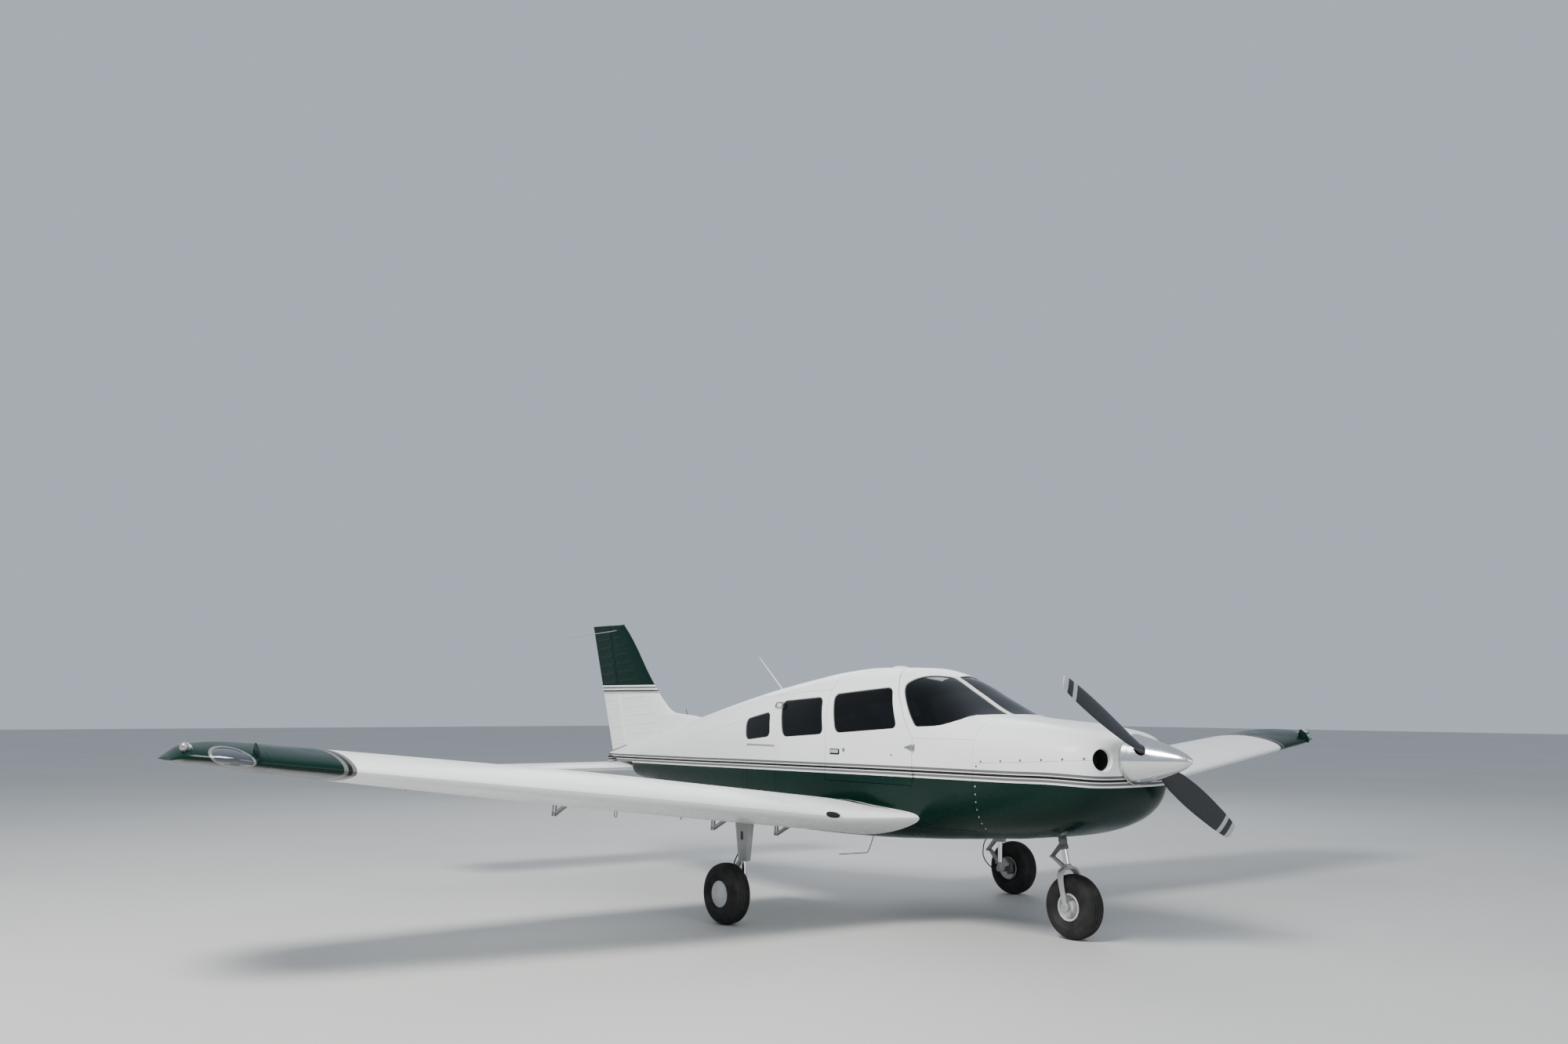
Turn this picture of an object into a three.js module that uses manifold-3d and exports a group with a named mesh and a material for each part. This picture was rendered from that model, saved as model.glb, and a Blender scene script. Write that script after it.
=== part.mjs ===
// Four-seat low-wing light aircraft on fixed tricycle landing gear.
// Millimetres. The nose points to -Y, the right wing to -X, +Z is up, and the tyres stand on z = 0.
import * as THREE from "three";
import { mergeVertices } from "three/addons/utils/BufferGeometryUtils.js";
import Module from "manifold-3d";

const wasm = await Module();
wasm.setup();

// Gaps: between pieces that touch, and round pieces that move.
const SEAT = 0.3;
const MOVE = 6;

// Fuselage. Each row is one cross-section, a superellipse with its own power above and below its middle.
// y, bottom, top, half width, height of the widest place, upper power, lower power
const FUSELAGE = [
  [-3200, 1010, 1345, 300, 1170, 2.4, 2.3],
  [-3170, 915, 1370, 370, 1155, 2.6, 2.7],
  [-3100, 830, 1390, 440, 1130, 2.9, 3.1],
  [-3000, 764, 1405, 485, 1120, 3.1, 3.1],
  [-2750, 692, 1435, 530, 1110, 3.5, 3.3],
  [-2450, 654, 1455, 555, 1100, 3.9, 3.4],
  [-2120, 630, 1488, 562, 1100, 3.8, 3.6],
  [-2070, 625, 1505, 562, 1100, 3.7, 3.6],
  [-1800, 605, 1640, 565, 1100, 3.2, 3.8],
  [-1530, 590, 1770, 565, 1100, 3.1, 4.0],
  [-1250, 575, 1832, 565, 1100, 3.2, 4.0],
  [-900, 565, 1838, 562, 1100, 3.2, 4.0],
  [-550, 560, 1814, 555, 1100, 3.2, 4.0],
  [-200, 560, 1765, 535, 1100, 3.2, 4.0],
  [250, 580, 1697, 495, 1100, 3.1, 3.9],
  [900, 650, 1580, 405, 1100, 2.9, 3.6],
  [1650, 745, 1425, 295, 1080, 2.6, 3.2],
  [2350, 830, 1275, 200, 1060, 2.4, 2.8],
  [2950, 905, 1150, 120, 1035, 2.2, 2.4],
  [3250, 960, 1085, 60, 1025, 2.0, 2.0],
];
const CABIN_FRONT = -2275;
const COWL_REAR = CABIN_FRONT - SEAT;
const CABIN_REAR = 470;
const TAIL_BULKHEAD = 2600;
const TAIL_END = 3250;
const CABIN_WALL = 40;
const COWL_WALL = 20;
const TAIL_WALL = 12;
const COWL_SPLIT = 1190;
const DECK_LINE = 1320;
const FLOOR_TOP = 700;

// Openings seen from the side, as y, z corners.
const ROOF_SEAM_FRONT = [-2400, 1763];
const ROOF_SEAM_REAR = [600, 1598];
const DOOR_FRONT_SEAM = [
  [-1684, 1320],
  [-1579, 1451],
  [-1533, 1523],
  [-1447, 1635],
  [-1386, 1721],
  [-1276, 1816],
];
const WINDSHIELD_SIDE = [
  [-2160, 1560],
  [-2112, 1492],
  [-2007, 1435],
  [-1898, 1409],
  [-1709, 1401],
  [-1651, 1469],
  [-1477, 1675],
  [-1450, 1732],
  [-1533, 1762],
  [-1533, 1830],
];
const WINDSHIELD_STRIP = 50;
const FRONT_WINDOW = [
  [-749, 1594],
  [-792, 1641],
  [-1313, 1684],
  [-1386, 1641],
  [-1486, 1439],
  [-1454, 1383],
  [-862, 1343],
  [-804, 1401],
];
const REAR_WINDOW = [
  [-59, 1555],
  [-104, 1586],
  [-571, 1614],
  [-614, 1594],
  [-669, 1369],
  [-624, 1327],
  [-175, 1299],
  [-127, 1347],
];
const QUARTER_WINDOW = [
  [447, 1406],
  [399, 1445],
  [147, 1488],
  [77, 1474],
  [44, 1325],
  [88, 1293],
  [356, 1268],
  [427, 1298],
];
const PANE_DEPTH = 10;
const PANE = 6;

// Cabin door: an upright hinge line outside the skin at its front edge.
const DOOR_HINGE = [-576, -1690];
const DOOR_BOTTOM = 990;
// reach from the hinge line of the door's rear edge, height
const DOOR_REACH = [
  [974, 900],
  [976, 1300],
  [988, 1458],
  [1010, 1695],
  [1051, 1756],
  [1110, 1850],
];
const DOOR_TOP_FRONT = [-234, -1276, 1816];
const DOOR_TOP_REAR = [-370, -658, 1756];
const DOOR_TOP_SLOPE = [-0.45, 0, 0.89];
const DOOR_HINGE_HEIGHTS = [1060, 1255];
const KNUCKLE_RADIUS = 7;
const KNUCKLE_LENGTH = 22;

// Baggage door on the right side, hinged along its top edge.
const BAGGAGE_DOOR = { front: -37, rear: 391, bottom: 800, top: 1230 };

// Wing, in its own flat frame: u outwards, y aft, w up. The frame is raised by the dihedral.
const DIHEDRAL = 6.7;
const WING_HEIGHT = 654.5;
// u, leading edge y, chord, leading edge w, nose-up angle, thickness over chord, nose cuff
const WING = [
  [440, -1500, 1600, 0, 2, 0.15, 265],
  [1010, -1500, 1600, 0, 2, 0.15, 0],
  [2715, -1495, 1600, 0, 2, 0.15, 0],
  [4985, -1215, 1115, -20, 0, 0.15, 0],
];
const WING_TIP = [
  [4985.4, -1215, 1115, -20, 0, 0.15, 0],
  [5150, -1180, 1010, -20, 0, 0.15, 0],
  [5290, -1110, 790, -24, 0, 0.155, 0],
  [5390, -1040, 450, -28, 0, 0.2, 0],
  [5443, -960, 270, -52, 0, 0.06, 0],
];
const CUFF_LIFT = 62;
// u of both ends, chord behind the hinge at both ends
const FLAP = [600, 2778, 330, 322];
const AILERON = [2790, 4900, 290, 225];
const HINGE_BLOCK = 24;

// Tail surfaces.
const TAILPLANE = { half: 1960, front: 2690, chord: 760, z: 955, thick: 0.11, pivot: 2930, tab: 132 };
// z, leading edge y. The hinge and the trailing edge are straight lines.
const FIN = [
  [1060, 2150],
  [1400, 1640],
  [1440, 1790],
  [1471, 2149],
  [1559, 2317],
  [1736, 2518],
  [2290, 3040],
  [2326, 3090],
];
const FIN_TOP = 2326;
const FIN_HINGE = { z: 1148, y: 2980, slope: 0.2992 };
const FIN_REAR = { z: 1102, y: 3248, slope: 0.3366 };
const FIN_HALF = { low: 25, high: 17 };
const RUDDER_BOTTOM = 1090;
const RUDDER_FOOT = [[2850, 1187], [3350, 1081]];

// Propeller and spinner.
const PROP = { y: -3335, z: 1208, radius: 965, turn: 59 };
const HUB = { front: 50, rear: 118, radius: 62 };
const SPINNER = { base: -3214, tip: -3660, radius: 165, wall: 6 };
// radius, chord, thickness, blade angle
const BLADE = [
  [45, 62, 58, 60],
  [140, 88, 48, 52],
  [300, 142, 30, 38],
  [520, 158, 21, 28],
  [760, 142, 14, 21],
  [930, 108, 9, 18],
  [965, 66, 6, 17],
];

// Landing gear.
const TYRE = { radius: 215, half: 77, bead: 80, facets: 16 };
const RIM = { flange: 93, half: 68, bore: 13.5 };
const MAIN = { x: 1470, y: -715, leg: 1315 };
const NOSE_AXLE = [0, -2665, 215];
const NOSE_RAKE = 12.27;

// Colours.
const WHITE = { color: "#e9ebea", roughness: 0.25, metalness: 0 };
const GREEN = { color: "#0c2a22", roughness: 0.2, metalness: 0 };
const GLASS = { color: "#2c3234", roughness: 0.05, metalness: 0 };
const METAL = { color: "#b9bcbf", roughness: 0.3, metalness: 1 };
const DARK = { color: "#1b1c1d", roughness: 0.8, metalness: 0 };
const CLOTH = { color: "#8b8478", roughness: 0.9, metalness: 0 };
const IRON = { color: "#55575a", roughness: 0.6, metalness: 1 };

const aircraft = new THREE.Group();

// Solids.
function solidFrom(positions, triangles) {
  const geometry = new THREE.BufferGeometry();
  geometry.setAttribute("position", new THREE.BufferAttribute(Float32Array.from(positions), 3));
  geometry.setIndex(Array.from(triangles));
  const merged = mergeVertices(geometry, 1e-3);
  const vertProperties = merged.attributes.position.array;
  const triVerts = Uint32Array.from(merged.index.array);
  const made = new wasm.Manifold(new wasm.Mesh({ numProp: 3, vertProperties, triVerts }));
  if (made.volume() >= 0) return made;
  for (let i = 0; i < triVerts.length; i += 3) {
    [triVerts[i + 1], triVerts[i + 2]] = [triVerts[i + 2], triVerts[i + 1]];
  }
  return new wasm.Manifold(new wasm.Mesh({ numProp: 3, vertProperties, triVerts }));
}

function solid(geometry) {
  const count = geometry.attributes.position.count;
  const triangles = geometry.index ? geometry.index.array : [...Array(count).keys()];
  return solidFrom(geometry.attributes.position.array, triangles);
}

function geometryOf(body) {
  const mesh = body.getMesh();
  const positions = [];
  for (let i = 0; i < mesh.numVert; i++) {
    positions.push(...mesh.vertProperties.subarray(i * mesh.numProp, i * mesh.numProp + 3));
  }
  const geometry = new THREE.BufferGeometry();
  geometry.setAttribute("position", new THREE.Float32BufferAttribute(positions, 3));
  geometry.setIndex(Array.from(mesh.triVerts));
  return geometry;
}

function moved(body, matrix) {
  return solid(geometryOf(body).applyMatrix4(matrix));
}

function shifted(body, x, y, z) {
  return moved(body, new THREE.Matrix4().makeTranslation(x, y, z));
}

function mirrored(body) {
  return moved(body, new THREE.Matrix4().makeScale(-1, 1, 1));
}

function joined(...bodies) {
  return bodies.reduce((whole, body) => whole.add(body));
}

function add(name, body, look) {
  const geometry = geometryOf(body).toNonIndexed();
  geometry.computeVertexNormals();
  const mesh = new THREE.Mesh(geometry, new THREE.MeshStandardMaterial(look));
  mesh.name = name;
  aircraft.add(mesh);
}

function addPair(name, leftBody, look) {
  add("left_" + name, leftBody, look);
  add("right_" + name, mirrored(leftBody), look);
}

function box(x0, x1, y0, y1, z0, z1) {
  const geometry = new THREE.BoxGeometry(x1 - x0, y1 - y0, z1 - z0);
  return solid(geometry.translate((x0 + x1) / 2, (y0 + y1) / 2, (z0 + z1) / 2));
}

// A round bar, or a cone, between two points.
function rod(from, to, radius, endRadius = radius, sides = 16) {
  const a = new THREE.Vector3(...from);
  const b = new THREE.Vector3(...to);
  const along = b.clone().sub(a);
  const geometry = new THREE.CylinderGeometry(endRadius, radius, along.length(), sides);
  const turn = new THREE.Quaternion();
  turn.setFromUnitVectors(new THREE.Vector3(0, 1, 0), along.clone().normalize());
  geometry.applyQuaternion(turn);
  return solid(geometry.translate(...a.add(b).divideScalar(2)));
}

// A bar that follows several points.
function bentRod(points, radius) {
  const bars = points.slice(1).map((point, i) => rod(points[i], point, radius, radius, 10));
  const knees = points.slice(1, -1).map((point) => {
    return solid(new THREE.SphereGeometry(radius, 10, 6).translate(...point));
  });
  return joined(...bars, ...knees);
}

// A solid through like rings of points, with flat ends. flatten gives a ring's points in its own plane.
function loft(rings, flatten) {
  const count = rings[0].length;
  const faces = [];
  for (let r = 0; r + 1 < rings.length; r++) {
    for (let i = 0; i < count; i++) {
      const a = r * count + i;
      const b = r * count + ((i + 1) % count);
      faces.push(a, b, b + count, a, b + count, a + count);
    }
  }
  for (const [ring, start] of [[rings[0], 0], [rings.at(-1), (rings.length - 1) * count]]) {
    const outline = ring.map(flatten);
    const sameWay = THREE.ShapeUtils.area(outline) > 0 === start > 0;
    for (const [a, b, c] of THREE.ShapeUtils.triangulateShape(outline, [])) {
      faces.push(start + a, start + (sameWay ? b : c), start + (sameWay ? c : b));
    }
  }
  return solidFrom(rings.flat().flatMap((point) => point.toArray()), faces);
}

const acrossY = (point) => new THREE.Vector2(point.x, point.z);
const acrossX = (point) => new THREE.Vector2(point.y, point.z);
const acrossZ = (point) => new THREE.Vector2(point.x, point.y);

// An outline with round corners.
function roundOutline(corners, radius) {
  const shape = new THREE.Shape();
  corners.forEach(([x, y], i) => {
    const corner = new THREE.Vector2(x, y);
    const before = new THREE.Vector2(...corners.at(i - 1)).sub(corner);
    const after = new THREE.Vector2(...corners[(i + 1) % corners.length]).sub(corner);
    const cut = Math.min(radius, before.length() * 0.45, after.length() * 0.45);
    const start = corner.clone().add(before.setLength(cut));
    const end = corner.clone().add(after.setLength(cut));
    if (i === 0) shape.moveTo(start.x, start.y);
    else shape.lineTo(start.x, start.y);
    shape.quadraticCurveTo(x, y, end.x, end.y);
  });
  shape.closePath();
  return shape;
}

function outline(corners) {
  return new THREE.Shape(corners.map((corner) => new THREE.Vector2(...corner)));
}

// An outline in y and z, carried along x.
function prismX(shape, x0, x1) {
  const geometry = new THREE.ExtrudeGeometry(shape, { depth: x1 - x0, bevelEnabled: false, curveSegments: 1 });
  const basis = new THREE.Matrix4().makeBasis(
    new THREE.Vector3(0, 1, 0),
    new THREE.Vector3(0, 0, 1),
    new THREE.Vector3(1, 0, 0),
  );
  return solid(geometry.applyMatrix4(basis).translate(x0, 0, 0));
}

// Corners moved inwards by a distance.
function shrunk(corners, distance) {
  const turn = Math.sign(THREE.ShapeUtils.area(corners.map((corner) => new THREE.Vector2(...corner))));
  return corners.map(([x, y], i) => {
    const [bx, by] = corners.at(i - 1);
    const [ax, ay] = corners[(i + 1) % corners.length];
    const before = new THREE.Vector2(x - bx, y - by).normalize();
    const after = new THREE.Vector2(ax - x, ay - y).normalize();
    const inwards = new THREE.Vector2(-before.y - after.y, before.x + after.x).multiplyScalar(turn);
    inwards.setLength((2 * distance) / inwards.length());
    return [x + inwards.x, y + inwards.y];
  });
}

// Smooth values between the rows of a table, with no overshoot.
function column(rows, index) {
  const at = rows.map((row) => row[0]);
  const value = rows.map((row) => row[index]);
  const slope = value.slice(1).map((v, i) => (v - value[i]) / (at[i + 1] - at[i]));
  const tangent = value.map((_, i) => {
    if (i === 0) return slope[0];
    if (i === value.length - 1) return slope.at(-1);
    const [before, after] = [slope[i - 1], slope[i]];
    if (before * after <= 0) return 0;
    const [near, far] = [at[i] - at[i - 1], at[i + 1] - at[i]];
    return (3 * (near + far)) / ((2 * far + near) / before + (far + 2 * near) / after);
  });
  return (x) => {
    let i = at.findIndex((limit) => x < limit) - 1;
    if (i < 0) i = x < at[0] ? 0 : at.length - 2;
    const step = at[i + 1] - at[i];
    const t = Math.min(1, Math.max(0, (x - at[i]) / step));
    const rise = value[i + 1] - value[i];
    const bend = (step * tangent[i] - rise) * (1 - t) - (step * tangent[i + 1] - rise) * t;
    return value[i] + rise * t + t * (1 - t) * bend;
  };
}

const [bottomAt, topAt, halfAt, middleAt, upperAt, lowerAt] = [1, 2, 3, 4, 5, 6].map((i) => {
  return column(FUSELAGE, i);
});
const QUARTER_POINTS = 6;

function fuselageRing(y, inset) {
  const half = halfAt(y) - inset;
  const middle = middleAt(y);
  const ring = [];
  for (let i = -QUARTER_POINTS; i < 3 * QUARTER_POINTS; i++) {
    const angle = (i / QUARTER_POINTS) * (Math.PI / 2);
    const [c, s] = [Math.cos(angle), Math.sin(angle)];
    const power = 2 / (s > 0 ? upperAt(y) : lowerAt(y));
    const reach = s > 0 ? topAt(y) - inset - middle : middle - bottomAt(y) - inset;
    const x = Math.sign(c) * half * Math.abs(c) ** power;
    const z = middle + Math.sign(s) * reach * Math.abs(s) ** power;
    ring.push(new THREE.Vector3(Math.abs(c) < 1e-9 ? 0 : x, y, z));
  }
  return ring;
}

function fuselageSolid(y0, y1, inset) {
  const between = FUSELAGE.map((row) => row[0]).filter((y) => y > y0 + 15 && y < y1 - 15);
  return loft([y0, ...between, y1].map((y) => fuselageRing(y, inset)), acrossY);
}

const FAR = 6000;
const portSide = box(0, FAR, -FAR, FAR, -FAR, FAR);
const starboardSide = box(-FAR, 0, -FAR, FAR, -FAR, FAR);

// Cabin shell and the seams that split it.
const cabinOuter = fuselageSolid(CABIN_FRONT, CABIN_REAR, 0);
const cabinRoom = fuselageSolid(CABIN_FRONT - 20, CABIN_REAR + 20, CABIN_WALL);
const cabinShell = cabinOuter.subtract(cabinRoom);
const fittedRoom = fuselageSolid(CABIN_FRONT - 20, CABIN_REAR + 20, CABIN_WALL + SEAT);
const seatRoom = fuselageSolid(CABIN_FRONT - 20, CABIN_REAR + 20, CABIN_WALL + 10);
const slab = (z0, z1) => box(-FAR, FAR, -FAR, FAR, z0, z1);

function aboveRoofSeam(lift) {
  const [y0, z0] = ROOF_SEAM_FRONT;
  const [y1, z1] = ROOF_SEAM_REAR;
  return prismX(outline([[y0, z0 + lift], [y1, z1 + lift], [y1, FAR], [y0, FAR]]), -FAR, FAR);
}

function aheadOfDoorSeam(grow) {
  const seam = DOOR_FRONT_SEAM.map(([y, z]) => [y + grow, z]);
  const first = [-FAR, DECK_LINE - grow];
  seam[0][1] = DECK_LINE - grow;
  return prismX(outline([first, ...seam, [seam.at(-1)[0] + 60, FAR], [-FAR, FAR]]), -FAR, FAR);
}

function windowCut(corners, x0, x1, inset = 0) {
  return prismX(outline(inset ? shrunk(corners, inset) : corners), x0, x1);
}

// Cabin door: the skin inside its front seam, its top edge and the arc that its rear edge swings on.
function doorRegion(grow) {
  const front = DOOR_FRONT_SEAM.map(([y, z]) => [y + MOVE - grow, z]);
  const bottom = DOOR_BOTTOM - grow;
  front[0][1] = bottom;
  const lower = [front[0][0], DECK_LINE - 15];
  const sides = [front[0], lower, ...front.slice(1), [front.at(-1)[0] + 90, FAR], [0, FAR], [0, bottom]];
  const sideView = prismX(outline(sides), -FAR, -100);
  const profile = DOOR_REACH.map(([reach, z]) => new THREE.Vector2(reach + grow, z));
  profile.unshift(new THREE.Vector2(0, profile[0].y));
  profile.push(new THREE.Vector2(0, profile.at(-1).y));
  const swing = new THREE.LatheGeometry(profile, 72).rotateX(Math.PI / 2);
  const arc = solid(swing.translate(DOOR_HINGE[0], DOOR_HINGE[1], 0));
  const along = new THREE.Vector3(...DOOR_TOP_REAR).sub(new THREE.Vector3(...DOOR_TOP_FRONT)).normalize();
  const out = new THREE.Vector3().crossVectors(new THREE.Vector3(...DOOR_TOP_SLOPE), along).normalize();
  const up = new THREE.Vector3().crossVectors(out, along);
  const beyond = new THREE.BoxGeometry(2000, 4000, 4000).translate(1000, 0, 0);
  const place = new THREE.Matrix4().makeBasis(out, along, up);
  place.setPosition(new THREE.Vector3(...DOOR_TOP_FRONT).addScaledVector(out, -grow));
  const topCut = solid(beyond.applyMatrix4(place));
  return sideView.intersect(arc).intersect(topCut);
}

const doorOpening = doorRegion(MOVE);
const doorPlate = doorRegion(0);

// A hinge of two knuckles: one on the frame below, one on the door above.
function doorKnuckles(ofDoor) {
  const [x, y] = DOOR_HINGE;
  const reach = ofDoor ? [y, y + 50] : [y - 50, y];
  return joined(
    ...DOOR_HINGE_HEIGHTS.map((height) => {
      const z0 = ofDoor ? height + SEAT : height - KNUCKLE_LENGTH;
      const z1 = z0 + KNUCKLE_LENGTH;
      const barrel = rod([x, y, z0], [x, y, z1], KNUCKLE_RADIUS, KNUCKLE_RADIUS, 12);
      const root = ofDoor ? [y + MOVE + 4, y + 50] : reach;
      return joined(barrel, box(x - 3, x + 6, ...reach, z0, z1), box(x - 3, x + 20, ...root, z0, z1));
    }),
  );
}

const baggage = BAGGAGE_DOOR;
const baggageHinge = [baggage.front, baggage.rear].map((y) => [-halfAt(y) - 6, y, baggage.top]);

function baggageRegion(grow) {
  const corners = [
    [baggage.front - grow, baggage.bottom - grow],
    [baggage.rear + grow, baggage.bottom - grow],
    [baggage.rear + grow, baggage.top + grow / 2],
    [baggage.front - grow, baggage.top + grow / 2],
  ];
  return prismX(roundOutline(corners, 40), -FAR, -200);
}

// The baggage door's hinge: three knuckles on the line of its top edge.
function baggageKnuckles(ofDoor) {
  const at = (share) => {
    return baggageHinge[0].map((v, i) => v + (baggageHinge[1][i] - v) * share);
  };
  const spans = ofDoor ? [[0.2, 0.3993], [0.6007, 0.8]] : [[0.4, 0.6]];
  return joined(
    ...spans.map(([from, to]) => {
      const [a, b] = [at(from), at(to)];
      const [z0, z1] = ofDoor ? [a[2] - 30, a[2]] : [a[2], a[2] + 30];
      return rod(a, b, 5).add(box(a[0] - 1, a[0] + 14, a[1] + 4, b[1] - 4, z0, z1));
    }),
  );
}

const surround = cabinShell
  .intersect(aheadOfDoorSeam(0))
  .subtract(
    prismX(outline(WINDSHIELD_SIDE), -FAR, FAR).subtract(
      box(-WINDSHIELD_STRIP / 2, WINDSHIELD_STRIP / 2, -FAR, FAR, 0, FAR),
    ),
  );
add("windshield_surround", surround, WHITE);

const behindSeam = cabinShell.subtract(aheadOfDoorSeam(SEAT));
const roof = behindSeam.intersect(aboveRoofSeam(SEAT)).subtract(doorOpening);
add("cabin_roof", roof, WHITE);

const sides = behindSeam.subtract(aboveRoofSeam(0)).intersect(slab(FLOOR_TOP, FAR));
const leftSide = [FRONT_WINDOW, REAR_WINDOW, QUARTER_WINDOW].reduce((body, corners) => {
  return body.subtract(windowCut(corners, 200, 800));
}, sides.intersect(portSide));
add("left_side_panel", leftSide, WHITE);

const rightSide = [REAR_WINDOW, QUARTER_WINDOW].reduce((body, corners) => {
  return body.subtract(windowCut(corners, -800, -200));
}, sides.intersect(starboardSide).subtract(doorOpening).subtract(baggageRegion(MOVE)));
add("right_side_panel", joined(rightSide, doorKnuckles(false), baggageKnuckles(false)), WHITE);

const door = cabinShell.intersect(doorPlate).subtract(windowCut(FRONT_WINDOW, -800, -200));
add("cabin_door", door.add(doorKnuckles(true)), WHITE);
add("baggage_door", cabinShell.intersect(baggageRegion(0)).add(baggageKnuckles(true)), WHITE);
add("belly_floor", cabinOuter.intersect(slab(0, FLOOR_TOP - SEAT)), GREEN);

// Glass panes lie in their openings, a little below the outer skin.
const paneShell = fuselageSolid(CABIN_FRONT, CABIN_REAR, PANE_DEPTH).subtract(
  fuselageSolid(CABIN_FRONT - 20, CABIN_REAR + 20, PANE_DEPTH + PANE),
);
const shield = paneShell.intersect(prismX(outline(shrunk(WINDSHIELD_SIDE, SEAT)), -FAR, FAR));
const stripEdge = WINDSHIELD_STRIP / 2 + SEAT;
add("windshield_left", shield.intersect(box(stripEdge, FAR, -FAR, FAR, 0, FAR)), GLASS);
add("windshield_right", shield.intersect(box(-FAR, -stripEdge, -FAR, FAR, 0, FAR)), GLASS);
for (const [name, corners, side] of [
  ["left_front_window", FRONT_WINDOW, 1],
  ["left_rear_window", REAR_WINDOW, 1],
  ["left_quarter_window", QUARTER_WINDOW, 1],
  ["door_window", FRONT_WINDOW, -1],
  ["right_rear_window", REAR_WINDOW, -1],
  ["right_quarter_window", QUARTER_WINDOW, -1],
]) {
  const pane = paneShell.intersect(windowCut(corners, 200, 800, SEAT));
  add(name, side > 0 ? pane : mirrored(pane), GLASS);
}

// Cowl: a hollow nose bowl with two round inlets, the shaft's hole and an outlet below.
const INLET = { x: 300, radius: 72 };
const OUTLET = { half: 190, front: -2640, rear: -2300 };
let cowl = fuselageSolid(-3200, COWL_REAR, 0).subtract(fuselageSolid(-3176, COWL_REAR + 20, COWL_WALL));
for (const x of [-INLET.x, INLET.x]) {
  cowl = cowl.subtract(rod([x, -3300, PROP.z], [x, -3090, PROP.z], INLET.radius, INLET.radius, 24));
}
cowl = cowl.subtract(rod([0, -3300, PROP.z], [0, -3100, PROP.z], 60));
cowl = cowl.subtract(box(-OUTLET.half, OUTLET.half, OUTLET.front, OUTLET.rear, 500, 800));
add("upper_cowl", cowl.intersect(slab(COWL_SPLIT + SEAT, FAR)), WHITE);
add("lower_cowl", cowl.intersect(slab(0, COWL_SPLIT)), GREEN);

// Engine as one block with its shaft, held by four tubes on the firewall.
const ENGINE = { half: 370, front: -2980, rear: -2420, bottom: 900, top: 1290 };
const { half: eh, front: ef, rear: er, bottom: eb, top: et } = ENGINE;
const shaft = rod([0, ef + 20, PROP.z], [0, PROP.y + HUB.rear + SEAT, PROP.z], 30);
add("engine_block", joined(box(-eh, eh, ef, er, eb, et), shaft), IRON);
const FIREWALL = [-2272, -2262];
let firewall = fittedRoom.intersect(box(-FAR, FAR, ...FIREWALL, FLOOR_TOP + SEAT, FAR));
for (const x of [-250, 250]) {
  for (const z of [950, 1240]) {
    firewall = firewall.add(rod([x, er + SEAT, z], [x, FIREWALL[0] + 1, z], 14));
  }
}
add("firewall", firewall, METAL);
const bulkhead = fittedRoom.intersect(box(-FAR, FAR, CABIN_REAR - 15, CABIN_REAR - 3, FLOOR_TOP + SEAT, FAR));
add("aft_bulkhead", bulkhead, CLOTH);

// Tail cone: a thin tube, its bulkhead and the tongue that carries the tailplane's pivot.
const tail = TAILPLANE;
const tongue = { half: 26, thick: 16, pin: 8 };
const tailSkin = fuselageSolid(CABIN_REAR + SEAT, TAIL_END, 0);
const tailRoom = fuselageSolid(CABIN_REAR - 20, TAIL_END - 25, TAIL_WALL);
const bulkheadPlate = tailSkin.intersect(box(-FAR, FAR, TAIL_BULKHEAD, TAIL_BULKHEAD + 15, 0, FAR));
const tailplaneSpace = prismX(
  outline([
    [tail.front - 55, 0],
    [tail.front - 55, tail.z + 62],
    [tail.pivot, tail.z + 62],
    [TAIL_END + 50, tail.z + 122],
    [TAIL_END + 50, 0],
  ]),
  -FAR,
  FAR,
);
const tongueBar = joined(
  box(-tongue.half, tongue.half, TAIL_BULKHEAD + 5, tail.pivot, tail.z - tongue.thick, tail.z + tongue.thick),
  rod([-tongue.half, tail.pivot, tail.z], [tongue.half, tail.pivot, tail.z], tongue.thick, tongue.thick, 20),
);
const pinHole = rod([-60, tail.pivot, tail.z], [60, tail.pivot, tail.z], tongue.pin + SEAT, tongue.pin + SEAT, 20);
const tailCone = tailSkin.subtract(tailRoom).add(bulkheadPlate).subtract(tailplaneSpace).add(tongueBar);
add("tail_cone", tailCone.subtract(pinHole), WHITE);

// Aerofoil: share of the chord, half thickness over the full thickness. Square-root spacing keeps the nose round.
const AEROFOIL = [
  [0, 0],
  [0.0125, 0.1135],
  [0.05, 0.2163],
  [0.1, 0.3037],
  [0.2, 0.4149],
  [0.3, 0.4768],
  [0.4, 0.4999],
  [0.5, 0.4779],
  [0.6, 0.4079],
  [0.7, 0.3067],
  [0.8, 0.1905],
  [0.9, 0.0763],
  [1, 0.006],
];
const thicknessAt = column(AEROFOIL.map(([share, half]) => [Math.sqrt(share), half]), 1);
const CAMBER = 0.0318;

function aerofoilPoint(share, side, chord, thick, camber) {
  const bow = share > 0 && share < 1 ? -(1 - share) * Math.log(1 - share) - share * Math.log(share) : 0;
  const half = thicknessAt(Math.sqrt(share)) * thick;
  return [share * chord, (camber * bow + side * half) * chord];
}

const WING_SHARES = [1, 0.9, 0.8, 0.68, 0.55, 0.42, 0.3, 0.2, 0.12, 0.06, 0.025, 0.006, 0];

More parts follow.
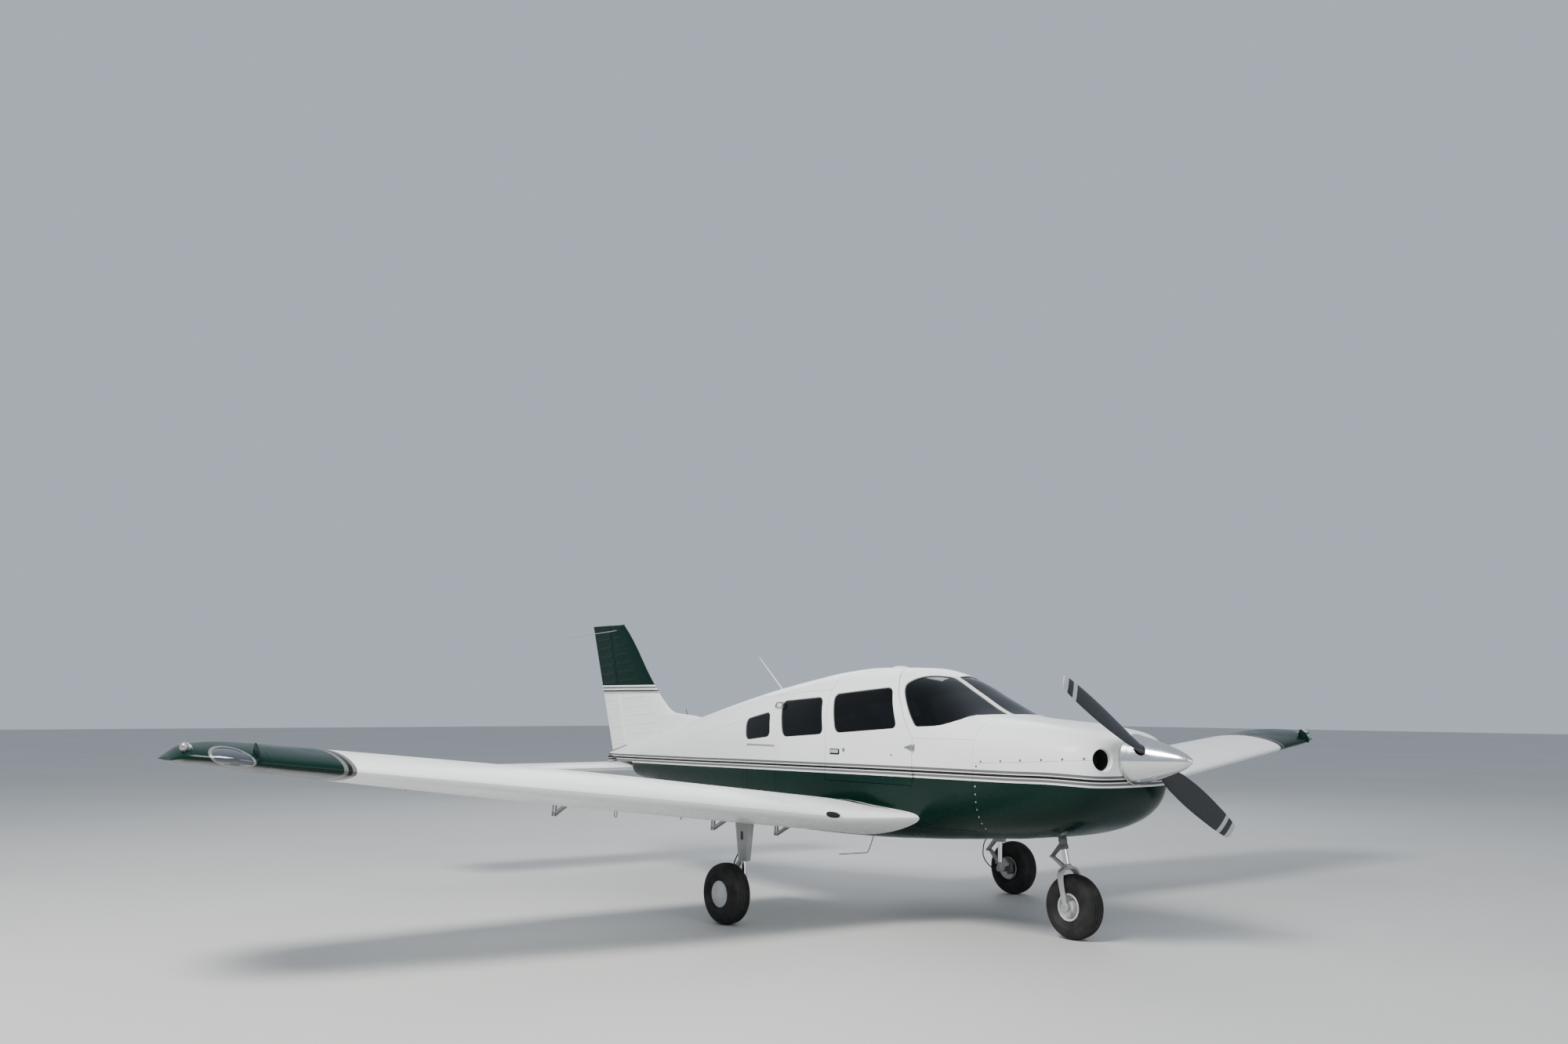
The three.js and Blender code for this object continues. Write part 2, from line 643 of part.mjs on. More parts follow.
function wingSection([, frontY, chord, frontW, angle, thick, cuff], shares, side) {
  const [c, s] = [Math.cos((angle * Math.PI) / 180), Math.sin((angle * Math.PI) / 180)];
  return shares.map((share) => {
    const [along, up] = aerofoilPoint(share, side, chord, thick, CAMBER);
    const nose = Math.max(0, 1 - share / 0.2);
    const y = frontY + along * c + up * s - cuff * nose ** 1.4;
    const w = frontW + up * c - along * s + (cuff ? CUFF_LIFT * nose ** 2 : 0);
    return [y, w];
  });
}

function wingRing(row) {
  const upper = wingSection(row, WING_SHARES, 1);
  const lower = wingSection(row, WING_SHARES.slice(0, -1), -1).reverse();
  return [...upper, ...lower].map(([y, w]) => new THREE.Vector3(row[0], y, w));
}

function wingRowAt(u) {
  return [u, ...[1, 2, 3, 4, 5, 6].map((i) => {
    const next = WING.findIndex((row) => row[0] > u);
    const [a, b] = [WING[next - 1], WING[next]];
    return a[i] + ((b[i] - a[i]) * (u - a[0])) / (b[0] - a[0]);
  })];
}

// The hinge point of a moving trailing edge and its nose radius, at one place on the span.
function hingeAt(u, chordBehind) {
  const row = wingRowAt(u);
  const share = 1 - chordBehind / row[2];
  const [[y1, w1]] = wingSection(row, [share], 1);
  const [[y0, w0]] = wingSection(row, [share], -1);
  return { row, share, y: (y0 + y1) / 2, w: (w0 + w1) / 2, radius: (w1 - w0) / 2 };
}

function arcPoints(centreY, centreW, radius, from, to, steps) {
  return [...Array(steps + 1).keys()].map((i) => {
    const angle = ((from + ((to - from) * i) / steps) * Math.PI) / 180;
    return [centreY + radius * Math.cos(angle), centreW + radius * Math.sin(angle)];
  });
}

function flapRing(u, chordBehind) {
  const { row, share, y, w, radius } = hingeAt(u, chordBehind);
  const shares = [1, share + (1 - share) * 0.66, share + (1 - share) * 0.33];
  const upper = wingSection(row, shares, 1);
  const lower = wingSection(row, shares, -1).reverse();
  const nose = arcPoints(y, w, radius, 86, 274, 9);
  return [...upper, ...nose, ...lower].map(([a, b]) => new THREE.Vector3(u, a, b));
}

function flapSpace(u, chordBehind, grow) {
  const { y, w, radius } = hingeAt(u, chordBehind);
  const aft = y + chordBehind + 60;
  const cove = arcPoints(y, w, radius + grow, 90, 270, 14);
  const points = [[aft, w + 150], [y, w + 150], ...cove, [y, w - 150], [aft, w - 150]];
  return points.map(([a, b]) => new THREE.Vector3(u, a, b));
}

function hingeBlocks([u0, u1, chord0, chord1]) {
  const ends = [hingeAt(u0, chord0), hingeAt(u1, chord1)];
  const between = (key, share) => ends[0][key] + (ends[1][key] - ends[0][key]) * share;
  return [0.08, 0.5, 0.92].map((place) => {
    const rings = [-0.5, 0.5].map((end) => {
      const share = place + (end * HINGE_BLOCK) / (u1 - u0);
      const [y, w, radius] = ["y", "w", "radius"].map((key) => between(key, share));
      const rim = arcPoints(y, w, radius + MOVE - 2 * SEAT, 130, 230, 6);
      return [...rim, [y, w]].map(([a, b]) => new THREE.Vector3(u0 + (u1 - u0) * share, a, b));
    });
    return loft(rings, acrossX);
  });
}

const raise = new THREE.Matrix4().makeRotationY((-DIHEDRAL * Math.PI) / 180);
raise.setPosition(0, 0, WING_HEIGHT);

let wing = loft(WING.map(wingRing), acrossX);
for (const [u0, u1, chord0, chord1] of [FLAP, AILERON]) {
  const gap = u0 === FLAP[0] ? 200 : MOVE;
  const ends = [flapSpace(u0, chord0, MOVE), flapSpace(u1, chord1, MOVE)];
  const [inner, outer] = [-gap, u1 - u0 + MOVE].map((reach) => {
    return ends[0].map((point, i) => point.clone().lerp(ends[1][i], reach / (u1 - u0)));
  });
  wing = wing.subtract(loft([inner, outer], acrossX));
}
const largest = (body) => body.decompose().sort((a, b) => b.volume() - a.volume())[0];
const besideFuselage = fuselageSolid(CABIN_FRONT, CABIN_REAR, -SEAT);
const raisedWing = moved(wing, raise);
const wingBody = largest(raisedWing.subtract(besideFuselage));
add("left_wing", wingBody, WHITE);
add("right_wing", largest(mirrored(raisedWing).subtract(besideFuselage)), WHITE);
addPair("wing_tip", moved(loft(WING_TIP.map(wingRing), acrossX), raise), GREEN);
for (const [name, row] of [["flap", FLAP], ["aileron", AILERON]]) {
  const [u0, u1, chord0, chord1] = row;
  const surface = loft([flapRing(u0, chord0), flapRing(u1, chord1)], acrossX);
  addPair(name, moved(joined(surface, ...hingeBlocks(row)), raise), WHITE);
}

// Tailplane, all moving and hollow on each side, with a tab along its trailing edge.
function tailplaneRing(x, fromShare, toShare, grow = 0) {
  const shares = [1, 0.9, 0.8, 0.6, 0.4, 0.25, 0.12, 0.05, 0.015, 0].map((s) => {
    return fromShare + (toShare - fromShare) * s;
  });
  const point = (side) => (share) => {
    const [along, up] = aerofoilPoint(share, side, tail.chord, tail.thick, 0);
    return new THREE.Vector3(x, tail.front + along, tail.z + up - side * grow);
  };
  const last = fromShare > 0 ? shares.length : shares.length - 1;
  return [...shares.map(point(1)), ...shares.slice(0, last).map(point(-1)).reverse()];
}

const tabShare = 1 - tail.tab / tail.chord;
const tabHinge = { y: tail.front + tail.chord - tail.tab, radius: 0 };
tabHinge.radius = thicknessAt(Math.sqrt(tabShare)) * tail.thick * tail.chord;
const tailRow = (x, share) => tailplaneRing(x, 0, share);
let stabilator = loft([tailRow(-tail.half, 1), tailRow(tail.half, 1)], acrossX);
const tabEnd = tail.half - 60;
const tabSpaceRing = (x) => {
  const cove = arcPoints(tabHinge.y, tail.z, tabHinge.radius + MOVE, 90, 270, 10);
  const aft = tail.front + tail.chord + 50;
  const points = [[aft, tail.z + 90], [tabHinge.y, tail.z + 90], ...cove, [tabHinge.y, tail.z - 90]];
  return [...points, [aft, tail.z - 90]].map(([a, b]) => new THREE.Vector3(x, a, b));
};
stabilator = stabilator.subtract(loft([tabSpaceRing(-tabEnd - MOVE), tabSpaceRing(tabEnd + MOVE)], acrossX));
const hollowRing = (x) => tailplaneRing(x, 0.14, 0.83, 7);
for (const side of [1, -1]) {
  stabilator = stabilator.subtract(loft([hollowRing(side * 150), hollowRing(side * (tabEnd - 20))], acrossX));
}
stabilator = stabilator.subtract(
  box(-tongue.half - MOVE, tongue.half + MOVE, 0, tail.pivot + tongue.thick + MOVE, 0, FAR),
);
const pin = rod(
  [-tongue.half - MOVE - 5, tail.pivot, tail.z],
  [tongue.half + MOVE + 5, tail.pivot, tail.z],
  tongue.pin,
  tongue.pin,
  20,
);
add("stabilator", stabilator.add(pin), WHITE);
const tabRing = (x) => {
  const aft = [1, tabShare + (1 - tabShare) * 0.5];
  const edge = (side) => aft.map((share) => {
    const [along, up] = aerofoilPoint(share, side, tail.chord, tail.thick, 0);
    return [tail.front + along, tail.z + up];
  });
  const nose = arcPoints(tabHinge.y, tail.z, tabHinge.radius, 88, 272, 7);
  return [...edge(1), ...nose, ...edge(-1).reverse()].map(([a, b]) => new THREE.Vector3(x, a, b));
};
const tabBlocks = [-0.85, -0.45, 0.45, 0.85].map((share) => {
  return loft(
    [-10, 10].map((end) => {
      const rim = arcPoints(tabHinge.y, tail.z, tabHinge.radius + MOVE - 2 * SEAT, 130, 230, 5);
      return [...rim, [tabHinge.y, tail.z]].map(([a, b]) => new THREE.Vector3(share * tabEnd + end, a, b));
    }),
    acrossX,
  );
});
add("stabilator_tab", joined(loft([tabRing(-tabEnd), tabRing(tabEnd)], acrossX), ...tabBlocks), WHITE);

// Fin and rudder: level sections of one thin shape, split at the hinge line.
const RUDDER_GAP = 8;
const finFront = column(FIN, 1);
const finHinge = (z) => FIN_HINGE.y + (z - FIN_HINGE.z) * FIN_HINGE.slope;
const finRear = (z) => FIN_REAR.y + (z - FIN_REAR.z) * FIN_REAR.slope;
const hingeHalf = (z) => FIN_HALF.low + ((FIN_HALF.high - FIN_HALF.low) * (z - 1060)) / (FIN_TOP - 1060);
// share of the way from the leading edge to the hinge, half thickness over that at the hinge
const FIN_SHAPE = [
  [0, 0],
  [0.012, 0.28],
  [0.04, 0.52],
  [0.12, 0.85],
  [0.3, 1.12],
  [0.6, 1.14],
  [1, 1],
];

function finRing(z, skin = 0, from = 0, to = 1) {
  const [front, rear] = [finFront(z), finHinge(z)];
  const rows = FIN_SHAPE.filter(([share]) => share >= from && share <= to);
  const side = (sign) => rows.map(([share, half]) => {
    const x = sign * Math.max(0, half * hingeHalf(z) - skin);
    return new THREE.Vector3(x, front + (rear - front) * share, z);
  });
  return [...side(1), ...side(-1).slice(from === 0 ? 1 : 0).reverse()];
}

function rudderRing(z) {
  const [hinge, rear] = [finHinge(z), finRear(z)];
  const nose = arcPoints(hinge, 0, hingeHalf(z), 272, 88, 8).map(([y, x]) => new THREE.Vector3(x, y, z));
  const edge = [1.5, -1.5].map((x) => new THREE.Vector3(x, rear, z));
  return [...nose, ...edge];
}

function rudderSpace(z) {
  const hinge = finHinge(z);
  const cove = arcPoints(hinge, 0, hingeHalf(z) + RUDDER_GAP, 270, 90, 12);
  const points = [...cove, [hinge, 150], [hinge + 500, 150], [hinge + 500, -150], [hinge, -150]];
  return points.map(([y, x]) => new THREE.Vector3(x, y, z));
}

let fin = loft(FIN.map(([z]) => finRing(z)), acrossZ);
fin = fin.subtract(loft([1050, FIN_TOP + 10].map(rudderSpace), acrossZ));
const finRoom = loft([1400, 1480, 1736, 2230].map((z) => finRing(z, 8, 0.12, 0.6)), acrossZ);
fin = fin.subtract(fuselageSolid(CABIN_REAR + SEAT, TAIL_END, -SEAT)).subtract(finRoom);
add("fin", largest(fin), WHITE);
const rudderBlocks = [0.12, 0.5, 0.88].map((share) => {
  return loft(
    [-12, 12].map((end) => {
      const z = RUDDER_BOTTOM + (FIN_TOP - RUDDER_BOTTOM) * share + end;
      const rim = arcPoints(finHinge(z), 0, hingeHalf(z) + RUDDER_GAP - 2 * SEAT, 155, 205, 4);
      return [...rim, [finHinge(z), 0]].map(([y, x]) => new THREE.Vector3(x, y, z));
    }),
    acrossZ,
  );
});
const rudder = joined(loft([RUDDER_BOTTOM, FIN_TOP].map(rudderRing), acrossZ), ...rudderBlocks);
const [[footFrontY, footFrontZ], [footRearY, footRearZ]] = RUDDER_FOOT;
const belowRudder = prismX(
  outline([[footFrontY, footFrontZ], [footRearY, footRearZ], [footRearY, 900], [footFrontY, 900]]),
  -100,
  100,
);
add("rudder", rudder.subtract(belowRudder), WHITE);

// Propeller: a hub, two twisted blades, and a spinner on its back plate.
const blade = loft(
  BLADE.map(([radius, chord, thick, angle]) => {
    const turn = (angle * Math.PI) / 180;
    return [...Array(10).keys()].map((i) => {
      const a = (i / 10) * Math.PI * 2;
      const [across, up] = [(Math.cos(a) * chord) / 2, (Math.sin(a) * thick) / 2];
      const x = across * Math.cos(turn) - up * Math.sin(turn);
      const y = across * Math.sin(turn) + up * Math.cos(turn);
      return new THREE.Vector3(x, y, radius);
    });
  }),
  acrossZ,
);
const hub = rod([0, PROP.y - HUB.front, 0], [0, PROP.y + HUB.rear, 0], HUB.radius, HUB.radius, 18);
const bladeUp = shifted(blade, 0, PROP.y, 0);
const halfTurn = new THREE.Matrix4().makeRotationY(Math.PI);
const propeller = joined(hub, bladeUp, moved(bladeUp, halfTurn));
const propPlace = new THREE.Matrix4().makeRotationY((-PROP.turn * Math.PI) / 180).setPosition(0, 0, PROP.z);
add("propeller", moved(propeller, propPlace), DARK);
const spinnerLine = (inset, ends) => {
  const steps = 6;
  const length = SPINNER.base - SPINNER.tip - inset;
  const points = [...Array(steps + 1).keys()].map((i) => {
    const t = i / steps;
    return new THREE.Vector2((SPINNER.radius - inset) * t ** 0.62, -length * (1 - t));
  });
  points.push(new THREE.Vector2(0, ends));
  return points;
};
function spinnerBody(inset) {
  const lathe = new THREE.LatheGeometry(spinnerLine(inset, 0), 18);
  return solid(lathe.translate(0, SPINNER.base, 0));
}
let spinner = spinnerBody(0).subtract(shifted(spinnerBody(SPINNER.wall), 0, -SPINNER.wall, 0));
const hubHole = HUB.radius + SEAT;
spinner = spinner.subtract(rod([0, PROP.y - HUB.front - 10, 0], [0, SPINNER.base + 20, 0], hubHole, hubHole, 18));
const rootHole = 56;
spinner = spinner.subtract(rod([0, PROP.y, -300], [0, PROP.y, 300], rootHole, rootHole, 12));
add("spinner", moved(spinner, propPlace), METAL);

// Wheels. A lathe about its own axis, turned to lie along x.
function wheelLathe(profile, facets) {
  const outlinePoints = profile.map(([radius, across]) => new THREE.Vector2(radius, across));
  const geometry = new THREE.LatheGeometry(outlinePoints, facets, Math.PI / facets);
  return solid(geometry.rotateZ(-Math.PI / 2));
}
// radius, distance across
const facetReach = TYRE.radius / Math.cos(Math.PI / TYRE.facets);
const tyreProfile = [
  [TYRE.bead, -60],
  [RIM.flange, -60],
  [TYRE.bead + 62, -TYRE.half],
  [facetReach - 22, -64],
  [facetReach, -42],
  [facetReach, 42],
  [facetReach - 22, 64],
  [TYRE.bead + 62, TYRE.half],
  [RIM.flange, 60],
  [TYRE.bead, 60],
  [TYRE.bead, -60],
];
const seatRadius = TYRE.bead - SEAT * 2;
const noseRim = [
  [RIM.bore, -RIM.half],
  [RIM.flange - 6, -RIM.half],
  [RIM.flange - 6, -60 - SEAT],
  [seatRadius, -60 - SEAT],
  [seatRadius, 60 + SEAT],
  [RIM.flange - 6, 60 + SEAT],
  [RIM.flange - 6, RIM.half],
  [RIM.bore, RIM.half],
  [RIM.bore, -RIM.half],
];
const mainRim = [
  [0, 84],
  [58, 80],
  [84, RIM.half],
  [RIM.flange - 6, 60 + SEAT],
  [seatRadius, 60 + SEAT],
  [seatRadius, -60 - SEAT],
  [RIM.flange - 6, -60 - SEAT],
  [RIM.flange - 6, -RIM.half],
  [RIM.bore, -RIM.half],
  [RIM.bore, 62],
  [0, 62],
];
const tyre = wheelLathe(tyreProfile, TYRE.facets);
addPair("main_tyre", shifted(tyre, MAIN.x, MAIN.y, TYRE.radius), DARK);
addPair("main_wheel", shifted(wheelLathe(mainRim, TYRE.facets), MAIN.x, MAIN.y, TYRE.radius), WHITE);
add("nose_tyre", shifted(tyre, ...NOSE_AXLE), DARK);
add("nose_wheel", shifted(wheelLathe(noseRim, TYRE.facets), ...NOSE_AXLE), WHITE);

// Main leg: a tapered fairing under the wing, a bright piston, and the axle.
const LEG = { top: 900, bottom: 430, half: 38 };
const fairing = loft(
  [
    [LEG.top, MAIN.y - 108, MAIN.y + 108, LEG.half + 2],
    [760, MAIN.y - 92, MAIN.y + 92, LEG.half],
    [LEG.bottom, MAIN.y - 54, MAIN.y + 54, 31],
  ].map(([z, front, rear, half]) => {
    const middle = (front + rear) / 2;
    return [...Array(14).keys()].map((i) => {
      const a = (i / 14) * Math.PI * 2;
      const [c, s] = [Math.cos(a), Math.sin(a)];
      const y = middle + (Math.sign(c) * Math.abs(c) ** 0.6 * (rear - front)) / 2;
      return new THREE.Vector3(MAIN.leg + Math.sign(s) * Math.abs(s) ** 0.6 * half, y, z);
    });
  }),
  acrossZ,
);
const fairingCut = fairing.subtract(shifted(wingBody, 0, 0, -SEAT)).decompose();
const fairingBody = fairingCut.filter((body) => body.boundingBox().min[2] < LEG.bottom + 1)[0];
const pistonFoot = TYRE.radius - 24;
const leg = joined(
  fairingBody,
  rod([MAIN.leg, MAIN.y, LEG.bottom + 5], [MAIN.leg, MAIN.y, pistonFoot], 21),
  rod([MAIN.leg - 20, MAIN.y, TYRE.radius], [MAIN.x + 57, MAIN.y, TYRE.radius], RIM.bore - 1, RIM.bore - 1, 20),
);
addPair("main_leg", leg, WHITE);

// Nose leg and steered fork, along one raked line through the axle.
const rake = (NOSE_RAKE * Math.PI) / 180;
const onStrut = (distance, x = 0, aft = 0) => [
  NOSE_AXLE[0] + x,
  NOSE_AXLE[1] + distance * Math.sin(rake) + aft * Math.cos(rake),
  NOSE_AXLE[2] + distance * Math.cos(rake) - aft * Math.sin(rake),
];
const legFoot = 345;
const legTop = 760;
const noseLeg = rod(onStrut(legFoot), onStrut(legTop), 30, 30, 20);
add("nose_leg", noseLeg.subtract(box(-FAR, FAR, -FAR, FAR, eb - SEAT, FAR)), METAL);
const CROWN = { low: 243, high: 268, half: 104 };
const strutFrame = new THREE.Matrix4().makeRotationX(-rake).setPosition(...NOSE_AXLE);
const crown = moved(box(-CROWN.half, CROWN.half, -28, 28, CROWN.low, CROWN.high), strutFrame);
const prong = (x) => moved(box(x - 9, x + 9, -22, 22, -24, CROWN.low + 5), strutFrame);
const fork = joined(
  crown,
  prong(-95),
  prong(95),
  rod(onStrut(CROWN.low + 5), onStrut(legFoot - SEAT), 22, 22, 20),
  rod([-100, NOSE_AXLE[1], NOSE_AXLE[2]], [100, NOSE_AXLE[1], NOSE_AXLE[2]], RIM.bore - 1, RIM.bore - 1, 20),
);
add("nose_fork", fork, METAL);

// Cabin inside.
const PANEL = { front: -1830, face: -1772, low: 1010, high: 1392 };
const panelPlate = box(-FAR, FAR, PANEL.front, PANEL.face, PANEL.low, PANEL.high);
const glare = box(-FAR, FAR, -2070, PANEL.face - 10, PANEL.high - 8, PANEL.high + 12);
const pedestal = box(-85, 85, PANEL.front - 60, PANEL.face, FLOOR_TOP + SEAT, PANEL.low + 10);
add("instrument_panel", joined(panelPlate, glare).intersect(fittedRoom).add(pedestal), DARK);

const WHEEL_X = 265;
const controlWheel = joined(
  rod([WHEEL_X, PANEL.face + SEAT, 1180], [WHEEL_X, -1615, 1180], 12),
  box(WHEEL_X - 120, WHEEL_X + 120, -1625, -1600, 1168, 1192),
  box(WHEEL_X - 132, WHEEL_X - 108, -1625, -1600, 1168, 1262),
  box(WHEEL_X + 108, WHEEL_X + 132, -1625, -1600, 1168, 1262),
);
addPair("control_wheel", controlWheel, DARK);

// A seat: cushion and reclined back in one outline, on a box frame.
function seat(x0, x1, front, depth, cushionTop, backTop) {
  const recline = 110;
  const rear = front + depth;
  const shape = roundOutline(
    [
      [front, cushionTop - 130],
      [front, cushionTop],
      [rear - 110, cushionTop - 25],
      [rear - 60 + recline * 0.7, backTop],
      [rear + recline, backTop],
      [rear + 20, cushionTop - 130],
    ],
    35,
  );
  const frame = box(x0 + 40, x1 - 40, front + 60, rear - 30, FLOOR_TOP + SEAT, cushionTop - 125);
  return prismX(shape, x0, x1).add(frame).intersect(seatRoom);
}
addPair("front_seat", seat(50, 480, -1330, 500, 1000, 1490), CLOTH);
add("rear_seat", seat(-470, 470, -430, 480, 985, 1440), CLOTH);

// Aerials.
const tailClear = fuselageSolid(CABIN_REAR + SEAT, TAIL_END, -SEAT);
const roofAerial = joined(
  rod([0, 510, topAt(510) - 15], [0, 510, topAt(510) + 14], 22, 14, 12),
  rod([0, 512, topAt(510) + 10], [0, 861, 1954], 6, 3, 8),
);
add("roof_aerial", roofAerial.subtract(tailClear), WHITE);
const FIN_AERIAL = { y: 3250, z: 2340, reach: 320 };
const aerial = (side) => rod(
  [0, FIN_AERIAL.y, FIN_AERIAL.z],
  [side * FIN_AERIAL.reach, FIN_AERIAL.y + FIN_AERIAL.reach, FIN_AERIAL.z - 55],
  5,
  3,
  8,
);
const finTop = 2326 + SEAT;
add("fin_aerial", joined(
  box(-9, 9, FIN_AERIAL.y - 30, FIN_AERIAL.y + 20, finTop, finTop + 16),
  aerial(1),
  aerial(-1),
), METAL);
const bellyY = -640;
const bellyAerial = bentRod([[0, bellyY, bottomAt(bellyY) + 10], [0, -565, 406], [0, -213, 366]], 4);
add("belly_aerial", bellyAerial.subtract(besideFuselage), METAL);

export default aircraft;
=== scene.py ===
import math

import bmesh
import bpy
import numpy as np
from mathutils import Matrix, Vector
from mathutils.geometry import delaunay_2d_cdt


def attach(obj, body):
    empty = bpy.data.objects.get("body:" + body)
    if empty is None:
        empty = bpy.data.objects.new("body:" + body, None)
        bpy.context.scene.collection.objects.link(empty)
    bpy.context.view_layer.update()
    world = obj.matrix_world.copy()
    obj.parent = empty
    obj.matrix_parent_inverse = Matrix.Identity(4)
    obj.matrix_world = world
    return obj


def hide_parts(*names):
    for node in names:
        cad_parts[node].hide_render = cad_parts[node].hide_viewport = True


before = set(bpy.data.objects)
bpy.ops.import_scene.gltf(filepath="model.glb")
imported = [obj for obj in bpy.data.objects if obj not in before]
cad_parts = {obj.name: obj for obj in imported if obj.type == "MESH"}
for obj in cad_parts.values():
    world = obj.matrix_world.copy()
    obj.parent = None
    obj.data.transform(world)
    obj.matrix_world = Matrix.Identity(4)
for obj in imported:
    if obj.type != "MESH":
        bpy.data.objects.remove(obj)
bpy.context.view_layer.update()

# Camera. It stands at eye height off the right wing tip and looks past the door to the tail.
# Its lens, place and tilt follow from the aircraft's known span, length and wheelbase.
EYE = (-7.907, -9.625, 1.561)
YAW, PITCH, ROLL = math.radians(37.922), math.radians(6.861), math.radians(-0.232)
FRAME_WIDTH_PX = 2000
FOCAL_LENGTH_PX = 1923.29
SENSOR_MM = 36.0

lens = bpy.data.cameras.new("eye")
lens.sensor_width = SENSOR_MM
lens.lens = SENSOR_MM * FOCAL_LENGTH_PX / FRAME_WIDTH_PX
lens.clip_start, lens.clip_end = 0.1, 400.0
camera = bpy.data.objects.new("eye", lens)
bpy.context.scene.collection.objects.link(camera)
camera.matrix_world = (
    Matrix.Translation(EYE)
    @ Matrix.Rotation(-YAW, 4, "Z")
    @ Matrix.Rotation(math.pi / 2 + PITCH, 4, "X")
    @ Matrix.Rotation(-ROLL, 4, "Z")
)
bpy.context.scene.camera = camera

# Floor and light. A pale smooth hall floor, a high main light from the camera's left, and two wide
# soft ones, one behind the camera and one over the tail, under an even pale surround.
FLOOR_SIZE = 160.0
FLOOR_COLOUR = (0.42, 0.42, 0.41)
SURROUND_COLOUR = (0.62, 0.70, 0.80)
SURROUND_STRENGTH = 0.75


def shader_node(material, kind, inputs=(), **settings):
    """Adds a node. inputs maps a socket to its value, or to the output that feeds it."""
    made = material.node_tree.nodes.new("ShaderNode" + kind)
    for name, value in settings.items():
        setattr(made, name, value)
    for socket, value in dict(inputs).items():
        if isinstance(value, bpy.types.NodeSocket):
            material.node_tree.links.new(value, made.inputs[socket])
        else:
            made.inputs[socket].default_value = value
    return made


def coated(name, colour, roughness, metallic=0.0, coat=0.0, specular=0.5):
    """A finish with one colour. Its shader is the node named Principled BSDF."""
    material = bpy.data.materials.new(name)
    material.use_nodes = True
    shader = material.node_tree.nodes["Principled BSDF"]
    shader.inputs["Base Color"].default_value = (*colour, 1.0)
    shader.inputs["Roughness"].default_value = roughness
    shader.inputs["Metallic"].default_value = metallic
    shader.inputs["Coat Weight"].default_value = coat
    shader.inputs["Coat Roughness"].default_value = 0.06
    shader.inputs["Specular IOR Level"].default_value = specular
    return material


def feed(material, socket, output):
    """Links an output to a socket of the finish's shader."""
    material.node_tree.links.new(output, material.node_tree.nodes["Principled BSDF"].inputs[socket])


def clouds(material, scale, detail, stretch=(1, 1, 1)):
    """Soft cloudy noise over the piece, from 0 to 1."""
    place = shader_node(material, "TexCoord")
    turn = shader_node(material, "Mapping", {"Vector": place.outputs["Object"], "Scale": stretch})
    noise = {"Vector": turn.outputs["Vector"], "Scale": scale, "Detail": detail}
    return shader_node(material, "TexNoise", noise).outputs["Fac"]


def spread(material, value, low, high):
    """The value, from 0 to 1, laid out between two others."""
    inputs = {"Value": value, "From Min": 0.3, "From Max": 0.7, "To Min": low, "To Max": high}
    return shader_node(material, "MapRange", inputs).outputs["Result"]


def roughen(material, scale, depth, strength=0.3, detail=4.0):
    """A fine uneven surface."""
    inputs = {"Height": clouds(material, scale, detail), "Distance": depth, "Strength": strength}
    feed(material, "Normal", shader_node(material, "Bump", inputs).outputs["Normal"])


def tinted(material, colour_a, colour_b, amount):
    """Feeds the shader a colour between two, by an amount from 0 to 1."""
    mix = shader_node(material, "Mix", data_type="RGBA")
    sockets = {socket.identifier: socket for socket in [*mix.inputs, *mix.outputs]}
    sockets["A_Color"].default_value = (*colour_a, 1)
    sockets["B_Color"].default_value = (*colour_b, 1)
    material.node_tree.links.new(amount, sockets["Factor_Float"])
    feed(material, "Base Color", sockets["Result_Color"])


floor_finish = coated("hall_floor", FLOOR_COLOUR, 0.6, specular=0.3)
tinted(floor_finish, (0.46, 0.46, 0.45), (0.55, 0.55, 0.54), clouds(floor_finish, 0.35, 6.0))
roughen(floor_finish, 60.0, 0.001)
floor_mesh = bpy.data.meshes.new("hall_floor")
half_floor = FLOOR_SIZE / 2
floor_corners = [(-1, -1), (1, -1), (1, 1), (-1, 1)]
floor_mesh.from_pydata(
    [(x * half_floor, y * half_floor, 0) for x, y in floor_corners], [], [(0, 1, 2, 3)]
)
floor_mesh.materials.append(floor_finish)
floor = bpy.data.objects.new("hall_floor", floor_mesh)
bpy.context.scene.collection.objects.link(floor)

surround = bpy.data.worlds.new("surround")
surround.use_nodes = True
surround_light = surround.node_tree.nodes["Background"]
surround_light.inputs["Color"].default_value = (*SURROUND_COLOUR, 1.0)
surround_light.inputs["Strength"].default_value = SURROUND_STRENGTH
bpy.context.scene.world = surround

# name, place, size, power, colour
LIGHTS = [
    ("main_light", (-9.0, -3.0, 11.0), 5.0, 2600, (1.0, 0.97, 0.92)),
    ("front_light", (-3.0, -14.0, 7.0), 8.0, 650, (0.95, 0.97, 1.0)),
    ("tail_light", (7.0, 9.0, 8.0), 8.0, 600, (0.95, 0.97, 1.0)),
]
for light_name, place, size, power, colour in LIGHTS:
    lamp = bpy.data.lights.new(light_name, "AREA")
    lamp.size, lamp.energy, lamp.color = size, power, colour
    lamp_object = bpy.data.objects.new(light_name, lamp)
    lamp_object.location = place
    lamp_object.rotation_euler = (-Vector(place)).to_track_quat("-Z", "Y").to_euler()
    bpy.context.scene.collection.objects.link(lamp_object)

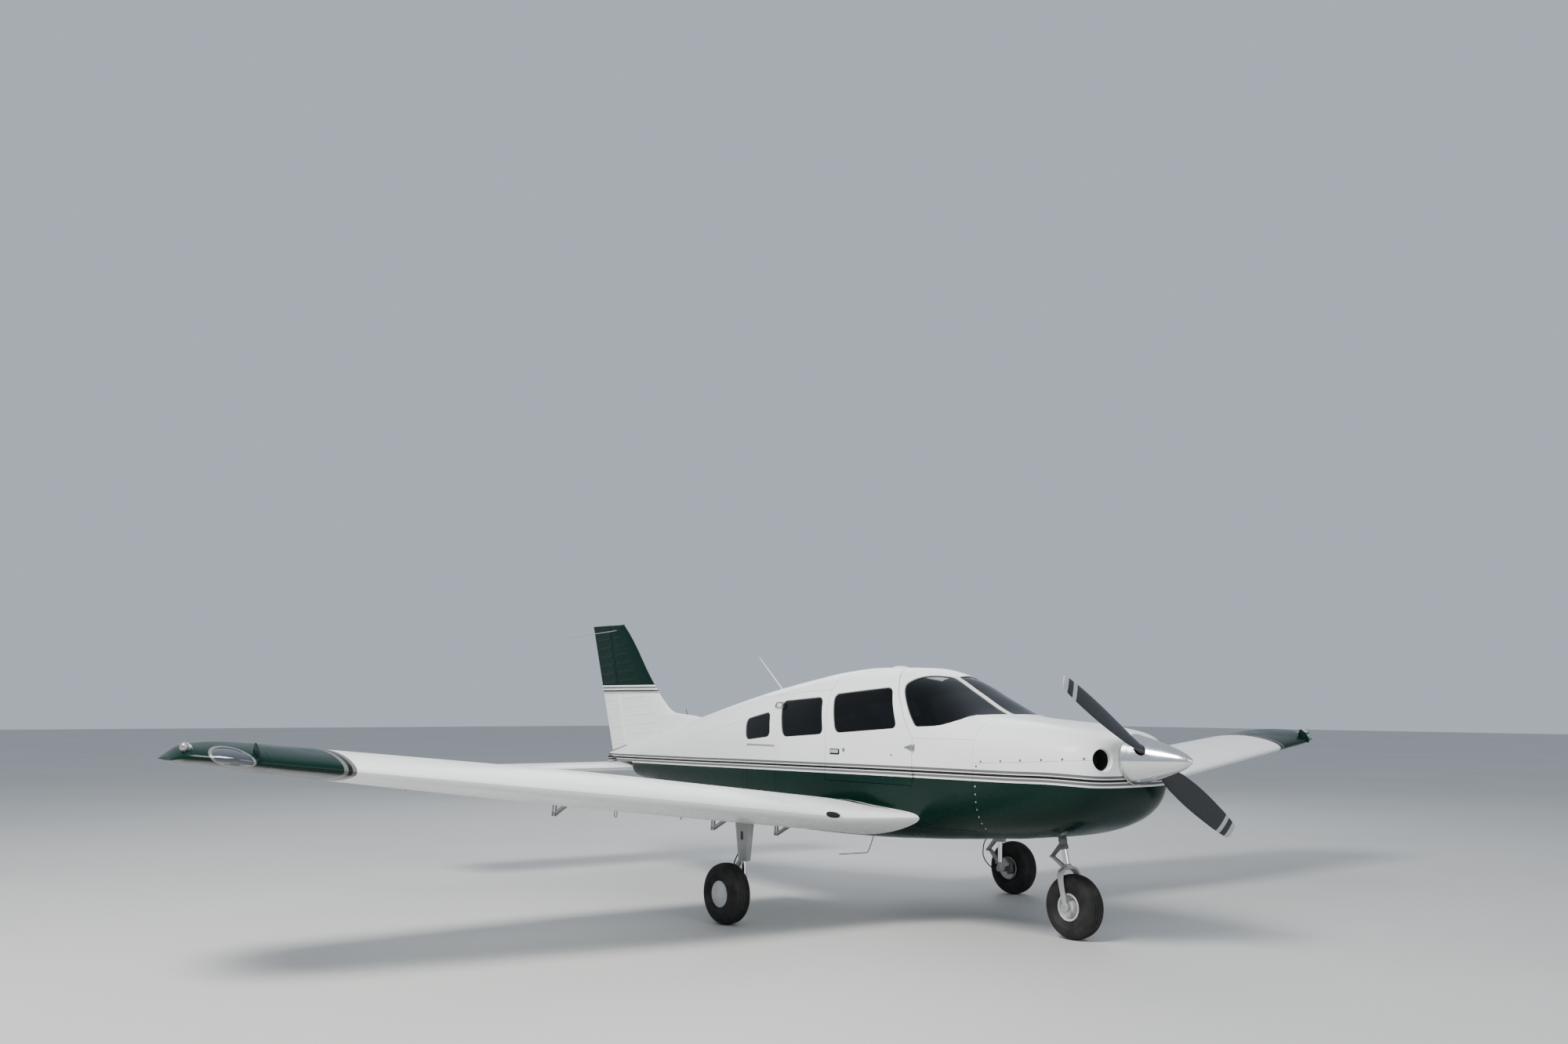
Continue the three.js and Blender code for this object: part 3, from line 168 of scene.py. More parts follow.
# Fuselage skin. Aluminium sheet over frames, drawn as one surface that every panel is cut from.
# station runs along the skin from the spinner, girth round it from the crown, in radians.
# y, bottom, top, half width, height of the widest place, power above it, power below it
FUSELAGE = np.array(
    [
        (-3.204, 1.043, 1.373, 0.165, 1.208, 2.0, 2.0),
        (-3.200, 0.985, 1.362, 0.255, 1.185, 2.2, 2.1),
        (-3.170, 0.903, 1.372, 0.370, 1.155, 2.6, 2.7),
        (-3.100, 0.825, 1.390, 0.440, 1.130, 2.9, 3.1),
        (-3.000, 0.764, 1.405, 0.485, 1.120, 3.1, 3.1),
        (-2.750, 0.692, 1.435, 0.530, 1.110, 3.5, 3.3),
        (-2.450, 0.654, 1.455, 0.555, 1.100, 3.9, 3.4),
        (-2.120, 0.630, 1.488, 0.562, 1.100, 3.8, 3.6),
        (-2.070, 0.625, 1.505, 0.562, 1.100, 3.7, 3.6),
        (-1.800, 0.605, 1.640, 0.565, 1.100, 3.2, 3.8),
        (-1.530, 0.590, 1.770, 0.565, 1.100, 3.1, 4.0),
        (-1.250, 0.575, 1.832, 0.565, 1.100, 3.2, 4.0),
        (-0.900, 0.565, 1.838, 0.562, 1.100, 3.2, 4.0),
        (-0.550, 0.560, 1.814, 0.555, 1.100, 3.2, 4.0),
        (-0.200, 0.560, 1.765, 0.535, 1.100, 3.2, 4.0),
        (0.250, 0.580, 1.697, 0.495, 1.100, 3.1, 3.9),
        (0.900, 0.650, 1.580, 0.405, 1.100, 2.9, 3.6),
        (1.650, 0.745, 1.425, 0.295, 1.080, 2.6, 3.2),
        (2.350, 0.830, 1.275, 0.200, 1.060, 2.4, 2.8),
        (2.950, 0.905, 1.150, 0.120, 1.035, 2.2, 2.4),
        (3.250, 0.960, 1.085, 0.060, 1.025, 2.0, 2.0),
    ]
)
GIRTH_METRES = 0.55
COWL_FRONT, COWL_REAR = -3.204, -2.277
CABIN_FRONT, CABIN_REAR = -2.275, 0.470
TAIL_END = 3.250
SEAM = 0.0022


def smooth_through(at, values, x):
    """Columns of values at x, on curves through the rows that never overshoot."""
    step = np.diff(at)[:, None]
    slope = np.diff(values, axis=0) / step
    before, after, near, far = slope[:-1], slope[1:], step[:-1], step[1:]
    same_way = before * after > 0
    safe_before, safe_after = np.where(same_way, before, 1), np.where(same_way, after, 1)
    mean = 3 * (near + far) / ((2 * far + near) / safe_before + (far + 2 * near) / safe_after)
    tangent = np.vstack([slope[:1], np.where(same_way, mean, 0), slope[-1:]])
    i = np.clip(np.searchsorted(at, x, side="right") - 1, 0, len(at) - 2)
    t = np.clip((x - at[i])[:, None] / step[i], 0, 1)
    rise = values[i + 1] - values[i]
    bend = (step[i] * tangent[i] - rise) * (1 - t) - (step[i] * tangent[i + 1] - rise) * t
    return values[i] + rise * t + t * (1 - t) * bend


travel = np.linalg.norm(np.diff(FUSELAGE[:, [0, 3]], axis=0), axis=1)
STATION = np.concatenate([[0], np.cumsum(travel)])
station_samples = np.linspace(0, STATION[-1], 4000)
y_samples = smooth_through(STATION, FUSELAGE, station_samples)[:, 0]


def station_at(y):
    return np.interp(y, y_samples, station_samples)


def skin(station, girth, depth=0.0):
    """Points on the fuselage, or a depth under its skin."""
    y, bottom, top, half, middle, upper, lower = smooth_through(STATION, FUSELAGE, station).T
    across, up = np.sin(girth), np.cos(girth)
    power = np.where(up > 0, upper, lower)
    reach = np.where(up > 0, top - middle, middle - bottom) - depth
    size = (np.abs(across) ** power + np.abs(up) ** power) ** (-1 / power)
    return np.stack([(half - depth) * across * size, y, middle + reach * up * size], 1)


def on_side(points, side):
    """Station and girth of points that are given as y and z on one side: 1 is left, -1 is right."""
    y, z = np.asarray(points, float).T
    station = station_at(y)
    _, bottom, top, _, middle, upper, lower = smooth_through(STATION, FUSELAGE, station).T
    above = z > middle
    share = np.clip((z - middle) / np.where(above, top - middle, middle - bottom), -1, 1)
    power = np.where(above, upper, lower)
    across = (1 - np.abs(share) ** power) ** (1 / power)
    return np.stack([station, np.arctan2(side * across, share)], 1)


def on_top(points, below=False):
    """Station and girth of points that are given as x and y, seen from above or below."""
    x, y = np.asarray(points, float).T
    station = station_at(y)
    _, _, _, half, _, upper, lower = smooth_through(STATION, FUSELAGE, station).T
    power = lower if below else upper
    share = np.clip(x / half, -1, 1)
    up = (1 - np.abs(share) ** power) ** (1 / power) * (-1 if below else 1)
    return np.stack([station, np.arctan2(share, up)], 1)


def through_bottom(run):
    """The same run with its girth counted on past the keel."""
    return np.stack([run[:, 0], run[:, 1] % (2 * math.pi)], 1)


def divided(points, spacing, closed=True):
    """The same outline with points no further apart than the spacing."""
    points = np.asarray(points, float)
    ends = np.roll(points, -1, 0) if closed else points[1:]
    made = []
    for a, b in zip(points, ends):
        count = max(1, math.ceil(np.linalg.norm(b - a) / spacing))
        made.append(a + (b - a) * np.arange(count)[:, None] / count)
    if not closed:
        made.append(points[-1:])
    return np.vstack(made)


def rounded(corners, radius, steps=6):
    """The outline with its corners rounded."""
    corners = np.asarray(corners, float)
    t = np.linspace(0, 1, steps + 1)[:, None]
    made = []
    for before, corner, after in zip(np.roll(corners, 1, 0), corners, np.roll(corners, -1, 0)):
        reach = [min(radius / np.linalg.norm(other - corner), 0.45) for other in (before, after)]
        start, end = corner + (before - corner) * reach[0], corner + (after - corner) * reach[1]
        made.append((1 - t) ** 2 * start + 2 * t * (1 - t) * corner + t**2 * end)
    return np.vstack(made)


def grown(run, distance):
    """A closed run moved outwards on the skin, by metres."""
    flat = run * (1, GIRTH_METRES)
    ahead, behind = np.roll(flat, -1, 0) - flat, flat - np.roll(flat, 1, 0)
    ahead /= np.linalg.norm(ahead, axis=1)[:, None]
    behind /= np.linalg.norm(behind, axis=1)[:, None]
    out = np.stack([ahead[:, 1] + behind[:, 1], -ahead[:, 0] - behind[:, 0]], 1)
    out *= 2 / np.maximum((out**2).sum(1), 0.8)[:, None]
    x, y = flat.T
    turn = np.sign(np.sum(x * np.roll(y, -1) - np.roll(x, -1) * y))
    return (flat + out * turn * distance) / (1, GIRTH_METRES)


def within(points, ring):
    """Which points lie inside a closed ring."""
    x, y = points[:, :1], points[:, 1:]
    ax, ay = ring.T
    bx, by = np.roll(ring, -1, 0).T
    crosses = (ay > y) != (by > y)
    run_up = np.where(by == ay, 1, by - ay)
    return (crosses & (x < (bx - ax) * (y - ay) / run_up + ax)).sum(1) % 2 == 1


def cut_sheet(surface, outline, holes, outer, inner, spacing, scale=GIRTH_METRES):
    """Points, faces and the number of outer faces of a sheet cut from a surface, with its wall."""
    rings = [divided(run * (1, scale), spacing * 0.6) for run in (outline, *holes)]
    edges, start = [], 0
    for ring in rings:
        edges += [(start + i, start + (i + 1) % len(ring)) for i in range(len(ring))]
        start += len(ring)
    rim = np.vstack(rings)
    low, high = rings[0].min(0), rings[0].max(0)
    counts = np.maximum(2, np.ceil((high - low) / spacing)).astype(int)
    lines = [np.linspace(low[k], high[k], counts[k]) for k in (0, 1)]
    grid = np.stack(np.meshgrid(*lines), -1).reshape(-1, 2)

    def kept(points):
        inside = within(points, rings[0])
        for hole in rings[1:]:
            inside &= ~within(points, hole)
        return inside

    grid = grid[kept(grid)]
    clear = np.array([np.abs(rim - point).max(1).min() > spacing * 0.4 for point in grid], bool)
    flat = np.vstack([rim, grid[clear]]) if len(grid) else rim
    found = delaunay_2d_cdt([Vector(point) for point in flat], edges, [], 0, 1e-7)
    places = np.array([tuple(place) for place in found[0]])
    triangles = np.array([face for face in found[2] if len(face) == 3])
    triangles = triangles[kept(places[triangles].mean(1))]
    used, triangles = np.unique(triangles, return_inverse=True)
    triangles = triangles.reshape(-1, 3)
    station, girth = places[used, 0], places[used, 1] / scale
    points = np.vstack([surface(station, girth, outer), surface(station, girth, inner)])
    count = len(used)
    directed = {(int(a), int(b)) for t in triangles for a, b in zip(t, np.roll(t, -1))}
    walls = [(b, a, a + count, b + count) for a, b in directed if (b, a) not in directed]
    under = [tuple(int(v) + count for v in t[::-1]) for t in triangles]
    over = [tuple(int(v) for v in t) for t in triangles]
    return points, over + walls + under, len(over) + len(walls)


def piece(name, points, faces, finishes, body, slot, stands_for=(), corner=38, second_from=None):
    """A finished mesh on its body. Faces from second_from on have the second finish."""
    mesh = bpy.data.meshes.new(name)
    mesh.from_pydata([tuple(point) for point in np.asarray(points, float)], [], faces)
    for finish in finishes if isinstance(finishes, (list, tuple)) else [finishes]:
        mesh.materials.append(finish)
    if second_from is not None:
        choice = np.zeros(len(mesh.polygons), np.int32)
        choice[second_from:] = 1
        mesh.polygons.foreach_set("material_index", choice)
    shape = bmesh.new()
    shape.from_mesh(mesh)
    bmesh.ops.remove_doubles(shape, verts=shape.verts, dist=2e-5)
    bmesh.ops.recalc_face_normals(shape, faces=shape.faces)
    shape.to_mesh(mesh)
    shape.free()
    mesh.polygons.foreach_set("use_smooth", np.ones(len(mesh.polygons), bool))
    mesh.set_sharp_from_angle(angle=math.radians(corner))
    made = bpy.data.objects.new(name, mesh)
    bpy.context.scene.collection.objects.link(made)
    if stands_for:
        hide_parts(*([stands_for] if isinstance(stands_for, str) else stands_for))
    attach(made, body)
    return made


def skin_piece(name, outline, holes, wall, lining, body, slot, stands_for=(), spacing=0.035):
    """A sheet cut from the fuselage's skin, painted outside, with its own finish inside."""
    points, faces, outer_count = cut_sheet(skin, outline, holes, 0, wall, spacing)
    finishes = [fuselage_paint, lining]
    piece(name, points, faces, finishes, body, slot, stands_for, second_from=outer_count)


# Fuselage paint. White over dark green, parted by a band of thin stripes that dips under the
# spinner. It is sprayed gloss paint with a clear coat over slightly uneven sheet.
WHITE = (0.835, 0.85, 0.845)
GREEN = (0.0012, 0.0150, 0.0105)
BLACK = (0.010, 0.011, 0.011)
GREY = (0.13, 0.13, 0.128)
# distance below the top of the band, colour from there on
STRIPES = [
    (-0.5, WHITE),
    (0.0, GREY),
    (0.0180, WHITE),
    (0.0255, BLACK),
    (0.0415, WHITE),
    (0.0495, GREY),
    (0.0650, WHITE),
    (0.0750, GREEN),
]
STRIPE_REACH = 1.5
CURVE_FLOOR = 0.6
# y, height of the top of the band
BAND_TOP = [(-3.25, 1.103), (-3.0, 1.125), (-2.6, 1.127), (0.0, 1.116), (1.5, 1.095), (3.3, 1.074)]


def bands(material, distance, stripes, reach):
    """Colour by a distance: each stripe holds from its own start. reach is the whole span."""
    start = stripes[0][0]
    inputs = {"Value": distance, "From Min": start, "From Max": start + reach}
    ramp = shader_node(
        material, "ValToRGB", {"Fac": shader_node(material, "MapRange", inputs).outputs["Result"]}
    )
    ramp.color_ramp.interpolation = "CONSTANT"
    stops = ramp.color_ramp.elements
    while len(stops) < len(stripes):
        stops.new(1.0)
    for stop, (at, colour) in zip(stops, stripes):
        stop.position = (at - start) / reach
        stop.color = (*colour, 1)
    return ramp.outputs["Color"]


def aged_gloss(name, colour):
    """Gloss paint with a coat, in one colour or one that a function lays out, under faint dust."""
    material = coated(name, WHITE, 0.3, coat=0.08, specular=0.12)
    dust = spread(material, clouds(material, 2.3, 8.0, (1, 0.4, 1)), 0.95, 1.0)
    colour = colour(material) if callable(colour) else (*colour, 1)
    mixed = {"Fac": 1.0, "Color1": colour, "Color2": dust}
    mix = shader_node(material, "MixRGB", mixed, blend_type="MULTIPLY")
    feed(material, "Base Color", mix.outputs["Color"])
    feed(material, "Roughness", spread(material, clouds(material, 5.0, 6.0), 0.2, 0.34))
    roughen(material, 2.2, 0.003, 0.035, 1.0)
    return material


def object_place(material):
    """The x, y and z of the place that is shaded."""
    place = shader_node(material, "TexCoord").outputs["Object"]
    return shader_node(material, "SeparateXYZ", {"Vector": place}).outputs


def minus(material, value, other):
    """One value less another, each a number or an output."""
    inputs = {0: value, 1: other}
    return shader_node(material, "Math", inputs, operation="SUBTRACT").outputs["Value"]


def fuselage_colour(material):
    """The band follows a curve along the fuselage."""
    place = object_place(material)
    first, last = BAND_TOP[0][0], BAND_TOP[-1][0]
    inputs = {"Value": place["Y"], "From Min": first, "From Max": last}
    along = shader_node(material, "MapRange", inputs).outputs["Result"]
    line = shader_node(material, "FloatCurve", {"Value": along})
    curve = line.mapping.curves[0]
    while len(curve.points) < len(BAND_TOP):
        curve.points.new(0.5, 0.5)
    for point, (y, z) in zip(curve.points, BAND_TOP):
        point.location = ((y - first) / (last - first), z - CURVE_FLOOR)
    line.mapping.update()
    lifted = {0: line.outputs["Value"], 1: CURVE_FLOOR}
    top = shader_node(material, "Math", lifted, operation="ADD").outputs["Value"]
    return bands(material, minus(material, top, place["Z"]), STRIPES, STRIPE_REACH)


fuselage_paint = aged_gloss("fuselage_paint", fuselage_colour)
white_paint = aged_gloss("white_gloss_paint", WHITE)
green_paint = aged_gloss("green_gloss_paint", GREEN)
cabin_lining = coated("cabin_lining", (0.16, 0.155, 0.145), 0.85)
roughen(cabin_lining, 400.0, 0.0006, 0.5)
cowl_inside = coated("cowl_inside", (0.055, 0.056, 0.055), 0.7)
roughen(cowl_inside, 120.0, 0.001, 0.5)

# Cowl. Two moulded halves that meet just under the spinner's middle, with a round cooling inlet
# on each side of the spinner and an open outlet below, round the nose leg.
COWL_SPLIT = [(-3.204, 1.210), (-2.270, 1.163)]
INLET = {"x": 0.300, "z": 1.208, "radius": 0.080}
OUTLET = {"half": 0.190, "front": -2.640, "rear": -2.300}
COWL_WALL = 0.012
RUN_SPACING = 0.03


def level_run(y0, y1, z, side):
    """A run along the skin at one height."""
    count = max(2, math.ceil(abs(y1 - y0) / RUN_SPACING))
    return on_side([(y, z) for y in np.linspace(y0, y1, count)], side)


def round_turns(count):
    """Angles spaced evenly all the way round."""
    return np.linspace(0, 2 * math.pi, count, endpoint=False)


def front_ring(x, z, radius, count=40):
    """Station and girth of a ring on the nose that is round when it is seen from the front."""
    turns = round_turns(count)
    points = np.stack([x + radius * np.cos(turns), z + radius * np.sin(turns)], 1)
    near, far = np.zeros(count), np.full(count, float(station_at(-2.9)))
    for _ in range(40):
        station = (near + far) / 2
        _, bottom, top, half, middle, upper, lower = smooth_through(STATION, FUSELAGE, station).T
        above = points[:, 1] > middle
        up = (points[:, 1] - middle) / np.where(above, top - middle, middle - bottom)
        power = np.where(above, upper, lower)
        outside = np.abs(points[:, 0] / half) ** power + np.abs(up) ** power > 1
        near, far = np.where(outside, station, near), np.where(outside, far, station)
    return np.stack([station, np.arctan2(points[:, 0] / half, up)], 1)


def closed_run(*runs):
    return np.vstack(runs)


inlets = [front_ring(side * INLET["x"], INLET["z"], INLET["radius"]) for side in (1, -1)]


def split_run(y0, y1, lift, side):
    """A run along the cowl's split, a distance above it."""
    (front, low), (rear, high) = COWL_SPLIT
    return on_side(
        [(y, np.interp(y, (front, rear), (low, high)) + lift) for y in np.linspace(y0, y1, 36)], side
    )


upper_side = split_run(COWL_FRONT, COWL_REAR, SEAM / 2, 1)
upper_outline = closed_run(upper_side, upper_side[::-1] * (1, -1))
skin_piece(
    "upper_cowl_shell", upper_outline, inlets, COWL_WALL, cowl_inside, "airframe", "white_paint",
    "upper_cowl", 0.03,
)
lower_left = split_run(COWL_FRONT, COWL_REAR, -SEAM / 2, 1)
lower_right = through_bottom(lower_left * (1, -1))
outlet_sides = [(-1, "front"), (1, "front"), (1, "rear"), (-1, "rear")]
outlet_corners = [(across * OUTLET["half"], OUTLET[end]) for across, end in outlet_sides]
outlet = through_bottom(on_top(divided(rounded(outlet_corners, 0.05), 0.02), below=True))
inlets_below = [through_bottom(ring) for ring in inlets]
skin_piece(
    "lower_cowl_shell", closed_run(lower_left, lower_right[::-1]), [*inlets_below, outlet], COWL_WALL,
    cowl_inside, "airframe", "green_paint", "lower_cowl", 0.03,
)

# Cabin skin. The windshield's surround, the roof, the sides and the belly are riveted sheets with
# hair-thin laps between them, and the windows are cut through with round corners.
CABIN_WALL = 0.030
DECK_LINE = 1.320
SILL_LINE = 0.700
ROOF_SEAM = [(-2.400, 1.763), (0.600, 1.598)]
SURROUND_SEAM = [
    (-1.684, 1.320),
    (-1.579, 1.451),
    (-1.533, 1.523),
    (-1.447, 1.635),
    (-1.386, 1.721),
    (-1.276, 1.816),
    (-1.240, 1.840),
]
WINDSHIELD_BASE = [(-2.150, 1.600), (-2.112, 1.492), (-2.007, 1.435), (-1.898, 1.409), (-1.672, 1.399)]
WINDSHIELD_REAR = [(-1.628, 1.469), (-1.462, 1.675), (-1.440, 1.722), (-1.480, 1.752), (-1.513, 1.771)]
WINDSHIELD_STRIP = 0.050
FRONT_WINDOW = [(-0.737, 1.636), (-1.363, 1.688), (-1.512, 1.387), (-0.821, 1.340)]
REAR_WINDOW = [(-0.050, 1.583), (-0.609, 1.616), (-0.679, 1.330), (-0.143, 1.297)]
WINDOW_ROUND = 0.062
QUARTER_WINDOW = [(0.453, 1.436), (0.083, 1.499), (0.038, 1.298), (0.420, 1.262)]


def window_run(corners, side):
    return on_side(divided(rounded(corners, WINDOW_ROUND, 8), 0.008), side)


def smooth_line(points, spacing=0.02):
    """A smooth open line through points."""
    points = np.asarray(points, float)
    at = np.concatenate([[0], np.cumsum(np.linalg.norm(np.diff(points, axis=0), axis=1))])
    return smooth_through(at, points, np.linspace(0, at[-1], max(2, math.ceil(at[-1] / spacing))))


def roof_seam_height(y):
    (y0, z0), (y1, z1) = ROOF_SEAM
    return z0 + (z1 - z0) * (y - y0) / (y1 - y0)


def shield_run(side):
    """One half of the windshield: up the middle strip, round the rear corner and along its base."""
    base = on_side(smooth_line(WINDSHIELD_BASE), side)
    rear = on_side(divided(WINDSHIELD_REAR, 0.02, closed=False), side)
    edge_x = WINDSHIELD_STRIP / 2
    strip = on_top([(side * edge_x, y) for y in np.linspace(-1.520, -2.112, 30)])
    base = base[np.abs(base[:, 1]) > np.abs(strip[-1, 1]) * 1.2]
    rear = rear[np.abs(rear[:, 1]) > np.abs(strip[0, 1]) * 1.2]
    run = closed_run(base, rear, strip)
    flat = rounded(run[::3] * (1, GIRTH_METRES), 0.028, 4)
    return flat / (1, GIRTH_METRES)


seam_line = smooth_line(SURROUND_SEAM)
shield_runs = {side: shield_run(side) for side in (1, -1)}
left_edge = closed_run(
    level_run(CABIN_FRONT, SURROUND_SEAM[0][0], DECK_LINE + SEAM, 1), on_side(seam_line[1:], 1)
)
skin_piece(
    "windshield_frame", closed_run(left_edge, left_edge[::-1] * (1, -1)), list(shield_runs.values()),
    CABIN_WALL, cabin_lining, "airframe", "white_paint", "windshield_surround",
)

# Cabin door on the right. Its rear edge follows the arc it swings on, and it hangs on two
# knuckles outside the skin. A painted sheet door with a trimmed inside.
DOOR_HINGE = (-0.576, -1.690)
DOOR_BOTTOM = 0.990
DOOR_GAP = 0.004
# reach of the rear edge from the hinge line, height
DOOR_REACH = [(0.974, 0.900), (0.976, 1.300), (0.988, 1.458), (1.010, 1.695), (1.051, 1.756)]
DOOR_TOP = [(-0.234, -1.276), (-0.370, -0.658)]


def door_rear_y(z):
    """Where the skin at a height meets the arc of the door's rear edge."""
    reaches, heights = np.array(DOOR_REACH).T
    reach = np.interp(z, heights, reaches)
    near, far = -1.2, -0.4
    for _ in range(40):
        y = (near + far) / 2
        place = on_side([(y, z)], -1)
        x = skin(place[:, 0], place[:, 1])[0, 0]
        if math.hypot(x - DOOR_HINGE[0], y - DOOR_HINGE[1]) > reach:
            far = y
        else:
            near = y
    return y


behind_seam = seam_line[seam_line[:, 1] < 1.800] + (DOOR_GAP + 0.002, 0)
front_y = behind_seam[0, 0]
door_front = on_side([(front_y, z) for z in np.linspace(DOOR_BOTTOM, DECK_LINE - 0.02, 12)], -1)
door_top = on_top(
    [np.array(DOOR_TOP[0]) * (1 - t) + np.array(DOOR_TOP[1]) * t for t in np.linspace(0.02, 1, 24)]
)
door_rear = on_side([(door_rear_y(z), z) for z in np.linspace(1.740, DOOR_BOTTOM, 30)], -1)
door_sill = level_run(door_rear_y(DOOR_BOTTOM) - 0.03, front_y + 0.03, DOOR_BOTTOM, -1)
door_run = closed_run(door_front, on_side(behind_seam, -1), door_top, door_rear, door_sill)
door_opening = grown(door_run, DOOR_GAP)
skin_piece(
    "cabin_door_shell", door_run, [window_run(FRONT_WINDOW, -1)], CABIN_WALL, cabin_lining,
    "front_door", "white_paint", "cabin_door",
)

# Baggage door. A painted sheet door with round corners behind the right wing, hinged along its
# top edge.
BAGGAGE_DOOR = {"front": -0.037, "rear": 0.391, "bottom": 0.800, "top": 1.230}
baggage_corners = [
    (BAGGAGE_DOOR[y], BAGGAGE_DOOR[z])
    for y, z in [("front", "bottom"), ("rear", "bottom"), ("rear", "top"), ("front", "top")]
]
baggage_run = on_side(divided(rounded(baggage_corners, 0.04), 0.02), -1)
baggage_opening = grown(baggage_run, 0.003)
skin_piece(
    "baggage_door_shell", baggage_run, (), CABIN_WALL, cabin_lining, "hold_door", "white_paint",
    "baggage_door",
)

# Roof, sides and belly. Painted sheets, cut round the two doors and the side windows, with a green
# one that closes the cabin from below.
ROOF_FRONT = -1.390
roof_edge_y = np.linspace(ROOF_FRONT - 0.004, CABIN_REAR, 60)
roof_edge = on_side([(y, roof_seam_height(y) + SEAM) for y in roof_edge_y], 1)
seam_above = seam_line[seam_line[:, 1] > roof_seam_height(ROOF_FRONT) + SEAM * 2]
roof_front = on_side(seam_above + (SEAM, 0), 1)
left_roof = closed_run(roof_front[::-1], roof_edge)
skin_piece(
    "cabin_roof_skin", closed_run(left_roof, left_roof[::-1] * (1, -1)), [door_opening], CABIN_WALL,
    cabin_lining, "airframe", "white_paint", "cabin_roof",
)

seam_below = seam_line[seam_line[:, 1] < roof_seam_height(ROOF_FRONT) - SEAM * 2]


def side_outline(side):
    front = on_side([(CABIN_FRONT, z) for z in np.linspace(SILL_LINE, DECK_LINE, 20)], side)
    deck = level_run(CABIN_FRONT + 0.02, SURROUND_SEAM[0][0], DECK_LINE, side)
    seam = on_side(seam_below[1:] + (SEAM, 0), side)
    top = on_side([(y, roof_seam_height(y)) for y in roof_edge_y], side)
    rear = on_side([(CABIN_REAR, z) for z in np.linspace(1.58, SILL_LINE, 24)], side)
    sill = level_run(CABIN_REAR - 0.02, CABIN_FRONT + 0.02, SILL_LINE, side)
    return closed_run(front, deck, seam, top, rear, sill)


right_holes = [door_opening, baggage_opening, window_run(REAR_WINDOW, -1), window_run(QUARTER_WINDOW, -1)]
left_holes = [window_run(corners, 1) for corners in (FRONT_WINDOW, REAR_WINDOW, QUARTER_WINDOW)]
for side, side_name, side_holes in ((1, "left", left_holes), (-1, "right", right_holes)):
    skin_piece(
        side_name + "_side_skin", side_outline(side), side_holes, CABIN_WALL, cabin_lining,
        "airframe", "white_paint", side_name + "_side_panel",
    )

belly_left = level_run(CABIN_FRONT, CABIN_REAR, SILL_LINE - SEAM, 1)
belly_outline = closed_run(belly_left, through_bottom(belly_left * (1, -1))[::-1])
skin_piece("belly_skin", belly_outline, (), 0.012, cowl_inside, "airframe", "green_paint", "belly_floor")

# Glass. Tinted acrylic panes bedded a little below the skin, each in a dark rubber seal.
PANE_OUTER, PANE_INNER = 0.008, 0.013
pane_tint = coated("tinted_acrylic", (0.075, 0.088, 0.098), 0.02, specular=0.28)
pane_shader = pane_tint.node_tree.nodes["Principled BSDF"]
pane_shader.inputs["Transmission Weight"].default_value = 1.0
pane_shader.inputs["IOR"].default_value = 1.3
pane_scratch = clouds(pane_tint, 30.0, 6.0, (1, 0.2, 3))
feed(pane_tint, "Roughness", spread(pane_tint, pane_scratch, 0.01, 0.05))
seal_rubber = coated("window_seal", (0.12, 0.12, 0.118), 0.6)
roughen(seal_rubber, 250.0, 0.0005)


def quads(rings, count, closed=False):
    """Faces between rings of one count, and between the last and the first where closed."""
    return [
        (r * count + i, r * count + (i + 1) % count, s * count + (i + 1) % count, s * count + i)
        for r, s in [(r, (r + 1) % rings) for r in range(rings if closed else rings - 1)]
        for i in range(count)
    ]


def shell(rings):
    """Points and faces of a closed body through rings that all have the same number of points."""
    n = len(rings[0])
    last = (len(rings) - 1) * n
    ends = [tuple(range(n))[::-1], tuple(range(last, last + n))]
    return np.vstack(rings), quads(len(rings), n) + ends


def hoop_shell(rings):
    """The same, with the last ring joined to the first instead of the ends closed."""
    return np.vstack(rings), quads(len(rings), len(rings[0]), closed=True)


def tube_along(points, radius, sides, closed=False):
    """Points and faces of a round bar that follows a line. radius may be one or one per point."""
    points = np.asarray(points, float)
    count = len(points)
    along = np.roll(points, -1, 0) - np.roll(points, 1, 0) if closed else np.gradient(points, axis=0)
    along /= np.linalg.norm(along, axis=1)[:, None]
    across = np.zeros_like(points)
    start = np.eye(3)[np.argmin(np.abs(along[0]))]
    for i in range(count):
        previous = start if i == 0 else across[i - 1]
        across[i] = previous - along[i] * previous.dot(along[i])
        across[i] /= np.linalg.norm(across[i])
    up = np.cross(along, across)
    turns = round_turns(sides)[None, :, None]
    round_it = across[:, None] * np.cos(turns) + up[:, None] * np.sin(turns)
    rings = points[:, None] + np.broadcast_to(radius, (count,))[:, None, None] * round_it
    return hoop_shell(list(rings)) if closed else shell(list(rings))


def merged(*parts):
    """Several meshes, each points and faces, as one."""
    points, faces, start = [], [], 0
    for part_points, part_faces in parts:
        points.append(np.asarray(part_points, float))
        faces += [tuple(v + start for v in face) for face in part_faces]
        start += len(part_points)
    return np.vstack(points), faces


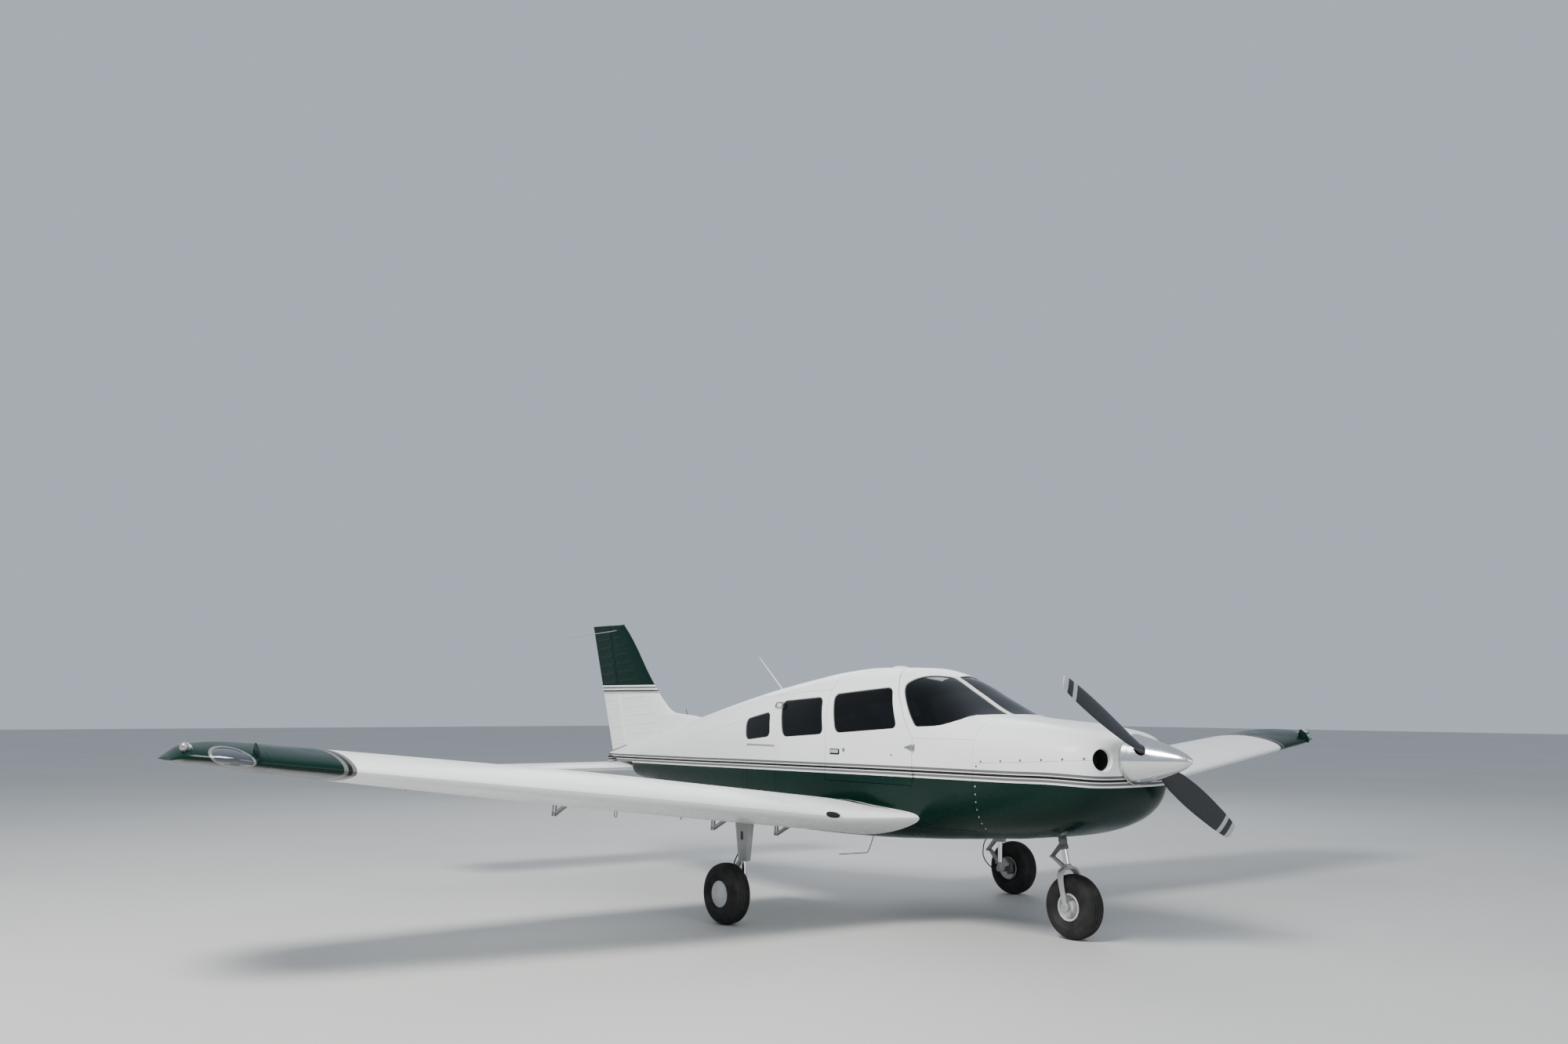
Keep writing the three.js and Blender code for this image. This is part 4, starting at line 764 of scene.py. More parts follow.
PANES = [
    ("windshield_left", shield_runs[1], "airframe"),
    ("windshield_right", shield_runs[-1], "airframe"),
    ("left_front_window", window_run(FRONT_WINDOW, 1), "airframe"),
    ("left_rear_window", window_run(REAR_WINDOW, 1), "airframe"),
    ("left_quarter_window", window_run(QUARTER_WINDOW, 1), "airframe"),
    ("door_window", window_run(FRONT_WINDOW, -1), "front_door"),
    ("right_rear_window", window_run(REAR_WINDOW, -1), "airframe"),
    ("right_quarter_window", window_run(QUARTER_WINDOW, -1), "airframe"),
]
for pane_name, run, body in PANES:
    points, faces, _ = cut_sheet(skin, grown(run, -0.001), (), PANE_OUTER, PANE_INNER, 0.04)
    piece(pane_name + "_pane", points, faces, pane_tint, body, "window_pane", pane_name)
    edge = divided(run * (1, GIRTH_METRES), 0.015) / (1, GIRTH_METRES)
    points, faces = tube_along(skin(edge[:, 0], edge[:, 1], PANE_OUTER - 0.001), 0.0045, 8, closed=True)
    piece(pane_name + "_seal", points, faces, seal_rubber, body, "panel_plastic")

# Tail cone. A tapering tube of lapped sheets that closes behind the cabin, cut open low down at the
# rear, where the all-moving tailplane turns on a pin through a forged tongue.
TAIL_LAP = [(0.472, 1.428), (1.200, 1.301), (2.300, 1.110), (2.750, 1.063), (3.080, 1.041)]
TAIL_CUT = [(3.080, 1.041), (2.930, 1.017), (2.635, 1.017)]
TAIL_WALL = 0.008
TAIL_BULKHEAD = 2.600

lap_left = on_side(smooth_line(TAIL_LAP, 0.03), 1)
cut_left = on_side(divided(TAIL_CUT, 0.03, closed=False), 1)
end_left = on_side([(3.15, 1.053), (TAIL_END, 1.069)], 1)
skin_piece(
    "tail_cone_top_skin", closed_run(
        lap_left, end_left, end_left[::-1] * (1, -1), lap_left[::-1] * (1, -1)
    ),
    (), TAIL_WALL, cowl_inside, "airframe", "white_paint", "tail_cone",
)
cut_front = station_at(TAIL_CUT[-1][0])
lower_rear = np.array([(cut_front, girth) for girth in np.linspace(cut_left[-1, 1] + 0.05, math.pi, 12)])
lower_left = closed_run(lap_left + (0, 0.004), cut_left[1:], lower_rear)
lower_right = through_bottom(lower_left[::-1] * (1, -1))
skin_piece(
    "tail_cone_lower_skin", closed_run(lower_left, lower_right[1:]), (), TAIL_WALL, cowl_inside,
    "airframe", "green_paint",
)


def section_plate(y, thickness, depth):
    """Points and faces of a flat plate that fills the fuselage at one place."""
    turns = round_turns(72)
    ring = skin(np.full(len(turns), float(station_at(y))), turns, depth)
    return shell([ring, ring + (0, thickness, 0)])


def beam(outline, x0, x1, chamfer=0.002):
    """Points and faces of a bar with a y, z outline, from one x to another, its edges broken."""
    outline = np.asarray(outline, float)
    middle = outline.mean(0)
    small = middle + (outline - middle) * (1 - chamfer / np.abs(outline - middle).max(0))
    rings = [(small, x0), (outline, x0 + chamfer), (outline, x1 - chamfer), (small, x1)]
    return shell([np.column_stack([np.full(len(ring), x), ring]) for ring, x in rings])


def lathe(profile, centre, axis=(1, 0, 0), facets=48):
    """Points and faces turned round an axis. profile holds distances along it and radii."""
    along = Vector(axis).normalized()
    side = along.orthogonal().normalized()
    turns = round_turns(facets)
    circle = np.outer(np.cos(turns), side) + np.outer(np.sin(turns), along.cross(side))
    rings = [
        np.array(centre) + np.array(along) * at + circle * max(radius, 1e-4) for at, radius in profile
    ]
    if tuple(profile[0]) == tuple(profile[-1]):
        return np.vstack(rings), quads(len(rings), facets)
    return shell(rings)


primed_metal = coated("primed_metal", (0.20, 0.21, 0.17), 0.6)
tinted(primed_metal, (0.16, 0.17, 0.13), (0.25, 0.26, 0.21), clouds(primed_metal, 9.0, 6.0))
roughen(primed_metal, 60.0, 0.001)
plate = section_plate(TAIL_BULKHEAD, 0.004, 0.010)
tongue_outline = rounded([(2.606, 0.939), (2.930, 0.939), (2.930, 0.971), (2.606, 0.971)], 0.008, 3)
tongue = beam(tongue_outline, -0.024, 0.024)
tongue_eye = lathe([(-0.025, 0.006), (-0.025, 0.016), (0.025, 0.016), (0.025, 0.006)], (0, 2.93, 0.955))
piece(
    "tail_bulkhead_and_tongue", *merged(plate, tongue, tongue_eye), primed_metal, "airframe", "bare_metal"
)
end_points, end_faces = section_plate(TAIL_END - 0.004, 0.004, 0.001)
piece("tail_cone_end_cap", end_points, end_faces, fuselage_paint, "airframe", "white_paint")

# Wings. Riveted aluminium round one main spar, 6.7 degrees up from the root, with a cuff that
# carries the nose forward beside the cabin. Each is a shell per bay, so the skin joints show.
WING_HEIGHT, DIHEDRAL = 0.6545, math.radians(6.7)
# distance out, y of the nose, chord, height of the nose, nose-up degrees, thickness, cuff
WING = np.array(
    [
        (0.440, -1.500, 1.600, 0.0, 2.0, 0.150, 0.265),
        (1.010, -1.500, 1.600, 0.0, 2.0, 0.150, 0.0),
        (2.715, -1.495, 1.600, 0.0, 2.0, 0.150, 0.0),
        (4.985, -1.215, 1.115, -0.020, 0.0, 0.150, 0.0),
    ]
)
WING_TIP = np.array(
    [
        (4.985, -1.215, 1.115, -0.020, 0.0, 0.150, 0.0),
        (5.150, -1.180, 1.010, -0.020, 0.0, 0.150, 0.0),
        (5.290, -1.110, 0.790, -0.024, 0.0, 0.155, 0.0),
        (5.390, -1.040, 0.450, -0.028, 0.0, 0.200, 0.0),
        (5.443, -0.960, 0.270, -0.052, 0.0, 0.060, 0.0),
    ]
)
CUFF_LIFT = 0.062
# share of the chord, half thickness over the full thickness
AEROFOIL = np.array(
    [
        (0, 0),
        (0.0125, 0.1135),
        (0.05, 0.2163),
        (0.1, 0.3037),
        (0.2, 0.4149),
        (0.3, 0.4768),
        (0.4, 0.4999),
        (0.5, 0.4779),
        (0.6, 0.4079),
        (0.7, 0.3067),
        (0.8, 0.1905),
        (0.9, 0.0763),
        (1.0, 0.006),
    ]
)
WING_CAMBER = 0.0318
FLAP = {"ends": (0.600, 2.778), "behind": (0.330, 0.322)}
AILERON = {"ends": (2.790, 4.900), "behind": (0.290, 0.225)}
COVE_GAP = 0.006
SIDES = ((1, "left"), (-1, "right"))
NOSE_SHARES = np.array(
    [0.0, 0.002, 0.006, 0.013, 0.024, 0.04, 0.06, 0.09, 0.13, 0.18, 0.24, 0.31, 0.38, 0.46, 0.54, 0.60]
)

tip_out = np.linspace(WING_TIP[0, 0], WING_TIP[-1, 0], 15)[1:]
WING_ROWS = np.vstack([WING, smooth_through(WING_TIP[:, 0], WING_TIP, tip_out)])


def aerofoil(share, side, thick, camber):
    """Height over the chord line as a share of the chord: side is 1 on top, -1 underneath."""
    inner = np.clip(share, 1e-9, 1 - 1e-9)
    bow = -(1 - inner) * np.log(1 - inner) - inner * np.log(inner)
    half = smooth_through(np.sqrt(AEROFOIL[:, 0]), AEROFOIL[:, 1:], np.sqrt(np.clip(share, 0, 1)))[:, 0]
    return camber * bow + side * half * thick


def wing_flat(out, share, side, lift=0.0):
    """y and height on the wing before it is raised to its dihedral."""
    out, share, side, lift = (
        np.ravel(v).astype(float) for v in np.broadcast_arrays(out, share, side, lift)
    )
    sections = []
    for _, front, chord, rise, nose_up, thick, cuff in WING_ROWS:
        tilt, nose = math.radians(nose_up), np.clip(1 - share / 0.2, 0, 1)
        along, up = share * chord, aerofoil(share, side, thick, WING_CAMBER) * chord + side * lift
        y = front + along * math.cos(tilt) + up * math.sin(tilt) - cuff * nose**1.4
        w = rise + up * math.cos(tilt) - along * math.sin(tilt) + (CUFF_LIFT * nose**2 if cuff else 0)
        sections.append(np.stack([y, w], 1))
    at, sections = WING_ROWS[:, 0], np.array(sections)
    i = np.clip(np.searchsorted(at, out, side="right") - 1, 0, len(at) - 2)
    t = ((out - at[i]) / (at[i + 1] - at[i]))[:, None]
    pick = np.arange(len(out))
    return sections[i, pick] * (1 - t) + sections[i + 1, pick] * t


def raised(out, flat):
    """Points of the left wing from their distance out and their flat y and height."""
    c, s = math.cos(DIHEDRAL), math.sin(DIHEDRAL)
    return np.stack([out * c - flat[:, 1] * s, flat[:, 0], WING_HEIGHT + out * s + flat[:, 1] * c], 1)


def wing_place(out, share, side, lift):
    flat = wing_flat(out, share, side, lift)
    return raised(np.broadcast_to(out, len(flat)), flat)


def hinge_end(out, behind):
    """Flat y and height of a trailing surface's hinge and its nose radius, at one end."""
    share = 1 - behind / np.interp(out, WING[:, 0], WING[:, 2])
    (y1, w1), (y0, w0) = wing_flat(out, [share, share], [1, -1])
    return np.array([(y1 + y0) / 2, (w1 + w0) / 2, (w1 - w0) / 2, share])


def hinge_at(surface, out):
    ends = [hinge_end(*end) for end in zip(surface["ends"], surface["behind"])]
    t = (out - surface["ends"][0]) / (surface["ends"][1] - surface["ends"][0])
    return ends[0] + (ends[1] - ends[0]) * t


def wing_ring(out, surface=None):
    """Flat points round the wing: over the top to the nose, back underneath, and up the cove."""
    if surface is None:
        rear = np.linspace(NOSE_SHARES[-1], 1, 9)[1:]
        y_top = wing_flat(out, np.concatenate([rear[::-1], NOSE_SHARES[::-1]]), 1)
        y_low = wing_flat(out, np.concatenate([NOSE_SHARES[1:], rear]), -1)
        return np.vstack([y_top, y_low])
    y, w, radius, share = hinge_at(surface, out)
    chord = np.interp(out, WING[:, 0], WING[:, 2])
    reach = radius + COVE_GAP
    last = share - math.sqrt(reach**2 - radius**2) / chord
    rear = np.linspace(NOSE_SHARES[-1], last, 5)[1:]
    top = wing_flat(out, np.concatenate([rear[::-1], NOSE_SHARES[::-1]]), 1)
    low = wing_flat(out, np.concatenate([NOSE_SHARES[1:], rear]), -1)
    lift = math.asin(radius / reach)
    turns = np.linspace(math.pi + lift, math.pi - lift, 12)[1:-1]
    cove = np.stack([y + reach * np.cos(turns), w + reach * np.sin(turns)], 1)
    return np.vstack([top, low, cove])


def mirrored(points, side):
    """The left side's points, or the same on the right."""
    return points * (side, 1, 1)


def side_piece(side, name, part, finish, body, slot, stands_for=(), corner=38):
    """A piece drawn for the left, on the left or mirrored on the right."""
    piece(name, mirrored(part[0], side), part[1], finish, body, slot, stands_for, corner)


def root_ring(depth=0.012):
    """The ring where the wing meets the fuselage, a little under its skin."""
    inner, outer = (raised(out, wing_ring(out, FLAP)) for out in (0.38, 0.75))
    near, far = np.zeros((len(inner), 1)), np.ones((len(inner), 1))
    for _ in range(30):
        ring = inner + (outer - inner) * (near + far) / 2
        _, bottom, top, half, middle, upper, lower = smooth_through(
            STATION, FUSELAGE, station_at(ring[:, 1])
        ).T
        down = np.abs(ring[:, 2] - middle) / (middle - bottom - depth)
        inside = ((np.abs(ring[:, 0]) / (half - depth)) ** lower + down**lower < 1)[:, None]
        near, far = np.where(inside, (near + far) / 2, near), np.where(inside, far, (near + far) / 2)
    return ring


WING_STRIPES = [
    (-5.0, WHITE),
    (0.0, GREY),
    (0.015, WHITE),
    (0.025, BLACK),
    (0.049, WHITE),
    (0.057, GREY),
    (0.071, WHITE),
    (0.085, GREEN),
]
WING_STRIPE_START = 4.461
WING_STRIPE_REACH = 6.2


def wing_colour(material):
    """The stripes run across each wing near its tip."""
    across = {0: object_place(material)["X"]}
    out = shader_node(material, "Math", across, operation="ABSOLUTE").outputs["Value"]
    return bands(material, minus(material, out, WING_STRIPE_START), WING_STRIPES, WING_STRIPE_REACH)


wing_paint = aged_gloss("wing_paint", wing_colour)
root = root_ring()
BAY_ENDS = [(0.75, 1.01, 1.50, 2.158), (2.160, 2.45, 2.784), (2.784, 3.4, 4.1, 4.906), (4.906, 4.984)]
for side, side_name in SIDES:
    shells = []
    for bay, surface in zip(BAY_ENDS, (FLAP, FLAP, AILERON, None)):
        rings = [raised(out, wing_ring(out, surface)) for out in bay]
        shells.append(shell(([root] if bay is BAY_ENDS[0] else []) + rings))
    side_piece(
        side, side_name + "_wing_skin", merged(*shells), wing_paint, "airframe", "white_paint",
        side_name + "_wing", corner=30,
    )
    tip_rings = [raised(row[0], wing_ring(row[0])) for row in WING_ROWS[3:]]
    tip_rings[0] = raised(4.9855, wing_ring(4.9855))
    side_piece(
        side, side_name + "_wing_tip_shell", shell(tip_rings), wing_paint, "airframe", "tip_shell",
        side_name + "_wing_tip", corner=30,
    )

# Flaps and ailerons. Sheet stiffened by pressed beads, hinged on the line through its round nose.
BEAD = {"pitch": 0.084, "half": 0.009, "height": 0.0022}
BEAD_STEPS = (-1.0, -0.5, 0.0, 0.5, 1.0)


def bead_lines(start, end):
    """Places on the span, with the share of a bead's height that each one stands up by."""
    count = int((end - start - 0.06) / BEAD["pitch"])
    first = (start + end - (count - 1) * BEAD["pitch"]) / 2
    rows = [(start, 0.0)]
    for k in range(count):
        middle = first + k * BEAD["pitch"]
        rows += [(middle + step * BEAD["half"], math.cos(step * math.pi / 2) ** 2) for step in BEAD_STEPS]
    return rows + [(end, 0.0)]


def trailing_ring(surface, out, stand):
    """A flap's or aileron's ring: top, round nose and underside, with its beads standing up."""
    ends = [hinge_end(*end) for end in zip(surface["ends"], surface["behind"])]
    t = (out - surface["ends"][0]) / (surface["ends"][1] - surface["ends"][0])
    rings = []
    for place, (y, w, radius, share) in zip(surface["ends"], ends):
        shares = share + (1 - share) * np.array([1.0, 0.93, 0.86, 0.72, 0.54, 0.36, 0.2, 0.12, 0.06])
        fade = np.array([0, 0, 1, 1, 1, 1, 1, 0, 0]) * stand * BEAD["height"]
        turns = np.radians(np.linspace(86, 274, 13))
        nose = np.stack([y + radius * np.cos(turns), w + radius * np.sin(turns)], 1)
        top = wing_flat(place, shares, 1, fade)
        low = wing_flat(place, shares[::-1], -1, fade[::-1])
        rings.append(np.vstack([top, nose, low]))
    return raised(out, rings[0] * (1 - t) + rings[1] * t)


for name, surface in (("flap", FLAP), ("aileron", AILERON)):
    rows = bead_lines(*surface["ends"])
    ribbed = shell([trailing_ring(surface, out, stand) for out, stand in rows])
    for side, side_name in SIDES:
        node, body = side_name + "_" + name, name + "_" + side_name
        side_piece(side, node + "_skin", ribbed, wing_paint, body, "white_paint", node, corner=30)

# Tailplane. One all-moving surface with square tips on a pin through the tail cone's tongue, and
# a tab along its trailing edge that is geared to it. Painted sheet with pressed beads on the tab.
TAILPLANE = {"half": 1.960, "front": 2.690, "chord": 0.760, "z": 0.955, "thick": 0.110, "pivot": 2.930}
TAB = {"half": 1.900, "hinge": 3.318, "radius": 0.01328, "behind": 0.132}
TONGUE_SLOT = 0.032
TIP_ROUND = 0.030


def tail_flat(share, side, thin, lift=0.0):
    up = aerofoil(share, side, TAILPLANE["thick"], 0.0) * TAILPLANE["chord"]
    shorter = TAILPLANE["chord"] * (1 - 0.03 * (1 - thin))
    y = TAILPLANE["front"] + 0.5 * (TAILPLANE["chord"] - shorter) + share * shorter
    return np.stack([y, TAILPLANE["z"] + up * thin + side * lift], 1)


def tail_ring(x, cove, from_share=0.0, thin=1.0):
    shares = from_share + (1 - from_share) * NOSE_SHARES
    last = 1.0
    if cove:
        reach = TAB["radius"] + COVE_GAP
        last = 1 - (TAB["behind"] + math.sqrt(reach**2 - TAB["radius"] ** 2)) / TAILPLANE["chord"]
        shares = from_share + (0.6 - from_share) * NOSE_SHARES / 0.6
    rear = np.linspace(shares[-1], last, 9)[1:]
    top = tail_flat(np.concatenate([rear[::-1], shares[::-1]]), 1, thin)
    low = tail_flat(np.concatenate([shares[1:] if from_share == 0 else shares, rear]), -1, thin)
    ring = np.vstack([top, low])
    if cove:
        turn = math.asin(TAB["radius"] / reach)
        turns = np.linspace(math.pi + turn, math.pi - turn, 8)[1:-1]
        arc = np.stack([TAB["hinge"] + reach * np.cos(turns), TAILPLANE["z"] + reach * np.sin(turns)], 1)
        ring = np.vstack([ring, arc])
    return np.column_stack([np.full(len(ring), x), ring])


slot_share = (TAILPLANE["pivot"] + 0.022 - TAILPLANE["front"]) / TAILPLANE["chord"]
tip_start = TAB["half"] + COVE_GAP
parts = [shell([tail_ring(x, True, slot_share) for x in (-TONGUE_SLOT, TONGUE_SLOT)])]
for side in (1, -1):
    parts.append(shell([tail_ring(side * x, True) for x in (TONGUE_SLOT, 0.60, 1.25, tip_start)]))
    tips = [(tip_start, 1.0)]
    for turn in np.linspace(0, math.pi / 2, 7):
        tips.append((TAILPLANE["half"] - TIP_ROUND * (1 - math.sin(turn)), math.cos(turn) * 0.9 + 0.1))
    parts.append(shell([tail_ring(side * x, False, thin=thin) for x, thin in tips]))
pin = lathe([(-0.036, 0.008), (0.036, 0.008)], (0, TAILPLANE["pivot"], TAILPLANE["z"]), facets=20)
piece("tailplane_skin", *merged(*parts), white_paint, "tailplane", "white_paint", "stabilator", corner=30)
pin_metal = coated("zinc_plated_steel", (0.45, 0.44, 0.40), 0.35, 0.9)
roughen(pin_metal, 300.0, 0.0004)
piece("tailplane_pin", *pin, pin_metal, "tailplane", "bare_metal")


def tab_ring(x, stand):
    turns = np.radians(np.linspace(88, 272, 11))
    nose_y = TAB["hinge"] + TAB["radius"] * np.cos(turns)
    nose = np.stack([nose_y, TAILPLANE["z"] + TAB["radius"] * np.sin(turns)], 1)
    start = 1 - TAB["behind"] / TAILPLANE["chord"]
    shares = start + (1 - start) * np.array([1.0, 0.85, 0.7, 0.45, 0.25, 0.1])
    lift = np.array([0, 0, 1, 1, 0, 0]) * stand * 0.0015
    top, low = tail_flat(shares, 1, 1.0, lift), tail_flat(shares[::-1], -1, 1.0, lift[::-1])
    ring = np.vstack([top, nose, low])
    return np.column_stack([np.full(len(ring), x), ring])


tab_rows = bead_lines(-TAB["half"], TAB["half"])
points, faces = shell([tab_ring(x, stand) for x, stand in tab_rows])
piece(
    "tailplane_tab_skin", points, faces, white_paint, "tailplane_tab", "white_paint", "stabilator_tab",
    corner=30,
)

# Fin and rudder. Upright sheet surfaces with level pressed beads, a rounded nose that sweeps down
# into a long fillet on the tail cone, and a dark green top above a band of stripes.
FIN_NOSE = np.array(
    [
        (1.060, 2.150),
        (1.400, 1.640),
        (1.440, 1.790),
        (1.471, 2.149),
        (1.559, 2.317),
        (1.736, 2.518),
        (2.290, 3.040),
        (2.326, 3.090),
    ]
)
FIN_FOOT, FIN_TOP = 1.060, 2.326
# y at a height, that height, slope back
FIN_HINGE = (2.980, 1.148, 0.2992)
RUDDER_REAR = (3.248, 1.102, 0.3366)
FIN_HALF = (0.025, 0.017)
FIN_SHAPE = np.array(
    [(0, 0), (0.012, 0.28), (0.04, 0.52), (0.12, 0.85), (0.3, 1.12), (0.6, 1.14), (1, 1)]
)
RUDDER_FOOT = 1.103
# y, height, slope down of the rudder's lower edge
FOOT_LINE = (2.850, 1.187, 0.212)
RUDDER_GAP = 0.008
FIN_STEP = 0.006
FIN_BEADS = [1.170 + 0.086 * k for k in range(13)]
BEAD_SLOPE = -0.068
BEAD_FRONT = (2.342, 1.307, 0.82)
FIN_BEAD = {"half": 0.011, "height": 0.0050}
FIN_STRIPES = [
    (-1.0, GREEN),
    (0.0, WHITE),
    (0.014, GREY),
    (0.029, WHITE),
    (0.042, BLACK),
    (0.055, WHITE),
    (0.065, GREY),
    (0.077, WHITE),
]
FIN_STRIPE_TOP = 1.731
FIN_STRIPE_REACH = 2.0


def fin_hinge(z):
    return FIN_HINGE[0] + (z - FIN_HINGE[1]) * FIN_HINGE[2]


def fin_rear(z):
    return RUDDER_REAR[0] + (z - RUDDER_REAR[1]) * RUDDER_REAR[2]


def fin_half(z):
    return FIN_HALF[0] + (FIN_HALF[1] - FIN_HALF[0]) * (z - FIN_FOOT) / (FIN_TOP - FIN_FOOT)


def bead_stand(y, z, first):
    """How far a bead lifts the skin at a place on the fin or rudder."""
    rows = np.array(FIN_BEADS[first:])
    away = np.abs(z[:, None] - (rows + BEAD_SLOPE * (y[:, None] - 3.1))).min(1) / FIN_BEAD["half"]
    return np.where(away < 1, np.cos(np.minimum(away, 1) * math.pi / 2) ** 2, 0) * FIN_BEAD["height"]


def ramp(value, start, width):
    return np.clip((value - start) / width, 0, 1)


fin_shares = np.sin(np.linspace(0, math.pi / 2, 40)) ** 2
fin_shares = np.concatenate([fin_shares[:20], np.linspace(fin_shares[20], 1, 22)])
fin_bulge = smooth_through(FIN_SHAPE[:, 0], FIN_SHAPE[:, 1:], fin_shares)[:, 0]


def fin_ring(z):
    front = smooth_through(FIN_NOSE[:, 0], FIN_NOSE[:, 1:], np.array([z]))[0, 0]
    y = front + (fin_hinge(z) - front) * fin_shares
    half = fin_bulge * fin_half(z)
    z_here = np.full(len(y), z)
    band = ramp(y, BEAD_FRONT[0] + (z - BEAD_FRONT[1]) * BEAD_FRONT[2], 0.02)
    band *= ramp(fin_hinge(z) - y, 0.055, 0.02)
    stand = bead_stand(y, z_here, 1) * band
    left = np.stack([half + stand, y, z_here], 1)
    return np.vstack([left[::-1], (left * (-1, 1, 1))[1:]])


def fin_colour(material):
    """The stripes lie level under the green top."""
    down = minus(material, FIN_STRIPE_TOP, object_place(material)["Z"])
    return bands(material, down, FIN_STRIPES, FIN_STRIPE_REACH)


fin_paint = aged_gloss("fin_paint", fin_colour)
rings = []
for z in np.arange(FIN_FOOT, FIN_TOP - 0.012, FIN_STEP):
    reach = fin_half(z) + RUDDER_GAP
    turn = math.asin(fin_half(z) / reach)
    ring = fin_ring(z)
    ring[:, 1] = np.minimum(ring[:, 1], fin_hinge(z) - reach * math.cos(turn))
    turns = np.linspace(math.pi + turn, math.pi - turn, 8)[1:-1]
    cove = np.stack(
        [reach * np.sin(turns), fin_hinge(z) + reach * np.cos(turns), np.full(len(turns), z)], 1
    )
    rings.append(np.vstack([ring, cove]))
last_ring = rings[-1]
for thinner, higher in ((0.12, 0.5), (0.35, 0.8), (0.75, 1.0)):
    rise = (FIN_TOP - last_ring[0, 2]) * higher
    rings.append(last_ring * (1 - thinner, 1, 1) + (0, rise * FIN_HINGE[2], rise))
points, faces = shell(rings)
piece("fin_skin", points, faces, fin_paint, "airframe", "white_paint", "fin", corner=40)


def rudder_ring(z):
    hinge, rear, half = fin_hinge(z), fin_rear(z), fin_half(z)
    turns = np.radians(np.linspace(270, 90, 13))
    nose = np.stack([half * np.sin(turns), hinge + half * np.cos(turns), np.full(len(turns), z)], 1)
    t = np.linspace(0, 1, 15)[1:]
    y = hinge + (rear - hinge) * t
    x = half + (0.0015 - half) * t
    stand = bead_stand(y, np.full(len(y), z), 0)
    stand = stand * ramp(y, hinge + 0.01, 0.02) * ramp(rear - y, 0.055, 0.02)
    side = np.stack([x + stand, y, np.full(len(y), z)], 1)
    return np.vstack([nose, side, (side * (-1, 1, 1))[::-1]])


rudder_rows = np.arange(RUDDER_FOOT, FIN_TOP - 0.008, FIN_STEP)
rings = []
for z in rudder_rows:
    ring = rudder_ring(z)
    foot = FOOT_LINE[1] - (ring[:, 1] - FOOT_LINE[0]) * FOOT_LINE[2]
    ring[:, 2] = np.maximum(ring[:, 2], np.minimum(foot, FOOT_LINE[1]))
    rings.append(ring)
top = rings[-1].copy()
top[:, 0] *= 0.5
top[:, 2] = FIN_TOP - 0.001
rings.append(top)
points, faces = shell(rings)
piece("rudder_skin", points, faces, fin_paint, "rudder_surface", "white_paint", "rudder", corner=40)

# Nose bowl fittings. A rolled white lip round each cooling inlet with its duct behind it, drawn
# near-black as painted shade for the dark inside of the inlet, and a plain plate that closes the
# bowl round the propeller shaft.
DUCT_REAR = -3.080
# Near-black sheet: painted shade for the dark insides of the inlets, the handle's dish and the cuff
# inlet.
opening_shade_black = coated("opening_painted_shade", (0.015, 0.015, 0.015), 0.7, specular=0.2)
roughen(opening_shade_black, 80.0, 0.001)
# size over the hole's, distance ahead of the cowl's skin
LIP = [
    (0.998, -0.004), (0.990, 0.003), (0.965, 0.0055), (0.930, 0.0045), (0.895, 0.0), (0.875, -0.012),
    (0.868, -0.030), (0.90, -0.032),
]
duct_profile = [
    (DUCT_REAR, 0.001),
    (DUCT_REAR, 0.0700),
    (-3.110, 0.0700),
    (-3.110, 0.0706),
    (DUCT_REAR - 0.001, 0.0706),
    (DUCT_REAR - 0.001, 0.001),
]
for side, side_name in SIDES:
    edge = skin(*front_ring(side * INLET["x"], INLET["z"], INLET["radius"], 72).T)
    middle = np.array([side * INLET["x"], 0, INLET["z"]])
    lip_rings = [(edge - middle) * (size, 1, size) + middle - (0, ahead, 0) for size, ahead in LIP]
    points, faces = hoop_shell(lip_rings)
    piece(side_name + "_inlet_lip", points, faces, white_paint, "airframe", "white_paint")
    duct_front = [(edge - middle) * (size, 1, size) + middle + (0, 0.029, 0) for size in (0.872, 0.897)]
    duct_back = [np.where([False, True, False], -3.072, ring) for ring in duct_front[::-1]]
    duct_wall = hoop_shell([*duct_front, *duct_back])
    duct_end = lathe(duct_profile[::-1], (side * INLET["x"], 0, INLET["z"]), (0, 1, 0), 48)
    piece(side_name + "_inlet_duct", *merged(duct_wall, duct_end), opening_shade_black, "airframe", "black_paint")
face_profile = [(-3.203, 0.068), (-3.203, 0.166), (-3.199, 0.170), (-3.197, 0.068), (-3.203, 0.068)]
points, faces = lathe(face_profile, (0, 0, INLET["z"]), (0, 1, 0), 64)
piece("nose_bowl_plate", points, faces, fuselage_paint, "airframe", "white_paint")

# Engine. Four flat finned cylinders on a cast crankcase, its shaft running forward to the hub. It
# hangs from tubes on the steel firewall.
CASE_FRONT, CASE_REAR = -2.980, -2.420
CYLINDER_Z = 1.13
CYLINDERS = [(side, y) for side in (1, -1) for y in (-2.86, -2.60)]
cast_grey = coated("cast_engine_grey", (0.13, 0.135, 0.14), 0.55, 0.4)
tinted(cast_grey, (0.07, 0.07, 0.072), (0.19, 0.19, 0.19), clouds(cast_grey, 14.0, 8.0))
roughen(cast_grey, 180.0, 0.002, 0.6)
COOLING_FIN = [(0.140, 0.060), (0.141, 0.082), (0.145, 0.082), (0.146, 0.060)]
fins = [(0.13, 0.060)]
for k in range(14):
    fins += [(at + k * 0.012, radius) for at, radius in COOLING_FIN]
fins += [(0.312, 0.060), (0.316, 0.070), (0.350, 0.066), (0.362, 0.050), (0.365, 0.020)]
engine_parts = [lathe(fins, (0, y, CYLINDER_Z), (side, 0, 0), 40) for side, y in CYLINDERS]
case_corners = [(CASE_FRONT, 0.98), (CASE_REAR, 0.92), (CASE_REAR, 1.24), (CASE_FRONT, 1.27)]
engine_parts.append(beam(rounded(case_corners, 0.05, 4), -0.135, 0.135, 0.02))
